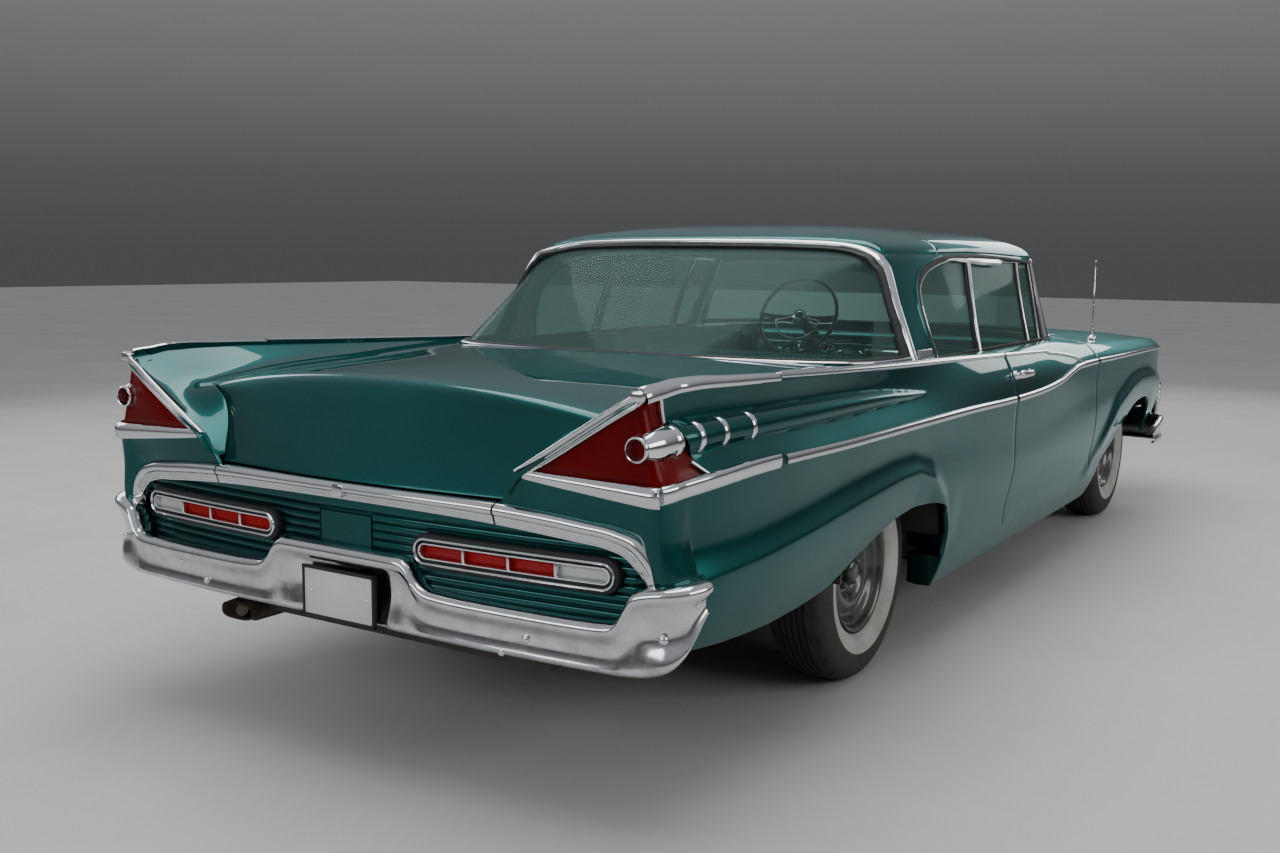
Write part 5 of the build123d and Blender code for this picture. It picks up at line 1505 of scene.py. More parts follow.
def pod_ring(inset, n_end=22, n_side=16):
    """Points of the pod's outline moved inwards, with their in-plane outward directions."""
    b = pb_ - inset
    c = pa_ - pb_
    pts, out = [], []
    for t in np.linspace(-math.pi / 2, math.pi / 2, n_end):
        pts.append((pcx + c + b * math.cos(t), pcz + b * math.sin(t)))
        out.append((math.cos(t), math.sin(t)))
    for t in np.linspace(1, -1, n_side + 2)[1:-1]:
        pts.append((pcx + c * t, pcz + b))
        out.append((0, 1))
    for t in np.linspace(math.pi / 2, 3 * math.pi / 2, n_end):
        pts.append((pcx - c + b * math.cos(t), pcz + b * math.sin(t)))
        out.append((math.cos(t), math.sin(t)))
    for t in np.linspace(-1, 1, n_side + 2)[1:-1]:
        pts.append((pcx + c * t, pcz - b))
        out.append((0, -1))
    return np.array(pts), np.array(out)


def pod_bar(shape, inset, profile, mat=0):
    p, o = pod_ring(inset)
    path = np.stack([p[:, 0], rear_s(p[:, 0]), p[:, 1]], 1)
    across = np.stack([o[:, 0], 0 * o[:, 0], o[:, 1]], 1)
    shape.bar(path, across, A(0, 1, 0), profile, closed=True, mat=mat)


pod = Shape()
# the first and third rings are black: dark trim that is also painted shade of the recess round the pod and between its
# bright rings
pod_bar(pod, 5.0, [(6, -16), (6, 5), (4, 8), (-3, 9), (-6, 7), (-6, -16)], 1)
pod_bar(pod, 12.0, [(4.0, -6), (4.2, 12), (2.6, 15.5), (0, 17), (-2.4, 15.5), (-3.4, 12), (-3.4, -6)], 0)
pod_bar(pod, 19.0, [(4, -14), (4, 4), (-4, 4), (-4, -14)], 1)
pod_bar(pod, 24.5, [(3.0, -12), (3.2, 9), (1.6, 12), (-1.2, 12), (-3.0, 8), (-3.0, -12)], 0)
# dividers and lenses; the outermost window is clear
x_in0, x_in1 = PX0 + 27.0, PX1 - 27.0
hb = pb_ - 27.0
c_half = pa_ - pb_
wins = [(x_in0 + (x_in1 - x_in0) * a, x_in0 + (x_in1 - x_in0) * b) for a, b in ((0, 0.246), (0.246, 0.492), (0.492, 0.738), (0.738, 1.0))]
for a in (0.246, 0.492, 0.738):
    x = x_in0 + (x_in1 - x_in0) * a
    pod.box((x - 4.0, rear_s(x) - 10, pcz - hb - 4), (x + 4.0, rear_s(x) + 9.5, pcz + hb + 4), 1.6, 0)


def pod_hh(x):
    e = np.maximum(np.abs(x - pcx) - c_half, 0)
    return np.sqrt(np.maximum(hb ** 2 - e ** 2, 1.0))


def pod_lens(x0, x1, flutes):
    nx, nz = 26, 41
    x = np.linspace(x0, x1, nx)
    t = np.linspace(-1, 1, nz)
    X_, T_ = np.meshgrid(x, t)
    hh = pod_hh(X_)
    Z_ = pcz + T_ * hh
    e = (X_ - 0.5 * (x0 + x1)) / (0.5 * (x1 - x0))
    bulge = 5.0 * (1 - e ** 4) * (1 - T_ ** 4) + (0.9 * np.abs(np.sin((Z_ - pcz) * math.pi / flutes)) if flutes else 0)
    return Shape().shell(np.stack([X_, rear_s(X_) - 6.0 + bulge, Z_], -1), 6, 0.8, ref=(pcx, 2000, 600))


reds = Shape()
for i in (0, 1, 2):
    reds.include(pod_lens(wins[i][0] + (2 if i == 0 else 3), wins[i][1] - 3, 5.2))
clear_lens = pod_lens(wins[3][0] + 3, wins[3][1] - 2, 5.2)
# black sheet behind the lenses and dividers: painted shade of the pod's depth
back_pts = Shape()
xb_ = np.linspace(PX0 + 8, PX1 - 8, 30)
Tb, Xb = np.meshgrid(np.linspace(-1, 1, 5), xb_, indexing="ij")
back_pts.shell(np.stack([Xb, rear_s(Xb) - 22, pcz + Tb * (pb_ - 10)], -1), 6, 1, ref=(pcx, 2000, 600))
for side_name, f in (("left", lambda s_: s_), ("right", lambda s_: s_.flipped())):
    p_o = f(pod).make("rear_pod_bezels_" + side_name, "body", [CHROME_SMOOTH, BLACK_TRIM_AND_SHADE], "bright_metal")
    f(reds).make("rear_pod_red_lenses_" + side_name, "body", RED_BRIGHT, "red_lens")
    f(clear_lens).make("rear_pod_clear_lens_" + side_name, "body", CLEAR_LENS, "lamp_glass")
    f(back_pts).make("rear_pod_back_" + side_name, "body", BLACK_TRIM_AND_SHADE)
    if side_name == "left":
        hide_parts("rear_lamp_pods")

# ---- rear bumper -------------------------------------------------------------------------------------------------------------------------
PLAN = [(0, 3020), (160, 3019.5), (320, 3018), (480, 3014), (620, 3008), (760, 3001), (870, 2992), (920, 2984), (962, 2970), (990, 2950), (1009, 2924), (1018, 2895), (1021, 2868)]
PLAN = np.array(PLAN, float)
PU = np.concatenate([[0], np.cumsum(np.linalg.norm(np.diff(PLAN, axis=0), axis=1))])
TOPZ = [(0, 579), (190, 579), (212, 577), (232, 566), (262, 527), (284, 512), (308, 506), (420, 501), (640, 500), (780, 502), (820, 506), (842, 520), (862, 556), (878, 580), (900, 590), (985, 602), (1080, 606), (1180, 601)]
BOTZ = [(0, 382), (120, 380), (500, 377), (800, 378), (880, 381), (930, 389), (985, 409), (1020, 436), (1050, 469), (1080, 506), (1120, 545), (1180, 566)]


FACE_N = 14


def bumper_row(u):
    p = spline(PU, PLAN, [u])[0]
    d = spline(PU, PLAN, [u + 2])[0] - spline(PU, PLAN, [u - 2])[0]
    d = d / np.linalg.norm(d)
    n_out = A(-d[1], d[0])
    if u < 4:
        n_out = A(0, 1)
    zt = float(spline([a for a, _ in TOPZ], [b for _, b in TOPZ], [u], tight=True)[0])
    zb = float(spline([a for a, _ in BOTZ], [b for _, b in BOTZ], [u], tight=True)[0])
    raised = float(smoothstep(230, 200, u) + smoothstep(845, 880, u))
    end = float(smoothstep(1040, 1140, u))
    roll = 19.0 - 5.0 * end
    H_ = zt - zb
    k_ = min(1.0, H_ / 112.0)
    lowr = zt - 2.1 * roll * k_
    # outward offset, height: the top roll, the concave face under it, then the lower skirt
    c1, c2, c3 = lowr - 0.18 * (lowr - zb), lowr - 0.45 * (lowr - zb), lowr - 0.75 * (lowr - zb)
    dip = 15.0 + 7.0 * raised
    face = np.array([(-11.5, lowr - 3 * k_), (-13.0 - 0.35 * dip, c1), (-13 - 0.55 * dip, c2), (-11 - 0.30 * dip, c3), (-14, zb + 16 * k_), (-20, zb + 5 * k_)])
    face = spline(np.arange(6.0), face, np.linspace(0, 5, FACE_N), tight=True)
    pts = [(-62, zt - 14 * k_), (-52, zt - 4 * k_), (-38, zt), (-24, zt - 0.5), (-11, zt - 4.5 * k_), (-3.5, zt - 11 * k_), (0, zt - 20 * k_), (-2, zt - 29 * k_), (-7, zt - 36 * k_)]
    pts += [tuple(q) for q in face] + [(-32, zb), (-50, zb + k_), (-62, zb + 6 * k_)]
    if end > 0:
        pts = [(a * (1 - 0.35 * end), z) for a, z in pts]
    return np.array([(p[0] + n_out[0] * a, p[1] + n_out[1] * a, z) for a, z in pts])


us = np.concatenate([np.linspace(0, 190, 14)[:-1], np.linspace(190, 320, 22)[:-1], np.linspace(320, 810, 26)[:-1], np.linspace(810, 905, 18)[:-1], np.linspace(905, PU[-1], 30)])
b_half = np.array([bumper_row(u) for u in us])
# the plate's recess at the middle
for i, u in enumerate(us):
    b_half[i, 10:10 + FACE_N, 1] -= 9.0 * float(smoothstep(168, 150, u))
# dimples with a bolt near each end
for i, u in enumerate(us):
    for j in range(9, 9 + FACE_N):
        q = b_half[i, j]
        d2 = ((q[0] - 938) / 50.0) ** 2 + ((q[2] - 482) / 37.0) ** 2
        b_half[i, j] -= A(3.0, 7.5, 0) * math.exp(-d2 ** 2)
b_all = np.concatenate([b_half[::-1] * A(-1, 1, 1), b_half[1:]])
bumper = Shape()
bumper.shell(b_all, 6, 1.0, ref=(0, 2700, 480))
bolts = Shape()
for (bx, bz) in ((637, 452), (530, 410), (-589, 430), (-520, 388)):
    s_face = float(np.interp(abs(bx), PLAN[:, 0], PLAN[:, 1])) - 21
    bolts.turned(A(bx, s_face, bz), (0, 1, 0), [(-4, 9.5), (3, 10.5), (6, 9.5), (8.5, 6.5), (9.6, 2.5)], seg=28)
for sx in (-1, 1):
    bolts.turned(A(941 * sx, 2946, 478), (0.40 * sx, 1, 0), [(-6, 10), (6, 11), (9, 9.5), (11.5, 6.5), (12.6, 2.5)], seg=28)
bumper_o = bumper.make("rear_bumper_bar", "body", CHROME, "bright_metal", angle=50)
bolts.make("rear_bumper_bolts", "body", CHROME_SMOOTH, "bright_metal")
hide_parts("rear_bumper")

# ---- number plate ------------------------------------------------------------------------------------------------------------------------
PLATE_WHITE = plain_material("plate_white", (0.62, 0.62, 0.60), (0.72, 0.72, 0.70), (0.32, 0.5), 7.0, 0.08, 0.0004, dirt=0.25, dirt_range=(0.2, 0.5))
plate = Shape()
plate.box((-119, 3008.5, 388), (119, 3010.5, 509), 0.9)
for px_ in (-98, 98):
    plate.turned(A(px_, 3009.5, 449), (0, 1, 0), [(0, 5.0), (2.0, 5.0), (3.4, 3.4), (3.8, 1.2)], seg=20, mat=1)
# raised rim of the plate
for lo, hi in (((-119, 3009.5, 388), (119, 3012, 392)), ((-119, 3009.5, 505), (119, 3012, 509)), ((-119, 3009.5, 388), (-115, 3012, 509)), ((115, 3009.5, 388), (119, 3012, 509))):
    plate.box(lo, hi, 0.9)
frame_p = Shape()
frame_p.box((-127, 3000, 380), (127, 3008.5, 516), 2.5)
for lo, hi in (((-128, 3006, 379), (128, 3014, 389)), ((-128, 3006, 508), (128, 3014, 517)), ((-128, 3006, 379), (-119, 3014, 517)), ((119, 3006, 379), (128, 3014, 517))):
    frame_p.box(lo, hi, 2.2)
frame_p.box((-60, 2990, 372), (-30, 3004, 390), 2)
frame_p.box((30, 2990, 372), (60, 3004, 390), 2)
plate_o = plate.make("number_plate_blank", "body", [PLATE_WHITE, CHROME_SMOOTH], "plate")
frame_p.make("number_plate_frame", "body", BLACK_TRIM_AND_SHADE)
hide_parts("number_plate")


# ---- wheels and tyres -------------------------------------------------------------------------------------------------
TYRE_RUBBER = plain_material("tyre_rubber", (0.012, 0.012, 0.0125), (0.024, 0.0235, 0.023), (0.55, 0.85), 16.0, 0.35, 0.0007, dirt=0.45, dirt_range=(0.02, 0.9), dirt_color=(0.05, 0.046, 0.04))
WHITEWALL = plain_material("whitewall", (0.36, 0.36, 0.35), (0.52, 0.52, 0.50), (0.5, 0.75), 8.0, 0.2, 0.0005, dirt=0.5, dirt_range=(0.1, 0.9), dirt_color=(0.16, 0.15, 0.13))
WHEEL_BLACK = plain_material("wheel_black", (0.006, 0.006, 0.0065), (0.013, 0.013, 0.0135), (0.16, 0.4), 10.0, 0.12, 0.0005, coat=0.6, dirt=0.35, dirt_range=(0.1, 0.8))

side_r = [336, 328, 316, 304, 290, 276, 264, 258.5, 257, 255.5, 240, 226, 212, 199.5, 198, 196.5, 190, 181]
side_xx = spline([-338, -328, -312, -290, -262, -240, -215, -198, -180], [832, 844, 855, 861.5, 863.5, 861, 853, 840, 829], [-r for r in side_r])
outer = [(float(x) - (1.6 if r in (257, 198) else 0), r) for r, x in zip(side_r, side_xx)]
inner = [(1524.0 - x, r) for x, r in outer if r not in (258.5, 257, 255.5, 199.5, 198, 196.5)][::-1]
tread = []
for x in np.linspace(702, 822, 49):
    r = 346.0 - 3.6 * ((x - 762) / 62.0) ** 2 - 3.0 * max(0, abs(x - 762) - 50) / 10
    if any(abs(x - c) < 3.1 for c in (721.5, 741.5, 762, 782.5, 802.5)):
        r -= 7.0
    tread.append((float(x), r))
prof = inner + tread + outer
SEG = 200
ang = np.arange(SEG) * 2 * math.pi / SEG
pr = np.array(prof)
R_ = np.repeat(pr[:, 1:2], SEG, 1)
for i, (x, r) in enumerate(prof):
    a = abs(x - 762)
    if 46 < a < 76 and r > 326:
        R_[i, (np.arange(SEG) % 8) < 2] -= 5.0
    elif a < 40 and r > 342 and i > len(inner):
        ph = (np.arange(SEG) + int(a // 14) * 3) % 8
        R_[i, ph == 0] -= 2.6
tyre = Shape()
g = np.stack([np.repeat(pr[:, 0:1], SEG, 1), R_ * np.cos(ang), R_ * np.sin(ang)], -1)
tyre.grid(g, 0, wrap_r=True, wrap_c=True)
n_p = len(prof)
mats_t = []
for i in range(n_p):
    a, b = prof[i], prof[(i + 1) % n_p]
    white = a[0] > 800 and b[0] > 800 and 198.5 < 0.5 * (a[1] + b[1]) < 256.5
    mats_t += [1 if white else 0] * SEG
tyre.m = mats_t

rim = Shape()
rim.turned((0, 0, 0), (1, 0, 0), [
    (664, 3), (664, 126), (666, 129), (736, 129), (738, 148), (704, 150), (693, 166), (680, 174), (668, 184), (664, 189), (669, 190.5), (678, 184), (694, 179),
    (710, 163), (724, 158), (796, 158), (812, 168), (822, 176), (829, 179), (834, 183), (836.5, 189), (840.5, 190.2), (842, 187.5), (840, 182), (833, 176.5), (825, 173),
    (821.5, 170), (820.5, 166), (814, 159), (806, 153), (801.5, 148), (800, 143), (801, 137), (806, 129), (811, 120), (814, 111), (813.5, 103), (810, 95), (803, 87), (795, 80.5),
    (789.5, 74), (788, 68), (788, 44), (789, 42), (793, 41), (806, 39.5), (815, 37), (821, 31), (824.5, 22), (826, 12), (826.4, 2)], seg=120)
for i in range(5):
    a = math.pi * 2 * i / 5 + 0.3
    c = A(0, 57.5 * math.cos(a), 57.5 * math.sin(a))
    rim.turned(c, (1, 0, 0), [(784, 14), (789, 14), (790.5, 12.4)], seg=24, mat=0)
    rim.turned(c, (1, 0, 0), [(788, 10.6), (801, 10.6), (805, 9.0), (806.5, 6.0)], seg=6, mat=1)
    rim.turned(c, (1, 0, 0), [(804, 5.4), (811, 5.2), (812.5, 3.5)], seg=14, mat=1)
# valve
va = 2.2
vc = A(0, 158 * math.cos(va), 158 * math.sin(va))
rim.turned(vc + A(800, 0, 0), unit(A(1, -0.32 * math.cos(va), -0.32 * math.sin(va))), [(-4, 5.5), (8, 5.2), (16, 4.4), (26, 3.6), (27, 3.6), (27.5, 4.2), (36, 4.2), (37.5, 2.5)], seg=16, mat=1)


def to_station(shape, s0):
    o = Shape()
    o.v = [np.stack([v[:, 0], v[:, 1] + s0, v[:, 2] + 346.0], 1) for v in shape.v]
    o.f, o.m, o.n = list(shape.f), list(shape.m), shape.n
    return o


NUT_STEEL = plain_material("nut_steel", (0.16, 0.155, 0.15), (0.34, 0.33, 0.32), (0.25, 0.55), 20.0, 0.2, 0.0004, metallic=0.9, dirt=0.4)
for end, s0 in (("front", -1600.0), ("rear", 1600.0)):
    for side_name, f in (("left", lambda q: q), ("right", lambda q: q.flipped())):
        b_name = "%s_%s_wheel" % (end, side_name)
        w_o = f(to_station(rim, s0)).make(b_name + "_rim", b_name, [WHEEL_BLACK, NUT_STEEL], "wheel_paint", angle=32)
        t_o = f(to_station(tyre, s0)).make(b_name + "_whitewall_tyre", b_name, [TYRE_RUBBER, WHITEWALL], "tyre", angle=30)
        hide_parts("%s_%s_wheel" % (end, side_name))
        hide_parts("%s_%s_tyre" % (end, side_name))


# ---- glazing -----------------------------------------------------------------------------------------------------------------


def pane(rows_, inset=9.0, thick=5.0):
    """A curved pane following the glasshouse, a little inside it. rows_ are (w, z) lists."""
    g = np.array([house(w, v_of(w, z)) - house_normal(w, v_of(w, z)) * inset for w, z in rows_])
    return g


def joined(g):
    """Both halves of a pane that crosses the centre line."""
    return np.concatenate([g[::-1] * A(-1, 1, 1), g[1:]]) if abs(g[0, 0, 0]) < 1.0 else np.concatenate([g, g[::-1][1:] * A(-1, 1, 1)])


GREF = (0, 350, 900)
front_rows = [(np.full(16, w), np.linspace(1000, float(np.interp(w, EDGE[:, 0], EDGE[:, 1])) - 3, 16)) for w in np.linspace(0, 3.74, 40)]
g_o = Shape().shell(joined(pane(front_rows)), 5.0, 0.8, ref=GREF).make("windscreen_glass", "body", GLASS, "clear_glass")
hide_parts("windscreen")
# edges of the glass seen inside the mouldings: w, z of the rear window; z, w of the side windows
REAR_IN = np.array([(7.03, 990), (7.067, 1000), (7.099, 1055), (7.188, 1116), (7.274, 1188), (7.386, 1259), (7.527, 1296), (7.70, 1315), (7.90, 1329), (8.16, 1342), (8.45, 1350), (8.85, 1355), (9.3, 1358), (10, 1359)], float)
DIVIDER = np.array([(980, 4.999), (1091, 5.098), (1208, 5.186), (1316, 5.245)], float)
VENT = np.array([(976, 4.289), (1093, 4.330), (1197, 4.356), (1304, 4.369)], float)
w_dense = np.concatenate([np.linspace(7.05, 7.3, 22), np.linspace(7.33, 8.2, 22), np.linspace(8.3, 10, 18)])
rear_rows = [(np.full(22, w), np.linspace(1001, max(float(np.interp(w, REAR_IN[:, 0], REAR_IN[:, 1])) + 6, 1010), 22)) for w in w_dense]
g_o = Shape().shell(joined(pane(rear_rows)), 5.0, 0.8, ref=GREF).make("rear_window_glass", "body", GLASS, "clear_glass")
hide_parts("rear_window")
# rear edge of the quarter window, z and w
QREAR = np.concatenate([PILLAR_F, TOP_EDGE[::-1][1:9, ::-1]])
for side_name, f in (("left", lambda q: q), ("right", lambda q: q.flipped())):
    body = side_name + "_door"
    rows_ = [(np.linspace(np.interp(z, VENT[:, 0], VENT[:, 1]) + 0.005, np.interp(z, DIVIDER[:, 0], DIVIDER[:, 1]) - 0.03, 18), np.full(18, z)) for z in np.linspace(987, 1314, 14)]
    o = f(Shape().shell(pane(rows_), 5.0, 0.8, ref=GREF)).make("door_glass_" + side_name, body, GLASS, "clear_glass")
    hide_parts(side_name + "_door_glass")
    rows_ = [(np.linspace(4.05, np.interp(z, VENT[:, 0], VENT[:, 1]) - 0.02, 8), np.full(8, z)) for z in np.linspace(990, 1308, 14)]
    f(Shape().shell(pane(rows_), 5.0, 0.8, ref=GREF)).make("vent_glass_" + side_name, body, GLASS, "clear_glass")
    rows_ = [(np.linspace(np.interp(z, DIVIDER[:, 0], DIVIDER[:, 1]) + 0.006, np.interp(z, QREAR[:, 0], QREAR[:, 1]) - 0.012, 24), np.full(24, z))
             for z in np.concatenate([np.linspace(988, 1280, 20), np.linspace(1286, 1322, 8)])]
    o = f(Shape().shell(pane(rows_), 5.0, 0.8, ref=GREF)).make("quarter_glass_" + side_name, "body", GLASS, "clear_glass")
    if side_name == "left":
        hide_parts("quarter_windows")

# ---- frames, seals and reveals ---------------------------------------------------------------------------------------------------


def on_house(ws_, zs_, n, centre=None, off=0.0, out=0.0):
    """A path on the glasshouse through (w, z) pairs, moved towards a centre by off and outwards by out."""
    ws_, zs_ = np.asarray(ws_, float), np.asarray(zs_, float)
    P3 = house(ws_, v_of(ws_, zs_))
    L0 = np.concatenate([[0], np.cumsum(np.linalg.norm(np.diff(P3, axis=0), axis=1))])
    q = np.linspace(0, L0[-1], n)
    wz = spline(L0, np.stack([ws_, zs_], 1), q, tight=True)
    path = house(wz[:, 0], v_of(wz[:, 0], wz[:, 1]))
    N3 = house_normal(wz[:, 0], v_of(wz[:, 0], wz[:, 1]))
    for _ in range(2):
        N3[1:-1] = unit(N3[:-2] + N3[1:-1] * 2 + N3[2:])
    if centre is not None:
        T = unit(np.gradient(path, axis=0))
        side = np.cross(N3, T)
        c = np.asarray(centre, float)
        side = np.where(np.sum(side * (c - path), -1, keepdims=True) < 0, -side, side)
        path = path + side * np.broadcast_to(np.asarray(off, float), (n,))[:, None]
    return path + N3 * out, N3


def edge_of(table, n=70):
    q = along(table, n)
    return q[:, 0], q[:, 1]


chrome_f, seals_and_shade = Shape(), Shape()
# rear window: wide bright moulding, a black seal inside it, and the reveal along its foot
rear_line = np.concatenate([PILLAR_R[:-1, ::-1], REAR_EDGE])
rw_w, rw_z = edge_of(rear_line, 120)
rear_c = house(9.0, 0.55)
share_r = np.linspace(0, 1, 120)
cw = np.interp(share_r, [0, 0.10, 0.22, 0.30, 0.38, 0.50, 1.0], [44, 36, 34, 37, 36, 27, 24])
sw_ = np.interp(share_r, [0, 0.10, 0.22, 0.30, 0.38, 0.50, 1.0], [52, 34, 26, 24, 20, 17, 16])
path, nn = on_house(rw_w, rw_z, 120, house(8.7, 0.5), cw * 0.5 - 3.0, 1.0)
moulding(chrome_f, path, nn, cw, 9.0, n=9, flat=2.4, sink=10)
path, nn = on_house(rw_w, rw_z, 120, house(8.7, 0.5), cw - 4.0 + sw_ * 0.5, -5.0)
moulding(seals_and_shade, path, nn, sw_, 6.0, n=7, flat=3.0, sink=8)
foot_w = np.linspace(6.62, 10.0, 80)
path, nn = on_house(foot_w, np.full(80, 994.0), 90)
moulding(chrome_f, path, nn, 13.0, 8.0, sink=8)
path, nn = on_house(np.linspace(6.8, 10.0, 80), np.full(80, 1005.0), 90, out=-4)
moulding(seals_and_shade, path, nn, 12.0, 4.0, n=7, sink=7)
# windscreen: bright header and foot
hw, hz = edge_of(TOP_EDGE[:5], 50)
path, nn = on_house(hw, hz - 5.0, 70)
moulding(chrome_f, path, nn, 17.0, 7.5, sink=8)
path, nn = on_house(hw, hz - 18.0, 70, out=-4)
moulding(seals_and_shade, path, nn, 12.0, 4.0, n=7, sink=6)
path, nn = on_house(np.linspace(0, 3.78, 50), np.full(50, 994.0), 70)
moulding(chrome_f, path, nn, 13.0, 8.0, sink=8)
path, nn = on_house(np.linspace(0, 3.78, 50), np.full(50, 1004.0), 70, out=-4)
moulding(seals_and_shade, path, nn, 10.0, 4.0, n=7, sink=6)
# windscreen pillars
rows = []
for w in np.linspace(3.765, 4.005, 9):
    v = v_of(np.full(24, w), np.linspace(986, float(np.interp(w, EDGE[:, 0], EDGE[:, 1])) - 2, 24))
    e = (w - 3.885) / 0.12
    rows.append(house(np.full(24, w), v) + house_normal(np.full(24, w), v) * (3.0 - 6.0 * e * e + 2.4 * math.cos(e * 7.0)))
chrome_f.shell(np.array(rows), 30, 2.4, ref=(0, 350, 900))
for w_s in (3.755, 4.018):
    path, nn = on_house([w_s] * 12, np.linspace(988, 1311, 12), 24, out=-2)
    moulding(seals_and_shade, path, nn, 11.0, 5.0, n=7, sink=10)
# over the side windows: a black rubber strip under the roof's edge, the seal there and painted shade of the channel in
# one, round the quarter window to its foot, with a bright frame inside it
side_line = np.concatenate([TOP_EDGE[4:], PILLAR_F[::-1][1:, ::-1]])
sw, sz = edge_of(side_line, 150)
qc = house(5.55, 0.45)
path, nn = on_house(sw, sz, 170, qc, 6.0, -2.0)
moulding(seals_and_shade, path, nn, np.interp(np.linspace(0, 1, 170), [0, 0.3, 0.55, 0.75, 1], [13, 17, 22, 24, 20]), 6.0, n=7, flat=3.0, sink=10)
bright_line = np.concatenate([TOP_EDGE[7:], PILLAR_F[::-1][1:, ::-1]])
bright_line = np.concatenate([[(5.262, 1335.0)], bright_line[bright_line[:, 1] < 1336]])
bw_w, bw_z = edge_of(bright_line, 110)
bw = np.interp(np.linspace(0, 1, 110), [0, 0.10, 0.22, 0.36, 0.46, 0.54, 1.0], [13, 17, 25, 23, 12, 8, 7])
path, nn = on_house(bw_w, bw_z, 110, qc, 15.0 + bw * 0.5, -3.5)
moulding(chrome_f, path, nn, bw, 6.0, sink=9)
# divider in front of the quarter window
dz_ = np.linspace(984, 1318, 14)
dw_ = np.interp(dz_, DIVIDER[:, 0], DIVIDER[:, 1])
path, nn = on_house(dw_, dz_, 26, out=-2)
moulding(chrome_f, path, nn, np.linspace(24, 19, 26), 9.0, n=11, flat=2.8, sink=12)
path, nn = on_house(dw_ + 0.042, dz_, 26, out=-5)
moulding(seals_and_shade, path, nn, 8.0, 4.0, n=7, sink=7)
# belt seal of the quarter window
path, nn = on_house(np.linspace(5.01, 5.93, 40), np.full(40, 988.0), 60, out=-3)
moulding(seals_and_shade, path, nn, 9.0, 4.0, n=7, sink=8)
# plate at the foot of the rear pillar, plain
rows = []
for w in np.linspace(6.0, 6.50, 26):
    z0_ = np.linspace(989, 1017, 6)
    ww = np.full(6, w) + 0.03 * (z0_ - 989) / 28
    rows.append(house(ww, v_of(ww, z0_)) + house_normal(ww, v_of(ww, z0_)) * 3.0)
pillar_plate = Shape().shell(np.array(rows), 3.5, 1.4, ref=(0, 350, 900))
chrome_f.include(pillar_plate)
# rounded flange in body colour round the quarter window
lip = Shape()
lp_w, lp_z = edge_of(np.concatenate([TOP_EDGE[9:], PILLAR_F[::-1][1:, ::-1]]), 90)
lip_w = np.interp(np.linspace(0, 1, 90), [0, 0.2, 0.45, 0.7, 1.0], [4, 14, 26, 28, 22])
path, nn = on_house(lp_w, lp_z, 90, qc, -lip_w * 0.5 + 2.0, -2.5)
moulding(lip, path, nn, lip_w, np.interp(np.linspace(0, 1, 90), [0, 0.25, 0.5, 1.0], [2.0, 4.5, 7.5, 6.0]), n=13, flat=1.7, sink=4)
lip.both()
lip.make("quarter_window_flanges", "body", PAINT, "body_paint")
chrome_f.both()
seals_and_shade.both()
chrome_f.make("window_mouldings", "body", CHROME_SMOOTH, "bright_metal")
seals_and_shade.make("window_seals_and_shade", "body", RUBBER)

# on the doors: bright edge over the glass, vent divider, seals along the belt, handle
d_ch, d_se = Shape(), Shape()
tw = np.linspace(4.05, 5.21, 50)
tz = np.minimum(np.interp(tw, [4.05, 4.35, 4.7, 5.21], [1306, 1312, 1315, 1315]), 1316)
path, nn = on_house(tw, tz, 60, out=-8.0)
moulding(d_ch, path, nn, 12.0, 5.5, sink=7)
vz_ = np.linspace(985, 1311, 12)
vw_ = np.interp(vz_, VENT[:, 0], VENT[:, 1])
gz_ = np.linspace(986, 1313, 12)
for ww_, zz_, wd, sh_, out_ in ((vw_, vz_, 14.0, d_ch, -6.0), (vw_ + 0.021, vz_, 8.0, d_se, -7.5), (vw_ - 0.021, vz_, 8.0, d_se, -7.5),
                               (np.linspace(4.075, 4.055, 12), vz_, 24.0, d_ch, -7.0), (np.linspace(4.105, 4.08, 12), vz_, 8.0, d_se, -8.0),
                               (np.interp(gz_, DIVIDER[:, 0], DIVIDER[:, 1]) - 0.030, gz_, 8.0, d_ch, -8.0)):
    path, nn = on_house(ww_, zz_, 24, out=out_)
    moulding(sh_, path, nn, wd, 5.0, sink=7)
path, nn = on_house(np.linspace(4.03, 4.972, 40), np.full(40, 987.0), 60, out=-2)
moulding(d_se, path, nn, 12.0, 4.0, n=7, sink=9)
# handle: a pull standing off the door, with a push button at its rear
hz_ = 896.0
hs = np.linspace(556, 352, 40)
lift = 30.0 * np.sin(math.pi * np.clip((556 - hs) / 204.0, 0, 1)) ** 0.55
hp = np.array([(side_x(s, hz_) + l + 0.5, s, hz_ + 2.0 * math.sin((556 - s) / 204.0 * math.pi)) for s, l in zip(hs, lift)])
tang = unit(np.gradient(hp, axis=0))
upz = A(0, 0, 1)
acr = unit(np.cross(tang, np.broadcast_to(upz, tang.shape)))
acr = np.where(acr[:, :1] > 0, acr, -acr)
half_w = np.interp(hs, [352, 372, 440, 520, 556], [6.0, 9.0, 11.0, 13.5, 12.0])
prof_h = ellipse(1.0, 1.0, 16, 2.4)
d_ch.bar(hp, acr, upz, prof_h, scale=np.stack([np.full(40, 7.0), half_w], 1))
nb = side_normal(546, hz_)
d_ch.turned((side_x(546, hz_), 546, hz_), nb, [(-4, 17), (2.5, 17), (5.5, 15), (7, 11)], seg=36)
d_ch.turned((side_x(546, hz_), 546, hz_) + nb * 24, nb, [(-2, 10), (9, 10), (11.5, 8.5), (12.6, 5)], seg=30)
d_ch.turned((side_x(360, hz_), 360, hz_), side_normal(360, hz_), [(-4, 12), (2.5, 12), (5, 9)], seg=30)
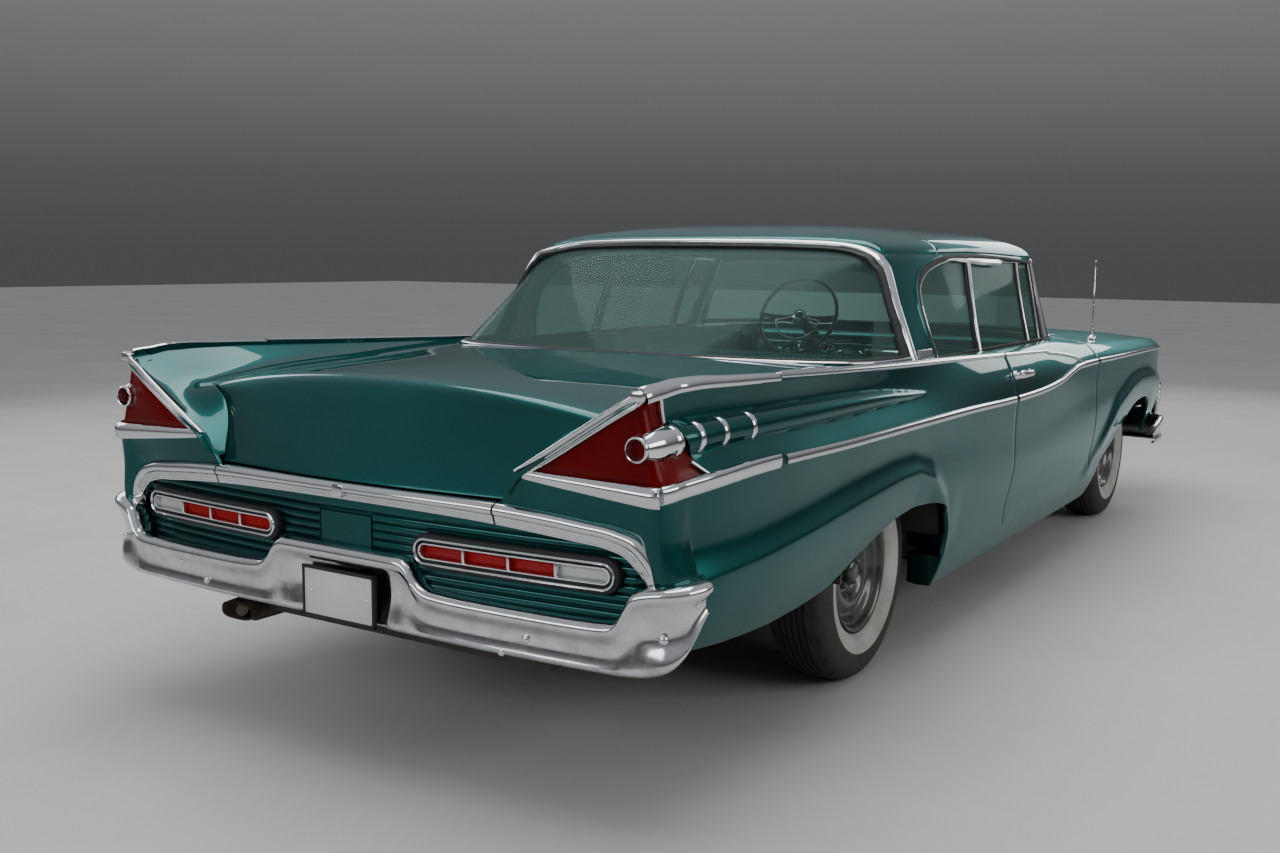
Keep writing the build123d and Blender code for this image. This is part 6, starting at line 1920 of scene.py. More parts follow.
for side_name, f in (("left", lambda q: q), ("right", lambda q: q.flipped())):
    f(d_ch).make("door_bright_work_" + side_name, side_name + "_door", CHROME_SMOOTH, "bright_metal")
    f(d_se).make("door_seals_" + side_name, side_name + "_door", RUBBER)

# ---- aerial -----------------------------------------------------------------------------------------------------------------------
mast = Shape()
mast.turned((-872, -1050, 0), (0, 0, 1), [(944, 4), (947, 21), (953, 20.5), (958, 17), (966, 9.5), (984, 7.0), (996, 6.0), (998, 3.4), (1110, 3.2), (1111, 2.5), (1220, 2.4), (1221, 1.8),
                                           (1309, 1.6), (1310, 3.2), (1314, 4.2), (1318, 3.2), (1319.5, 0.8)], seg=24)
m_o = mast.make("aerial_mast", "body", CHROME_SMOOTH, "bright_metal")
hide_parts("aerial")


# ---- front end: grille, lamps, bumper ----------------------------------------------------------------------------------
# closing panel between the hood's lip and the grille, in body colour, its lower edge rolled in
def outline(inset_, n=240):
    """The grille opening's edge, x and z, drawn in by inset_."""
    pts = np.array([(0, 868), (600, 866), (835, 862), (872, 846), (884, 812), (887, 740), (884, 640), (872, 560), (846, 508), (800, 490), (600, 487), (0, 486)], float)
    pts = np.concatenate([pts, pts[::-1][1:-1] * A(-1, 1)])
    ext = np.concatenate([pts, pts[:1]])
    L = np.concatenate([[0], np.cumsum(np.linalg.norm(np.diff(ext, axis=0), axis=1))])
    q = np.linspace(0, L[-1], n, endpoint=False)
    p = np.stack([np.interp(q, L, ext[:, 0]), np.interp(q, L, ext[:, 1])], 1)
    for _ in range(5):
        p = (np.roll(p, 1, 0) + 2 * p + np.roll(p, -1, 0)) / 4
    t = unit(np.roll(p, -1, 0) - np.roll(p, 1, 0))
    nrm = np.stack([t[:, 1], -t[:, 0]], 1)
    nrm = np.where(np.sum(nrm * (p - A(0, 680)), -1, keepdims=True) < 0, -nrm, nrm)
    return p - nrm * inset_, nrm


def bow(x):
    """Station of the grille's face: a little forward at the middle."""
    return -2474.0 - 8.0 * (1 - (np.abs(np.asarray(x, float)) / 890.0) ** 2)


grille_sh = Shape()
o_p, o_n = outline(4.0)
path = np.stack([o_p[:, 0], bow(o_p[:, 0]) + 14, o_p[:, 1]], 1)
ac = np.stack([o_n[:, 0], 0 * o_n[:, 0], o_n[:, 1]], 1)
prof = np.array([(-17, -14), (-16, 4), (-11, 13), (-4, 17.5), (3, 18), (7, 14), (8.5, 5), (9, -6), (9, -14)], float)
grille_sh.bar(path, ac, A(0, -1, 0), prof, closed=True)
# inner bar round the opening, in the darkened chrome as painted shade of its depth
i_p, i_n = outline(25.0)
path2 = np.stack([i_p[:, 0], bow(i_p[:, 0]) + 20, i_p[:, 1]], 1)
ac2 = np.stack([i_n[:, 0], 0 * i_n[:, 0], i_n[:, 1]], 1)
grille_sh.bar(path2, ac2, A(0, -1, 0), np.array([(-5, -10), (-4, 4), (0, 7), (5, 3), (6, -10)], float), closed=True, mat=1)
# dark plate behind the bars: a black sheet of painted shade for the dark space behind the grille
xb, zb_ = np.meshgrid(np.linspace(-872, 872, 60), np.linspace(0, 1, 12))
ztop = np.interp(np.abs(xb), [0, 800, 872], [856, 852, 800])
zlow = np.interp(np.abs(xb), [0, 790, 872], [498, 502, 580])
grille_shade_sheet = Shape().shell(np.stack([xb, 0 * xb - 2449, zlow + (ztop - zlow) * zb_], -1), 4, 1, ref=(0, 0, 680))
# blades across the opening
blade = np.array([(-12, -5.0), (-11, -8.5), (4, -5.8), (15, -2.2), (17.5, 0), (15, 2.2), (4, 5.8), (-11, 8.5), (-12, 5.0)], float)
for z, lim in ((536, 832), (577, 852), (618, 860), (663, 470), (708, 470), (753, 470), (798, 470), (838, 836)):
    xs_ = np.linspace(-lim, lim, 46)
    p3 = np.stack([xs_, bow(xs_) + 8, np.full(46, float(z))], 1)
    fade = 1 - 0.45 * (np.abs(xs_) / lim) ** 6
    grille_sh.bar(p3, A(0, -1, 0), A(0, 0, 1), blade, scale=np.stack([np.ones(46), fade], 1))
# upright fins behind the blades, in the darkened chrome as painted shade of the grille's depth
for x in np.concatenate([-np.arange(1, 21) * 41.0, np.arange(0, 21) * 41.0]):
    ax_ = abs(x)
    top_ = 850 if ax_ < 490 else 640
    if ax_ > 835:
        continue
    grille_sh.box(A(x - 2.0, -2463, 503), A(x + 2.0, -2450, top_), 0.9, mat=1)
grille_o = grille_sh.make("grille_bars", "body", [CHROME_SMOOTH, CHROME_SHADED], "bright_metal")
grille_shade_sheet.make("grille_shade_plate", "body", BLACK_TRIM_AND_SHADE)
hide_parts("grille")

# paired lamps in a bright housing each side
lamp_ch, lamp_gl, lamp_in = Shape(), Shape(), Shape()
hp = ellipse(186, 96, 72, 4.2)
cx_, cz_ = 682.5, 735.0
steps_ = [(-2452, 1.0), (-2468, 1.0), (-2474, 0.992), (-2477.5, 0.972), (-2478.0, 0.945), (-2475.0, 0.925), (-2468.0, 0.912), (-2466.0, 0.895)]
lamp_ch.bar(np.array([(cx_, s_, cz_) for s_, _ in steps_]), A(1, 0, 0), A(0, 0, 1), hp, scale=np.array([k_ for _, k_ in steps_]))
for lx in (600.0, 765.0):
    c_ = A(lx, -2466, 735)
    f_ = A(0, -1, 0)
    lamp_ch.turned(c_, f_, [(-4, 82), (6, 81), (12, 79), (15.5, 76), (16.5, 73), (15, 70.5), (10, 69.4), (2, 68.5), (-4, 68)], seg=96, closed=True)
    lamp_in.turned(c_, f_, [(-1.5, 70), (3, 69.0), (-0.5, 52), (-2.4, 34), (-3, 16), (-3, 0.5), (-6, 0.5), (-6, 70)], seg=72, closed=True)
    lamp_gl.turned(c_, f_, [(7, 0.5), (7, 30), (6.5, 50), (4.5, 69), (8, 69.8), (12.5, 66), (16, 50), (18.3, 30), (19.2, 12), (19.4, 0.5)], seg=72, closed=True)
    lamp_ch.turned(c_, f_, [(-2, 13), (3.5, 12), (5.5, 8), (6, 0.5)], seg=32)
    for i in range(3):
        a = math.pi * (0.5 + 2 * i / 3)
        q = c_ + A(77.5 * math.cos(a), 0, 77.5 * math.sin(a))
        lamp_ch.turned(q, f_, [(10, 4.2), (17.2, 4.0), (18.6, 2.8), (19, 0.8)], seg=16)
LAMP_CLEAR = Mat("headlamp_glass", IOR=1.5, Specular_IOR_Level=0.6, Coat_Weight=1.0, Coat_Roughness=0.03)
LAMP_CLEAR.set("Transmission Weight", 0.86)
LAMP_CLEAR.color(LAMP_CLEAR.mix(LAMP_CLEAR.noise(12.0, 5.0), (0.80, 0.84, 0.84), (0.92, 0.94, 0.93)))
LAMP_CLEAR.rough(LAMP_CLEAR.noise(30.0, 5.0), 0.03, 0.16)
LAMP_CLEAR.bump(LAMP_CLEAR.wave(24.0, "X", profile="SIN"), 0.22, 0.002)
for side_name, f in (("left", lambda q: q), ("right", lambda q: q.flipped())):
    lo_ = f(lamp_ch).make("headlamp_housing_" + side_name, "body", CHROME_SMOOTH, "bright_metal")
    f(lamp_in).make("headlamp_reflectors_" + side_name, "body", CHROME, "bright_metal")
    f(lamp_gl).make("headlamp_lenses_" + side_name, "body", LAMP_CLEAR.m, "lamp_glass")
    if side_name == "left":
        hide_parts("headlamps")

# header between the grille and the hood's lip
hx = np.linspace(-870, 870, 90)
rows = []
for x in hx:
    dz_h = 4.0 * (abs(x) / 870) ** 2
    rows.append([(x, bow(x) + 20, 873 - dz_h), (x, bow(x) + 22, 875.5 - dz_h), (x, -2452, 876.5 - dz_h), (x, -2447, 876.5 - dz_h)])
header_sh = Shape().shell(np.array(rows), 5, 1.0, ref=(0, -2000, 600))
header_sh.make("grille_header", "body", PAINT, "body_paint")

# splash panel under the grille, running down behind the bumper
vx = np.linspace(-868, 868, 70)
rows = []
for x in vx:
    e_ = abs(x / 868) ** 6
    rows.append([(x, -2452, 489), (x, -2463 + 4 * e_, 485), (x, -2471 + 8 * e_, 474), (x, -2475 + 10 * e_, 455), (x, -2476 + 10 * e_, 430), (x, -2470 + 8 * e_, 402)])
Shape().shell(np.array(rows), 3, 0.8, ref=(0, -2000, 450)).make("front_splash_panel", "body", PAINT, "body_paint")

# front bumper: one rolled bar that wraps round to the wheel openings
F_PLAN = np.array([(0, -2511.5), (300, -2511), (600, -2507.5), (800, -2498), (880, -2484), (928, -2460), (956, -2425), (970, -2385), (979, -2300), (984, -2200), (986, -2112)], float)
F_U = np.concatenate([[0], np.cumsum(np.linalg.norm(np.diff(F_PLAN, axis=0), axis=1))])


def front_row(u):
    p = spline(F_U, F_PLAN, [u])[0]
    d = spline(F_U, F_PLAN, [u + 2])[0] - spline(F_U, F_PLAN, [max(u - 2, 0.0)])[0]
    d = d / np.linalg.norm(d)
    n_out = A(d[1], -d[0]) if u > 4 else A(0, -1)
    if n_out[1] > 0 and n_out[0] < 0:
        n_out = -n_out
    end = float(smoothstep(F_U[-1] - 260, F_U[-1], u))
    mid_ = float(smoothstep(330, 180, u))
    zt = 454 - 26 * end
    zb2 = 306 + 20 * end
    H2 = zt - zb2
    drop = 7.0 * mid_
    pts = [(-26, zt - 12), (-24, zt - 3), (-18, zt), (-10, zt - 0.5), (-4, zt - 5), (-0.5, zt - 12), (0, zt - 20), (-1.5, zt - 29), (-6, zt - 37), (-10, zt - 44),
           (-12 - 0.3 * drop, zt - 0.42 * H2), (-12.5 - drop, zt - 0.52 * H2), (-11 - 0.5 * drop, zt - 0.62 * H2), (-7, zt - 0.70 * H2), (-3.5, zt - 0.77 * H2), (-2.5, zt - 0.83 * H2), (-4, zb2 + 15),
           (-9, zb2 + 5), (-16, zb2), (-24, zb2 + 2), (-26, zb2 + 10)]
    return np.array([(p[0] + n_out[0] * a, p[1] + n_out[1] * a, z) for a, z in pts])


fu = np.concatenate([np.linspace(0, 780, 40)[:-1], np.linspace(780, 1100, 34)[:-1], np.linspace(1100, F_U[-1], 14)])
f_half = np.array([front_row(u) for u in fu])
f_all = np.concatenate([f_half[::-1] * A(-1, 1, 1), f_half[1:]])
fb = Shape().shell(f_all, 4, 1.0, ref=(0, -2200, 380))
for sx in (-1, 1):
    # upright pod over each end with three ribs
    zz_ = np.array([446, 452, 500, 508, 518, 530, 575, 622, 638, 648, 654, 656], float)
    sc_ = np.array([0.62, 0.64, 0.70, 0.86, 0.95, 1.0, 1.0, 1.0, 0.95, 0.82, 0.55, 0.2])
    fb.bar(np.stack([0 * zz_ + 899 * sx, 0 * zz_ - 2485, zz_], 1), A(1, 0, 0), A(0, 1, 0), ellipse(28, 14.5, 40, 2.5), scale=sc_)
    for zr in (545, 577, 609):
        zq_ = np.array([-7, -5, 0, 5, 7], float)
        fb.bar(np.stack([0 * zq_ + 899 * sx, 0 * zq_ - 2485, zq_ + zr], 1), A(1, 0, 0), A(0, 1, 0), ellipse(29, 15.5, 40, 2.5), scale=np.array([0.96, 1.0, 1.035, 1.0, 0.96]))
    # arms back to the frame
    fb.box(A(sx * 407, -2486, 308), A(sx * 453, -2402, 364), 3.0, mat=1)
    for bz in (340, 415):
        fb.turned(A(sx * 430, -2499, bz) if bz > 400 else A(sx * 430, -2503, bz), (0, -1, 0), [(-4, 10), (2, 11), (5, 10), (7, 7), (8, 2.5)], seg=28)
front_o = fb.make("front_bumper_bar", "body", [CHROME, FRAME_BLACK], "bright_metal", angle=50)
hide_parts("front_bumper")
# bright lip along the hood's front edge
hl = np.linspace(-676, 676, 70)
lipz = np.array([float(top_z(-2434, x)) for x in hl])
path = np.stack([hl, 0 * hl - 2436.5, lipz - 3.5], 1)
lip_f = Shape().bar(path, A(0, 0, 1), A(0, -1, 0), half_round(15, 5.0, 9, sink=4, flat=2.4))
lip_f.make("hood_lip_moulding", "hood", CHROME_SMOOTH, "bright_metal")


# ---- cabin -----------------------------------------------------------------------------------------------------------
FELT = plain_material("shelf_felt", (0.020, 0.085, 0.083), (0.034, 0.12, 0.117), (0.85, 1.0), 26.0, 0.55, 0.0012, grain=620.0)
DASH_TOP = plain_material("dash_top_grain", (0.004, 0.040, 0.040), (0.008, 0.062, 0.061), (0.45, 0.7), 20.0, 0.4, 0.0007, grain=480.0)
DARK_PLASTIC = plain_material("dark_plastic", (0.006, 0.010, 0.011), (0.012, 0.018, 0.019), (0.22, 0.42), 14.0, 0.1, 0.0004, coat=0.4)
DIAL = plain_material("dial_face", (0.010, 0.012, 0.013), (0.018, 0.021, 0.022), (0.4, 0.6), 20.0, 0.1, 0.0003)
IVORY = plain_material("dial_marks", (0.50, 0.50, 0.46), (0.62, 0.61, 0.57), (0.4, 0.6), 20.0, 0.1, 0.0003)


def seat_material(name):
    """Ribbed cloth in the middle of the bench, grained vinyl towards its ends."""
    k = Mat(name, Specular_IOR_Level=0.4)
    x = k.math("ABSOLUTE", k.axis(0))
    rim = k.ramp(x, (0.505, 0.0), (0.512, 1.0))
    thread = k.math("MULTIPLY", k.wave(430.0, "X"), k.wave(430.0, "Y"))
    stripe = k.ramp(k.wave(14.0, "X", profile="SIN"), (0.42, 0.0), (0.58, 1.0))
    cloth = k.mix(stripe, (0.020, 0.130, 0.127), (0.050, 0.21, 0.205))
    cloth = k.mix(k.ramp(thread, (0.1, 0.0), (0.7, 0.5)), cloth, (0.13, 0.30, 0.29))
    vinyl = k.mix(k.ramp(k.noise(16.0, 6.0), (0.3, 0.0), (0.7, 1.0)), (0.015, 0.145, 0.142), (0.024, 0.195, 0.19))
    c = k.mix(rim, cloth, vinyl)
    worn = k.ramp(k.noise(5.0, 6.0, 0.6), (0.45, 0.0), (0.8, 0.35))
    k.color(k.mix(worn, c, (0.09, 0.19, 0.18)))
    r = k.math("SUBTRACT", k.math("MULTIPLY", k.noise(60.0, 4.0), 0.5), k.math("MULTIPLY", rim, 0.45))
    k.rough(r, 0.72, 0.95)
    k.bump(k.math("ADD", k.math("MULTIPLY", thread, 0.8), k.noise(520.0, 3.0)), 0.35, 0.0006)
    return k.m


SEAT = seat_material("seat_cloth_and_vinyl")


def bolster(section, half, n=46, grow=1.0):
    """A closed cushion: its section, s and z, carried across the car and drawn in at its ends."""
    sec = np.asarray(section, float)
    L = np.concatenate([[0], np.cumsum(np.linalg.norm(np.diff(np.concatenate([sec, sec[:1]]), axis=0), axis=1))])
    q = np.linspace(0, L[-1], 60, endpoint=False)
    ext = np.concatenate([sec, sec[:1]])
    fine = np.stack([np.interp(q, L, ext[:, 0]), np.interp(q, L, ext[:, 1])], 1)
    for _ in range(2):
        fine = (np.roll(fine, 1, 0) + 2 * fine + np.roll(fine, -1, 0)) / 4
    c = 0.5 * (fine.min(0) + fine.max(0))
    xs = half * np.sin(np.linspace(-1, 1, n) * math.pi / 2)
    rows = []
    for x in xs:
        e = abs(x) / half
        k = 1.0 - 0.26 * max(0.0, (e - 0.90) / 0.10) ** 2.2
        rows.append([(x, c[0] + (p[0] - c[0]) * k, c[1] + (p[1] - c[1]) * k) for p in fine])
    g = np.array(rows)
    sh = Shape().grid(g, 0, wrap_c=True)
    C = g.shape[1]
    sh.f += [tuple(range(C)), tuple((n - 1) * C + j for j in reversed(range(C)))]
    sh.m += [0, 0]
    return sh


def mesh_of(o):
    dg = bpy.context.evaluated_depsgraph_get()
    return bpy.data.meshes.new_from_object(o.evaluated_get(dg))


def coords(me):
    a = np.empty(len(me.vertices) * 3)
    me.vertices.foreach_get("co", a)
    return a.reshape(-1, 3)


def stuffed(name, shape, limits, grooves, cap=0.012, voxel=0.020):
    """A sewn cushion: the form is remeshed, blown up a little as cloth, then its seams and channels are pressed in."""
    o = shape.make(name, "body", SEAT, "seat_cloth", angle=80)
    m = o.modifiers.new("grid", "REMESH")
    m.mode = "VOXEL"
    m.voxel_size = voxel
    m.use_smooth_shade = True
    o.data = mesh_of(o)
    o.modifiers.clear()
    start = coords(o.data)
    cl = o.modifiers.new("fill", "CLOTH")
    cl.settings.use_pressure = True
    cl.settings.uniform_pressure_force = 4.0
    cl.settings.effector_weights.gravity = 0.0
    cl.settings.quality = 4
    for f in range(1, 21):
        scene.frame_set(f)
    swollen = coords(mesh_of(o))
    o.modifiers.clear()
    scene.frame_set(1)
    if swollen.shape == start.shape:
        d = swollen - start
        d -= d.mean(0)
        size = np.linalg.norm(d, axis=1, keepdims=True)
        start = start + d * np.minimum(1.0, cap / np.maximum(size, 1e-9))
    o.data.vertices.foreach_set("co", start.ravel())
    o.data.update()
    m = o.modifiers.new("round", "SUBSURF")
    m.levels = m.render_levels = 1
    o.data = mesh_of(o)
    o.modifiers.clear()
    v = coords(o.data)
    nrm = np.empty(len(v) * 3)
    o.data.vertices.foreach_get("normal", nrm)
    nrm = nrm.reshape(-1, 3)
    q = np.stack([v[:, 0] * 1000, v[:, 1] * 1000 + MID, v[:, 2] * 1000], 1)
    q = q + nrm * grooves(q, nrm)[:, None]
    q = np.clip(q, limits[0], limits[1])
    v = np.stack([q[:, 0], q[:, 1] - MID, q[:, 2]], 1) / 1000.0
    o.data.vertices.foreach_set("co", v.ravel())
    o.data.polygons.foreach_set("use_smooth", [True] * len(o.data.polygons))
    if not len(o.data.materials):
        o.data.materials.append(SEAT)
    o.data.update()
    return o


def channels(half_insert, pitch, face):
    """Depth of the sewn channels and of the seams beside them, on the faces that show."""
    def depth(q, n):
        on = face(q, n)
        ax_ = np.abs(q[:, 0])
        inside = smoothstep(half_insert + 2, half_insert - 2, ax_)
        ph = (q[:, 0] / pitch + 0.5) % 1.0 - 0.5
        rib = -5.5 * np.exp(-(ph * pitch / 6.5) ** 2) * inside
        seam = -6.0 * np.exp(-((ax_ - half_insert) / 6.0) ** 2)
        return (rib + seam) * on
    return depth


up_face = lambda q, n: np.clip(n[:, 2] * 2.2, 0, 1)
fore_face = lambda q, n: np.clip(-n[:, 1] * 1.8, 0, 1)
F_CUSH = [(-46, 462), (-60, 480), (-58, 505), (-36, 520), (30, 521), (150, 514), (260, 507), (352, 500), (420, 492), (440, 478), (438, 462), (200, 457)]
F_BACK = [(378, 520), (396, 560), (418, 650), (440, 770), (458, 870), (474, 928), (500, 950), (540, 946), (562, 922), (568, 880), (560, 740), (548, 600), (536, 500), (500, 492), (440, 496), (396, 506)]
R_CUSH = [(782, 462), (768, 482), (772, 515), (796, 533), (860, 532), (960, 524), (1075, 514), (1110, 496), (1112, 470), (1080, 458), (940, 456)]
R_BACK = [(1092, 535), (1104, 600), (1124, 690), (1144, 790), (1166, 886), (1190, 918), (1222, 922), (1244, 906), (1246, 860), (1236, 740), (1222, 600), (1208, 500), (1170, 486), (1120, 500)]
front_cushion = stuffed("front_bench_cushion", bolster(F_CUSH, 676), (A(-688, -68, 452), A(688, 448, 529)), channels(512, 64.0, up_face), cap=0.010)
front_back = stuffed("front_bench_back", bolster(F_BACK, 676), (A(-688, 372, 486), A(688, 577, 961)), channels(512, 64.0, fore_face), cap=0.012)
rear_cushion = stuffed("rear_bench_cushion", bolster(R_CUSH, 614), (A(-626, 756, 452), A(626, 1125, 543)), channels(512, 64.0, up_face), cap=0.010)
rear_back = stuffed("rear_bench_back", bolster(R_BACK, 614), (A(-626, 1084, 480), A(626, 1252, 929)), channels(512, 64.0, fore_face), cap=0.012)
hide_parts("front_seat")
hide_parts("rear_seat")
# plinths under the benches, either side of the tunnel
base_sh = Shape()
for s0, s1, hw in ((-44, 486, 672), (788, 1178, 606)):
    for sx in (-1, 1):
        base_sh.bar(np.array([(0, 0, z) for z in (350.0, 353.0, 448.0, 451.0)]), A(1, 0, 0), A(0, 1, 0),
                    np.array([(sx * a, b) for a, b in [(190, s0 + 6), (198, s0), (hw - 12, s0), (hw, s0 + 12), (hw, s1 - 12), (hw - 12, s1), (198, s1), (190, s1 - 6)]]))
base_sh.make("seat_plinths", "body", TRIM_TEAL, "seat_cloth")

# dashboard: painted face and grained top following the windscreen's foot
screen_s = lambda x: float(np.interp(abs(x), [0, 480, 740, 842], [-850, -800, -610, -400])) + 50
rows, rows_top = [], []
for x in np.linspace(-700, 700, 71):
    sf = screen_s(x)
    top = [(-862, 921), (-845, 930), (-800, 941), (-740, 950), (-690, 956), (-650, 959), (-622, 956)]
    face = [(-622, 956), (-606, 948), (-598, 935), (-600, 926), (-606, 918), (-604, 906), (-598, 880), (-592, 850), (-589, 820), (-592, 796), (-604, 770), (-624, 742), (-648, 726), (-680, 724)]
    rows_top.append([(x, max(a, sf + i * 0.8), b) for i, (a, b) in enumerate(top)])
    rows.append([(x, max(a, sf + 6 + i * 0.6), b) for i, (a, b) in enumerate(face)])
dash_face = Shape().shell(np.array(rows), 5, 1.2, ref=(0, -720, 860))
dash_top = Shape().shell(np.array(rows_top), 5, 1.2, ref=(0, -720, 860))
d_o = dash_face.make("dashboard_face", "body", PAINT, "dash")
dash_top.make("dashboard_top", "body", DASH_TOP, "dash")
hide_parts("dashboard")
inst = Shape()
back_ = A(0, 1, 0)
for ix, iz, ir in ((380, 872, 50), (286, 868, 30), (474, 868, 30)):
    c_ = A(ix, -598, iz)
    inst.turned(c_, back_, [(-4, ir + 7), (6, ir + 7), (11, ir + 4.5), (12, ir + 1.5), (9, ir - 1), (2, ir - 1.5), (-4, ir - 1.5)], seg=64, closed=True)
    inst.turned(c_, back_, [(-2, ir), (3, ir), (3.2, 0.5)], seg=48, mat=1)
    for i in range(11):
        a = math.radians(-30 + 240 * i / 10)
        ca, sa = math.cos(a), math.sin(a)
        q = c_ + A(ca * ir * 0.82, 3.6, sa * ir * 0.82)
        inst.bar(np.array([q - A(ca, 0, sa) * ir * 0.08, q + A(ca, 0, sa) * ir * 0.08]), A(-sa, 0, ca), back_, ellipse(0.9, 0.6, 6), mat=2)
    a = math.radians(160 if ir > 40 else 110)
    inst.bar(np.array([c_ + A(0, 4.4, 0), c_ + A(math.cos(a) * ir * 0.7, 4.4, math.sin(a) * ir * 0.7)]), A(-math.sin(a), 0, math.cos(a)), back_, ellipse(1.1, 0.7, 8), scale=np.array([1.5, 0.6]), mat=2)
    inst.turned(c_ + A(0, 3, 0), back_, [(0, 4.5), (2.4, 4.2), (3.2, 1)], seg=20, mat=0)
# radio panel, glovebox line, knobs, trim strip
inst.box(A(-92, -603, 832), A(92, -585, 884), 5, mat=0)
inst.box(A(-70, -590, 846), A(70, -583.5, 870), 2, mat=1)
for kx in (-110, 110, 215, 545, 590, -150):
    inst.turned(A(kx, -600, 856), back_, [(0, 7), (8, 8), (14, 11), (20, 11.5), (23, 9), (24, 1)], seg=28)
for kx in (-48, -24, 0, 24, 48):
    inst.box(A(kx - 9, -590, 835), A(kx + 9, -581, 842), 1.6, mat=3)
for zz, lim in ((899, 690), (812, 690)):
    xs_ = np.linspace(-lim, lim, 60)
    inst.bar(np.stack([xs_, 0 * xs_ + (-602.5 if zz > 880 else -589.5), 0 * xs_ + zz], 1), A(0, 0, 1), back_, half_round(7, 4.0, 7, sink=3))
inst.bar(np.array([(-300, -594, 888), (-300, -589, 822), (-620, -589, 822), (-620, -594, 888)], float), A(0.7, 0, 0.7), back_, half_round(3.5, 1.8, 7, sink=2), closed=True)
inst.turned(A(-460, -592, 872), back_, [(0, 9), (6, 9), (9, 7), (10, 1)], seg=24)
inst.make("dashboard_instruments", "body", [CHROME_SMOOTH, DIAL, IVORY, DARK_PLASTIC], "bright_metal")

# steering column and wheel
W_AT = A(380, -440, 1035)
TILT_ = math.radians(27)
W_AX = A(0, math.cos(TILT_), math.sin(TILT_))
W_UP = A(0, -math.sin(TILT_), math.cos(TILT_))
col = Shape()
col.turned(W_AT, W_AX, [(-452, 24), (-300, 25), (-230, 26), (-222, 29), (-150, 30), (-92, 30), (-84, 28), (-60, 27), (-56, 22), (-56, 4)], seg=56, start=(1, 0, 0))
col.turned(W_AT, W_AX, [(-231, 26), (-229, 30.5), (-224, 30.5), (-222, 27)], seg=56, mat=1, closed=True)
for sgn, L_, d_ in ((1, 175, -100), (-1, 150, -96)):
    p0 = W_AT + W_AX * d_
    tip = p0 + A(sgn * L_, 0, 0) + W_UP * 14 + W_AX * (-8)
    st = track(np.array([p0 + A(sgn * 20, 0, 0), p0 + A(sgn * L_ * 0.5, 0, 0) + W_UP * 4, tip]), 14)
    col.bar(st, W_UP, W_AX, ellipse(3.6, 3.6, 14), mat=1)
    col.turned(tip, (sgn, 0, 0), [(-9, 3.8), (-7, 6.5), (0, 8.4), (7, 7.6), (11, 5), (12.5, 1)], seg=20, mat=2)
col_o = col.make("steering_column_cover", "body", [PAINT_IN, CHROME_SMOOTH, DARK_PLASTIC], "dash")
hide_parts("steering_column")
sw_ = Shape()
tt = np.arange(120) * 2 * math.pi / 120
rim_p = W_AT + 200 * (np.cos(tt)[:, None] * A(1, 0, 0) + np.sin(tt)[:, None] * W_UP)
radial = (np.cos(tt)[:, None] * A(1, 0, 0) + np.sin(tt)[:, None] * W_UP)
bead = 1.0 + 0.05 * np.abs(np.sin(tt * 20)) * (np.sin(tt) < 0.2)
sw_.bar(rim_p, radial, W_AX, ellipse(9.6, 10.6, 20), scale=bead, closed=True)
for sx in (-1, 1):
    sp = track(np.array([W_AT + A(sx * 20, 0, 0) - W_AX * 22, W_AT + A(sx * 110, 0, 0) - W_AX * 13 - W_UP * 3, W_AT + A(sx * 195, 0, 0)]), 22)
    sw_.bar(sp, W_UP, W_AX, ellipse(12, 4.2, 20, 2.6), scale=np.stack([np.interp(np.linspace(0, 1, 22), [0, 0.3, 0.8, 1], [1.5, 1.0, 0.9, 1.2]), np.ones(22)], 1))
sw_.turned(W_AT, W_AX, [(-43, 14), (-41, 23.5), (-30, 24), (-24, 38), (-14, 40), (-8, 38), (-5, 30), (-4, 2)], seg=64, start=(1, 0, 0))
sw_.turned(W_AT, W_AX, [(-7, 31), (-2, 29.5), (3, 24), (6.5, 15), (8, 5), (8.2, 1)], seg=64, mat=1, start=(1, 0, 0))
hr = np.linspace(math.pi * 1.06, math.pi * 1.94, 60)
hp_ = W_AT - W_AX * 4 + 118 * (np.cos(hr)[:, None] * A(1, 0, 0) + np.sin(hr)[:, None] * W_UP)
sw_.bar(hp_, np.cos(hr)[:, None] * A(1, 0, 0) + np.sin(hr)[:, None] * W_UP, W_AX, ellipse(4.4, 3.2, 14), mat=1)
for sx in (-1, 1):
    sw_.bar(track(np.array([W_AT + A(sx * 26, 0, 0) - W_AX * 8, W_AT + A(sx * 70, 0, 0) - W_AX * 5 - W_UP * 12, W_AT + A(sx * 116, 0, 0) - W_AX * 4 - W_UP * 22]), 14), W_UP, W_AX, ellipse(4.4, 3.0, 14), mat=1)
sw_o = sw_.make("steering_wheel_rim", "steering_wheel", [DARK_PLASTIC, CHROME_SMOOTH], "dash")
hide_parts("steering_wheel")

# inner door trim: moulded panel, armrest, pull and winder
card = Shape()
rows = []
for s_ in np.linspace(-560, 500, 34):
    rows.append([(813.5 - 3.0 * math.sin(math.pi * t) ** 0.5, s_, z) for t, z in zip(np.linspace(0, 1, 16), np.linspace(440, 905, 16))])
card.shell(np.array(rows), 5, 1.4, ref=(860, 0, 650))
arm = track(np.array([(812, -260, 690), (792, -230, 700), (784, -120, 702), (784, 60, 698), (792, 140, 692), (812, 170, 680)], float), 34)
card.bar(arm, A(1, 0, 0), A(0, 0, 1), ellipse(22, 18, 20, 2.6), scale=np.interp(np.linspace(0, 1, 34), [0, 0.12, 0.5, 0.88, 1], [0.5, 1.0, 1.05, 1.0, 0.5]))
for zc in (640, 560):
    xs_ = np.linspace(-540, 480, 30)
    card.bar(np.stack([0 * xs_ + 811.5, xs_, 0 * xs_ + zc], 1), A(0, 0, 1), A(-1, 0, 0), half_round(8, 3.4, 7, sink=4), mat=1)
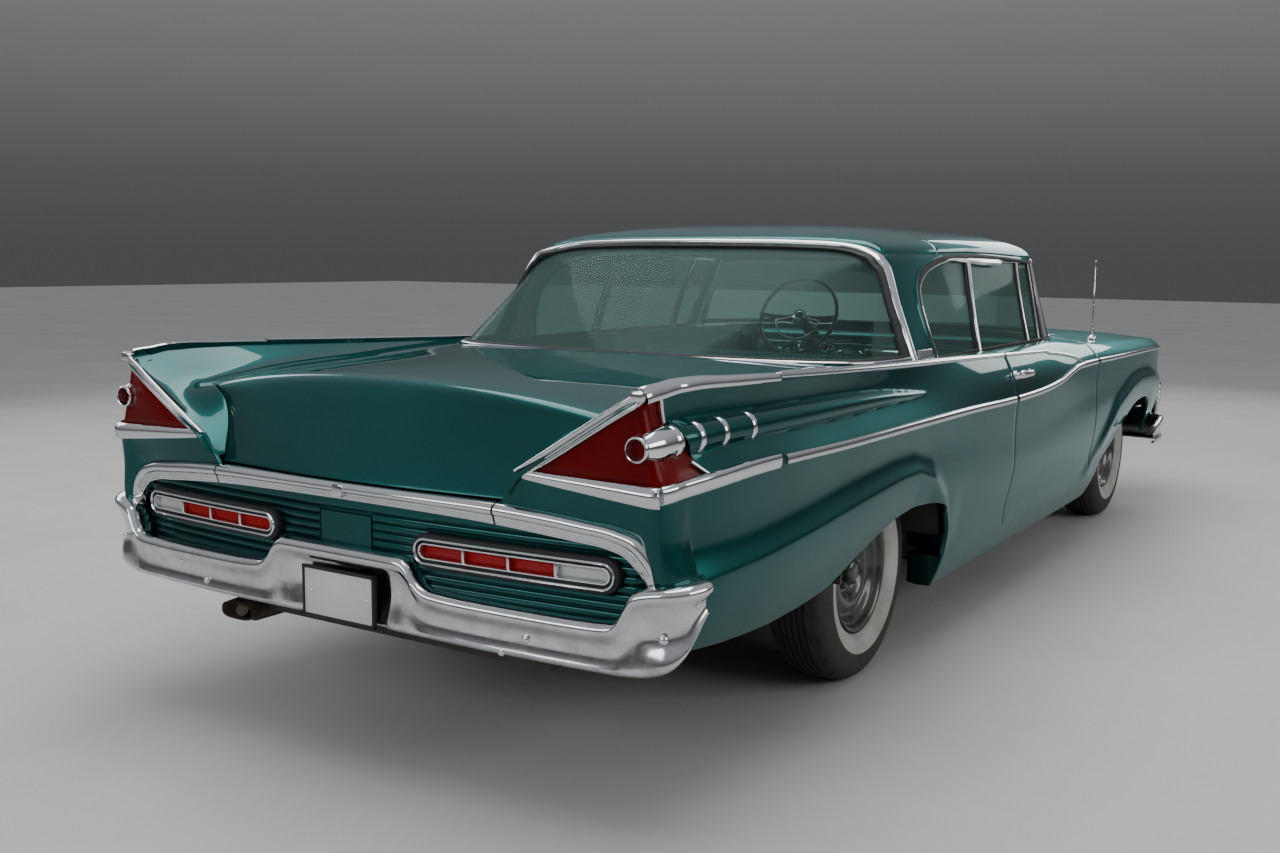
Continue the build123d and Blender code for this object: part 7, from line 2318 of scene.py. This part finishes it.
card.turned(A(812, -330, 800), (-1, 0, 0), [(0, 22), (6, 20), (8, 12), (20, 9), (22, 1)], seg=32, mat=1)
card.bar(track(np.array([(793, -330, 800), (786, -370, 790), (782, -420, 772)], float), 12), A(0, 0, 1), A(-1, 0, 0), ellipse(5.5, 3.5, 14), mat=1)
card.turned(A(812, 60, 800), (-1, 0, 0), [(0, 20), (6, 18), (8, 11), (22, 9), (24, 1)], seg=32, mat=1)
card.bar(track(np.array([(791, 60, 800), (785, 84, 770), (783, 104, 738)], float), 12), A(0, 1, 0), A(-1, 0, 0), ellipse(5, 3.5, 14), mat=1)
card.turned(A(784, 104, 738), (-1, 0, 0), [(-4, 6), (4, 8), (14, 9), (22, 8), (24, 2)], seg=24, mat=1)
card.make("door_card_left", "left_door", [TRIM_TEAL, CHROME_SMOOTH])
card.flipped().make("door_card_right", "right_door", [TRIM_TEAL, CHROME_SMOOTH])
# rear-view mirror under the windscreen's header
mir = Shape()
mir.bar(track(np.array([(0, -486, 1322), (0, -470, 1305), (0, -462, 1292)], float), 10), A(1, 0, 0), A(0, 1, 0), ellipse(4.5, 4.5, 14))
mir.bar(np.array([(0, -466, 1276), (0, -462, 1276), (0, -452, 1276), (0, -449, 1276)], float), A(1, 0, 0), A(0, 0, 1), ellipse(118, 26, 40, 3.4), scale=np.array([0.9, 0.98, 1.0, 0.97]))
mir.make("rear_view_mirror", "body", CHROME_SMOOTH, "bright_metal")


# ---- under the hood and in the trunk ---------------------------------------------------------------------------------
ENAMEL = plain_material("engine_enamel", (0.010, 0.050, 0.056), (0.018, 0.080, 0.088), (0.3, 0.55), 16.0, 0.25, 0.0008, coat=0.3, dirt=0.5, dirt_range=(0.4, 1.3), dirt_color=(0.05, 0.04, 0.028))
CAST = plain_material("cast_alloy", (0.24, 0.23, 0.21), (0.36, 0.35, 0.33), (0.45, 0.7), 20.0, 0.4, 0.0008, metallic=0.85, dirt=0.5, dirt_range=(0.4, 1.3), dirt_color=(0.06, 0.05, 0.04))
CASE_BLACK = plain_material("case_black", (0.010, 0.010, 0.011), (0.022, 0.022, 0.022), (0.35, 0.6), 18.0, 0.2, 0.0006)
eng = Shape()
for sx in (-1, 1):
    d_ = A(0.447 * sx, 0, -0.894)
    n_ = A(0.894 * sx, 0, 0.447)
    c0 = A(290 * sx, 0, 722)
    prof_v = np.concatenate([[(-66, -6)], [(66 * a, 52 * b) for a, b in [(-1.0, 0), (-0.98, 0.35), (-0.90, 0.72), (-0.72, 0.93), (-0.4, 1.0), (0.4, 1.0), (0.72, 0.93), (0.90, 0.72), (0.98, 0.35), (1.0, 0)]], [(66, -6)]])
    ss = np.array([-1722, -1718, -1708, -1690, -1150, -1132, -1122, -1118], float)
    kk = np.array([0.86, 0.95, 0.99, 1.0, 1.0, 0.99, 0.95, 0.86])
    eng.bar(np.stack([0 * ss + c0[0], ss, 0 * ss + c0[2]], 1), d_, n_, prof_v, scale=kk)
    rimp = np.array([(-72, -4), (-72, 3), (-70, 5), (70, 5), (72, 3), (72, -4)], float)
    eng.bar(np.array([(c0[0], -1728, c0[2]), (c0[0], -1112, c0[2])]), d_, n_, rimp)
    for s_ in np.linspace(-1690, -1150, 5):
        eng.turned(c0 + A(0, s_, 0) + d_ * 69, n_, [(4, 7), (10, 7), (11.5, 5), (12, 1)], seg=6, mat=1)
        eng.turned(c0 + A(0, s_, 0) - d_ * 69, n_, [(4, 7), (10, 7), (11.5, 5), (12, 1)], seg=6, mat=1)
    eng.turned(c0 + A(0, -1640 if sx > 0 else -1180, 0) + n_ * 50, n_, [(0, 19), (10, 19), (12, 23), (20, 23), (24, 20), (25, 1)], seg=32, mat=1)
    # inlet branches and exhaust manifold
    for s_ in (-1640, -1490, -1340, -1190):
        br = track(np.array([(40 * sx, s_ * 0.5 - 715, 862), (120 * sx, s_ * 0.8 - 285, 850), (215 * sx, s_, 815), (262 * sx, s_, 790)], float), 16)
        tg = unit(np.gradient(br, axis=0))
        eng.bar(br, np.cross(tg, A(0, 0, 1)), A(0, 0, 1), ellipse(24, 19, 18, 2.6), mat=2)
        st_ = track(np.array([(318 * sx, s_, 640), (350 * sx, s_, 618), (364 * sx, s_ + 10, 590)], float), 10)
        tg = unit(np.gradient(st_, axis=0))
        eng.bar(st_, A(0, 1, 0), np.cross(tg, A(0, 1, 0)), ellipse(20, 20, 16), mat=3)
    eng.bar(track(np.array([(366 * sx, -1680, 588), (370 * sx, -1500, 584), (370 * sx, -1300, 580), (366 * sx, -1120, 570)], float), 24), A(1, 0, 0), A(0, 0, 1), ellipse(27, 25, 22),
            scale=np.interp(np.linspace(0, 1, 24), [0, 0.05, 0.95, 1], [0.6, 1, 1, 0.7]), mat=3)
# carburettor and air cleaner
eng.turned(A(0, -1430, 0), (0, 0, 1), [(846, 66), (862, 66), (864, 52), (872, 50), (873, 2)], seg=48, mat=2)
ac_ = Shape()
ac_.turned(A(0, -1430, 0), (0, 0, 1), [(868, 2), (868, 70), (870, 132), (873, 158), (877, 170), (884, 173), (886, 176), (889, 173), (902, 172), (905, 175), (908, 172), (914, 168), (918, 158), (920, 140), (918.5, 120),
                                       (919, 60), (923, 30), (924, 2)], seg=128)
ac_.turned(A(0, -1430, 0), (0, 0, 1), [(922, 16), (925, 16), (927, 12), (930, 6), (931, 1)], seg=24, mat=1)
ac_.bar(track(np.array([(150, -1430, 895), (210, -1470, 893), (262, -1530, 884)], float), 14), A(0, 0, 1), A(0.6, 0.8, 0), ellipse(17, 26, 28, 3.0), scale=np.interp(np.linspace(0, 1, 14), [0, 1], [0.8, 1.0]))
ac_.make("air_cleaner", "body", [ENAMEL, CHROME_SMOOTH], "iron")
# distributor at the front, coil, pulleys and fan
eng.turned(A(70, -1700, 0), (0, 0, 1), [(838, 24), (856, 26), (858, 34), (876, 36), (884, 30), (887, 1)], seg=36, mat=4)
for i in range(8):
    a = i * math.pi / 4
    eng.turned(A(70 + 26 * math.cos(a), -1700 + 26 * math.sin(a), 0), (0, 0, 1), [(880, 5.5), (895, 5), (897, 3.6), (897.5, 0.6)], seg=12, mat=4)
eng.turned(A(-70, -1690, 866), (0, 1, 0), [(0, 24), (4, 27), (96, 27), (100, 24), (101, 9), (112, 9), (113, 1)], seg=32, mat=4)
front_ = A(0, -1, 0)
eng.turned(A(0, -1757, 600), front_, [(0, 70), (14, 70), (16, 84), (20, 86), (24, 74), (28, 86), (32, 84), (34, 60), (40, 34), (66, 32), (68, 44), (74, 44), (75, 2)], seg=72, mat=1)
eng.turned(A(0, -1757, 430), front_, [(0, 60), (12, 60), (14, 76), (18, 78), (22, 66), (26, 78), (30, 76), (32, 40), (33, 2)], seg=72, mat=1)
for i in range(4):
    a = math.radians(90 * i + 20)
    r_, t_ = A(math.cos(a), 0, math.sin(a)), A(-math.sin(a), 0, math.cos(a))
    rows = []
    for q, (rr, half_w_) in enumerate(((36, 22), (70, 34), (110, 44), (150, 48), (185, 46), (196, 36))):
        ang_ = 0.62 - 0.05 * q
        rows.append([A(0, -1829, 600) + r_ * rr + (t_ * math.cos(ang_) + front_ * math.sin(ang_)) * w_ * half_w_ for w_ in np.linspace(-1, 1, 7)])
    eng.shell(np.array(rows), 2.4, 0.7, ref=(0, -1500, 600), mat=5)
eng.make("engine_dressing", "body", [ENAMEL, STEEL, CAST, IRON, CASE_BLACK, FRAME_BLACK], "iron")

# radiator: finned core between two tanks, side straps, filler cap, upper hose
rad = Shape()
for z0, z1 in ((786, 850), (392, 436)):
    cz = 0.5 * (z0 + z1)
    xs_ = np.array([-338, -334, -326, 326, 334, 338], float)
    rad.bar(np.stack([xs_, 0 * xs_ - 2100, 0 * xs_ + cz], 1), A(0, 1, 0), A(0, 0, 1), ellipse(29, 0.5 * (z1 - z0), 28, 3.6), scale=np.array([0.86, 0.95, 1, 1, 0.95, 0.86]))
for sx in (-1, 1):
    rad.box(A(sx * 312, -2127, 425), A(sx * 338, -2073, 800), 3)
for s_face, sgn in ((-2119, -1), (-2081, 1)):
    xs_ = np.linspace(-314, 314, 201)
    rows = []
    for z in np.linspace(430, 792, 5):
        rows.append(np.stack([xs_, s_face + sgn * 2.2 * np.abs(np.sin(xs_ * math.pi / 12.5)), 0 * xs_ + z], 1))
    rad.shell(np.array(rows), 6, 0.8, ref=(0, -2100, 610), mat=1)
rad.turned(A(-120, -2100, 0), (0, 0, 1), [(846, 24), (862, 24), (864, 33), (872, 34), (875, 28), (877, 1)], seg=36, mat=2)
rad.make("radiator_core_and_tanks", "body", [FRAME_BLACK, plain_material("radiator_fins", (0.028, 0.026, 0.024), (0.06, 0.054, 0.046), (0.5, 0.8), 14.0, 0.4, 0.001, metallic=0.7, grain=900.0), STEEL], "iron")
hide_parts("radiator")
hose = Shape()
hz = track(np.array([(60, -1752, 812), (66, -1800, 838), (84, -1900, 852), (100, -2000, 848), (108, -2068, 826)], float), 40)
tg = unit(np.gradient(hz, axis=0))
hose.bar(hz, np.cross(tg, A(0, 0, 1)), np.cross(np.cross(tg, A(0, 0, 1)), tg), ellipse(21, 21, 24), scale=1 + 0.03 * np.abs(np.sin(np.arange(40) * 0.9)))
for i in (2, 37):
    hose.turned(hz[i], tg[i], [(-6, 21.4), (-6, 23.4), (6, 23.4), (6, 21.4)], seg=36, mat=1, closed=True)
hose.make("radiator_hose", "body", [RUBBER, STEEL])
# battery on the right wheel apron, heater case and master cylinder on the firewall
bat = Shape()
bat.box(A(-652, -2050, 753), A(-516, -1880, 868), 5)
bat.box(A(-656, -2054, 853), A(-512, -1876, 874), 4)
for i in range(6):
    bat.turned(A(-584, -2030 + i * 26.5, 0), (0, 0, 1), [(872, 9.5), (880, 9), (882, 6), (882.5, 1)], seg=20, mat=1)
for s_ in (-2030, -1900):
    bat.turned(A(-632, s_, 0), (0, 0, 1), [(872, 9), (886, 8), (887, 1)], seg=20, mat=2)
bat.make("battery", "body", [CASE_BLACK, RUBBER, CAST])
fw = Shape()
fw.bar(np.array([(-430, -893, 700), (-430, -905, 700), (-430, -962, 700), (-430, -976, 700), (-430, -980, 700)], float), A(1, 0, 0), A(0, 0, 1), ellipse(120, 78, 44, 5.0), scale=np.array([1, 1, 0.98, 0.93, 0.84]))
fw.turned(A(470, -893, 700), front_, [(0, 52), (8, 52), (12, 30), (34, 29), (110, 29), (114, 25), (122, 22), (126, 1)], seg=40, mat=1)
fw.turned(A(470, -955, 0), (0, 0, 1), [(724, 26), (770, 27), (772, 31), (780, 31), (783, 26), (784, 1)], seg=32, mat=1)
fw.make("heater_case_and_brake_cylinder", "body", [CASE_BLACK, IRON])
# closing strips beside the trunk floor
rows = []
for s_ in np.linspace(2032, 2896, 40):
    xo = side_x(s_, 540) - 15
    rows.append([(824, s_, 513), (832, s_, 513.4), (0.5 * (832 + xo), s_, 520), (xo - 6, s_, 538), (xo - 1, s_, 560)])
strip = Shape().shell(np.array(rows), 4, 1.0, ref=(800, 2400, 100))
strip.both()
strip.make("trunk_floor_sides", "body", UNDERCOAT)
# sheets ahead of the wheel aprons, from the frame side to the fender
rows = []
for s_ in np.linspace(-2094, -2436, 16):
    zc_ = 746 - 26 * (s_ + 2094) / -342
    xo = side_x(max(s_, -2430), 740) - 18
    rows.append([(486 + (xo - 486) * t, s_, zc_ - 2 * math.sin(math.pi * t * 3) ** 2) for t in np.linspace(0, 1, 12)])
ahead = Shape().shell(np.array(rows), 4, 1.0, ref=(700, -2200, 0))
ahead.both()
ahead.make("front_fender_aprons", "body", UNDERCOAT)
# flattened tailpipe outlet
tip = Shape()
tip_path = np.array([(466, 2846, 322), (468, 2866, 322), (471, 2890, 321), (473, 2915, 319), (474, 2938, 317), (474, 2941, 317), (474, 2940, 317), (473, 2915, 319), (471, 2880, 321)], float)
tip_scale = np.array([(0.42, 1.12), (0.46, 1.16), (0.78, 1.06), (0.97, 0.94), (1.0, 0.90), (0.985, 0.86), (0.96, 0.80), (0.93, 0.80), (0.6, 0.84)])
tip.bar(tip_path, A(1, 0, 0), A(0, 0, 1), ellipse(62, 27, 44, 3.2), scale=tip_scale)
tip.turned((462, 2848, 322), (0, 1, 0), [(-9, 27), (-9, 33), (9, 33), (9, 27)], seg=40, closed=True)
tip.make("tailpipe_outlet", "body", EXHAUST)


# ---- CAD nodes that stay, with their finishes ---------------------------------------------------------------
FINISH = {
    "chassis_frame": FRAME_BLACK, "floor_pan": UNDERCOAT, "cowl": PAINT_IN, "inner_fenders": UNDERCOAT, "radiator": FRAME_BLACK,
    "engine": IRON, "rear_axle": IRON, "leaf_springs": IRON, "driveshaft": STEEL, "fuel_tank": STEEL, "exhaust": EXHAUST,
    "front_suspension": IRON, "parcel_shelf": FELT, "left_knuckle": IRON, "right_knuckle": IRON, "steering_link": STEEL,
}
for name, node in NODES.items():
    if node.hide_render:
        continue
    m = FINISH.get(name)
    if m is None:
        m = {"glass": GLASS}.get("glass" if "window" in name or "glass" in name or name == "windscreen" else "", CHROME)
        if name in ("roof", "upper_back_panel", "quarter_panels", "hood", "trunk_lid", "rear_panel"):
            m = PAINT
    node.data.materials.clear()
    node.data.materials.append(m)


# ---- floor, lights, camera ------------------------------------------------------------------------------
floor_mesh = bpy.data.meshes.new("studio_floor")
floor_mesh.from_pydata([(-40, -40, 0), (40, -40, 0), (40, 40, 0), (-40, 40, 0)], [], [(0, 1, 2, 3)])
floor = bpy.data.objects.new("studio_floor", floor_mesh)
scene.collection.objects.link(floor)
floor_mat = plain_material("studio_floor_mat", (0.44, 0.44, 0.435), (0.50, 0.50, 0.49), (0.55, 0.7), 0.9, 0.04, 0.002, grain=60.0)
floor_mesh.materials.append(floor_mat)

world = bpy.data.worlds.new("studio_air")
scene.world = world
world.use_nodes = True
wt = world.node_tree
bg = wt.nodes["Background"]
wc = wt.nodes.new("ShaderNodeTexCoord")
ws = wt.nodes.new("ShaderNodeSeparateXYZ")
wt.links.new(wc.outputs["Generated"], ws.inputs["Vector"])
wr = wt.nodes.new("ShaderNodeValToRGB")
wt.links.new(ws.outputs["Z"], wr.inputs["Fac"])
for e, (at, c) in zip(wr.color_ramp.elements, ((0.0, 0.10), (1.0, 0.62))):
    e.position = at
    e.color = (c * 0.97, c * 0.99, c * 1.02, 1.0)
for at, c in ((0.06, 0.13), (0.22, 0.30), (0.55, 0.56)):
    e = wr.color_ramp.elements.new(at)
    e.color = (c * 0.97, c * 0.99, c * 1.02, 1.0)
wt.links.new(wr.outputs["Color"], bg.inputs["Color"])
bg.inputs["Strength"].default_value = 0.75


def area_light(name, at, look, size, energy, color=(1, 1, 1)):
    d = bpy.data.lights.new(name, "AREA")
    d.shape = "RECTANGLE"
    d.size, d.size_y = size
    d.energy = energy
    d.color = color
    o = bpy.data.objects.new(name, d)
    scene.collection.objects.link(o)
    o.location = at
    o.rotation_euler = (Vector(look) - Vector(at)).to_track_quat("-Z", "Y").to_euler()
    return o


area_light("soft_overhead", (0.4, 0.6, 5.6), (0, 0.2, 0.6), (7.5, 3.6), 330)
area_light("soft_side", (-7.5, 0.5, 3.6), (0, 0.6, 0.6), (7.0, 2.2), 190, (1.0, 0.985, 0.96))
area_light("soft_rear", (1.5, 8.5, 3.4), (0, 2.0, 0.7), (6.0, 2.0), 120, (0.96, 0.98, 1.0))
area_light("soft_left", (7.5, 0.0, 3.4), (0, 0, 0.6), (6.5, 2.0), 110)
area_light("soft_front", (-1.0, -8.5, 3.2), (0, -2.0, 0.6), (5.5, 1.8), 100)

# the camera stands where the photograph was taken
CAM_AT = A(-2397.254, 5333.565, 1324.586)
YAW, PITCH, ROLL, FOCAL = 0.568283486, 0.131525416, 0.00986747, 1299.58
cyaw, syaw, cp, sp = math.cos(YAW), math.sin(YAW), math.cos(PITCH), math.sin(PITCH)
fwd = A(syaw * cp, -cyaw * cp, -sp)
right = A(-cyaw, -syaw, 0.0)
upv = np.cross(right, fwd)
cr, sr = math.cos(ROLL), math.sin(ROLL)
r2, u2 = right * cr + upv * sr, -right * sr + upv * cr
cam_data = bpy.data.cameras.new("photo_camera")
cam = bpy.data.objects.new("photo_camera", cam_data)
scene.collection.objects.link(cam)
from mathutils import Matrix
back = -fwd
cam.matrix_world = Matrix(((r2[0], u2[0], back[0], CAM_AT[0] / 1000), (r2[1], u2[1], back[1], (CAM_AT[1] - MID) / 1000),
                           (r2[2], u2[2], back[2], CAM_AT[2] / 1000), (0, 0, 0, 1)))
cam_data.sensor_fit = "HORIZONTAL"
cam_data.sensor_width = 36.0
cam_data.lens = 36.0 * FOCAL / 1280.0
cam_data.dof.use_dof = False
scene.camera = cam
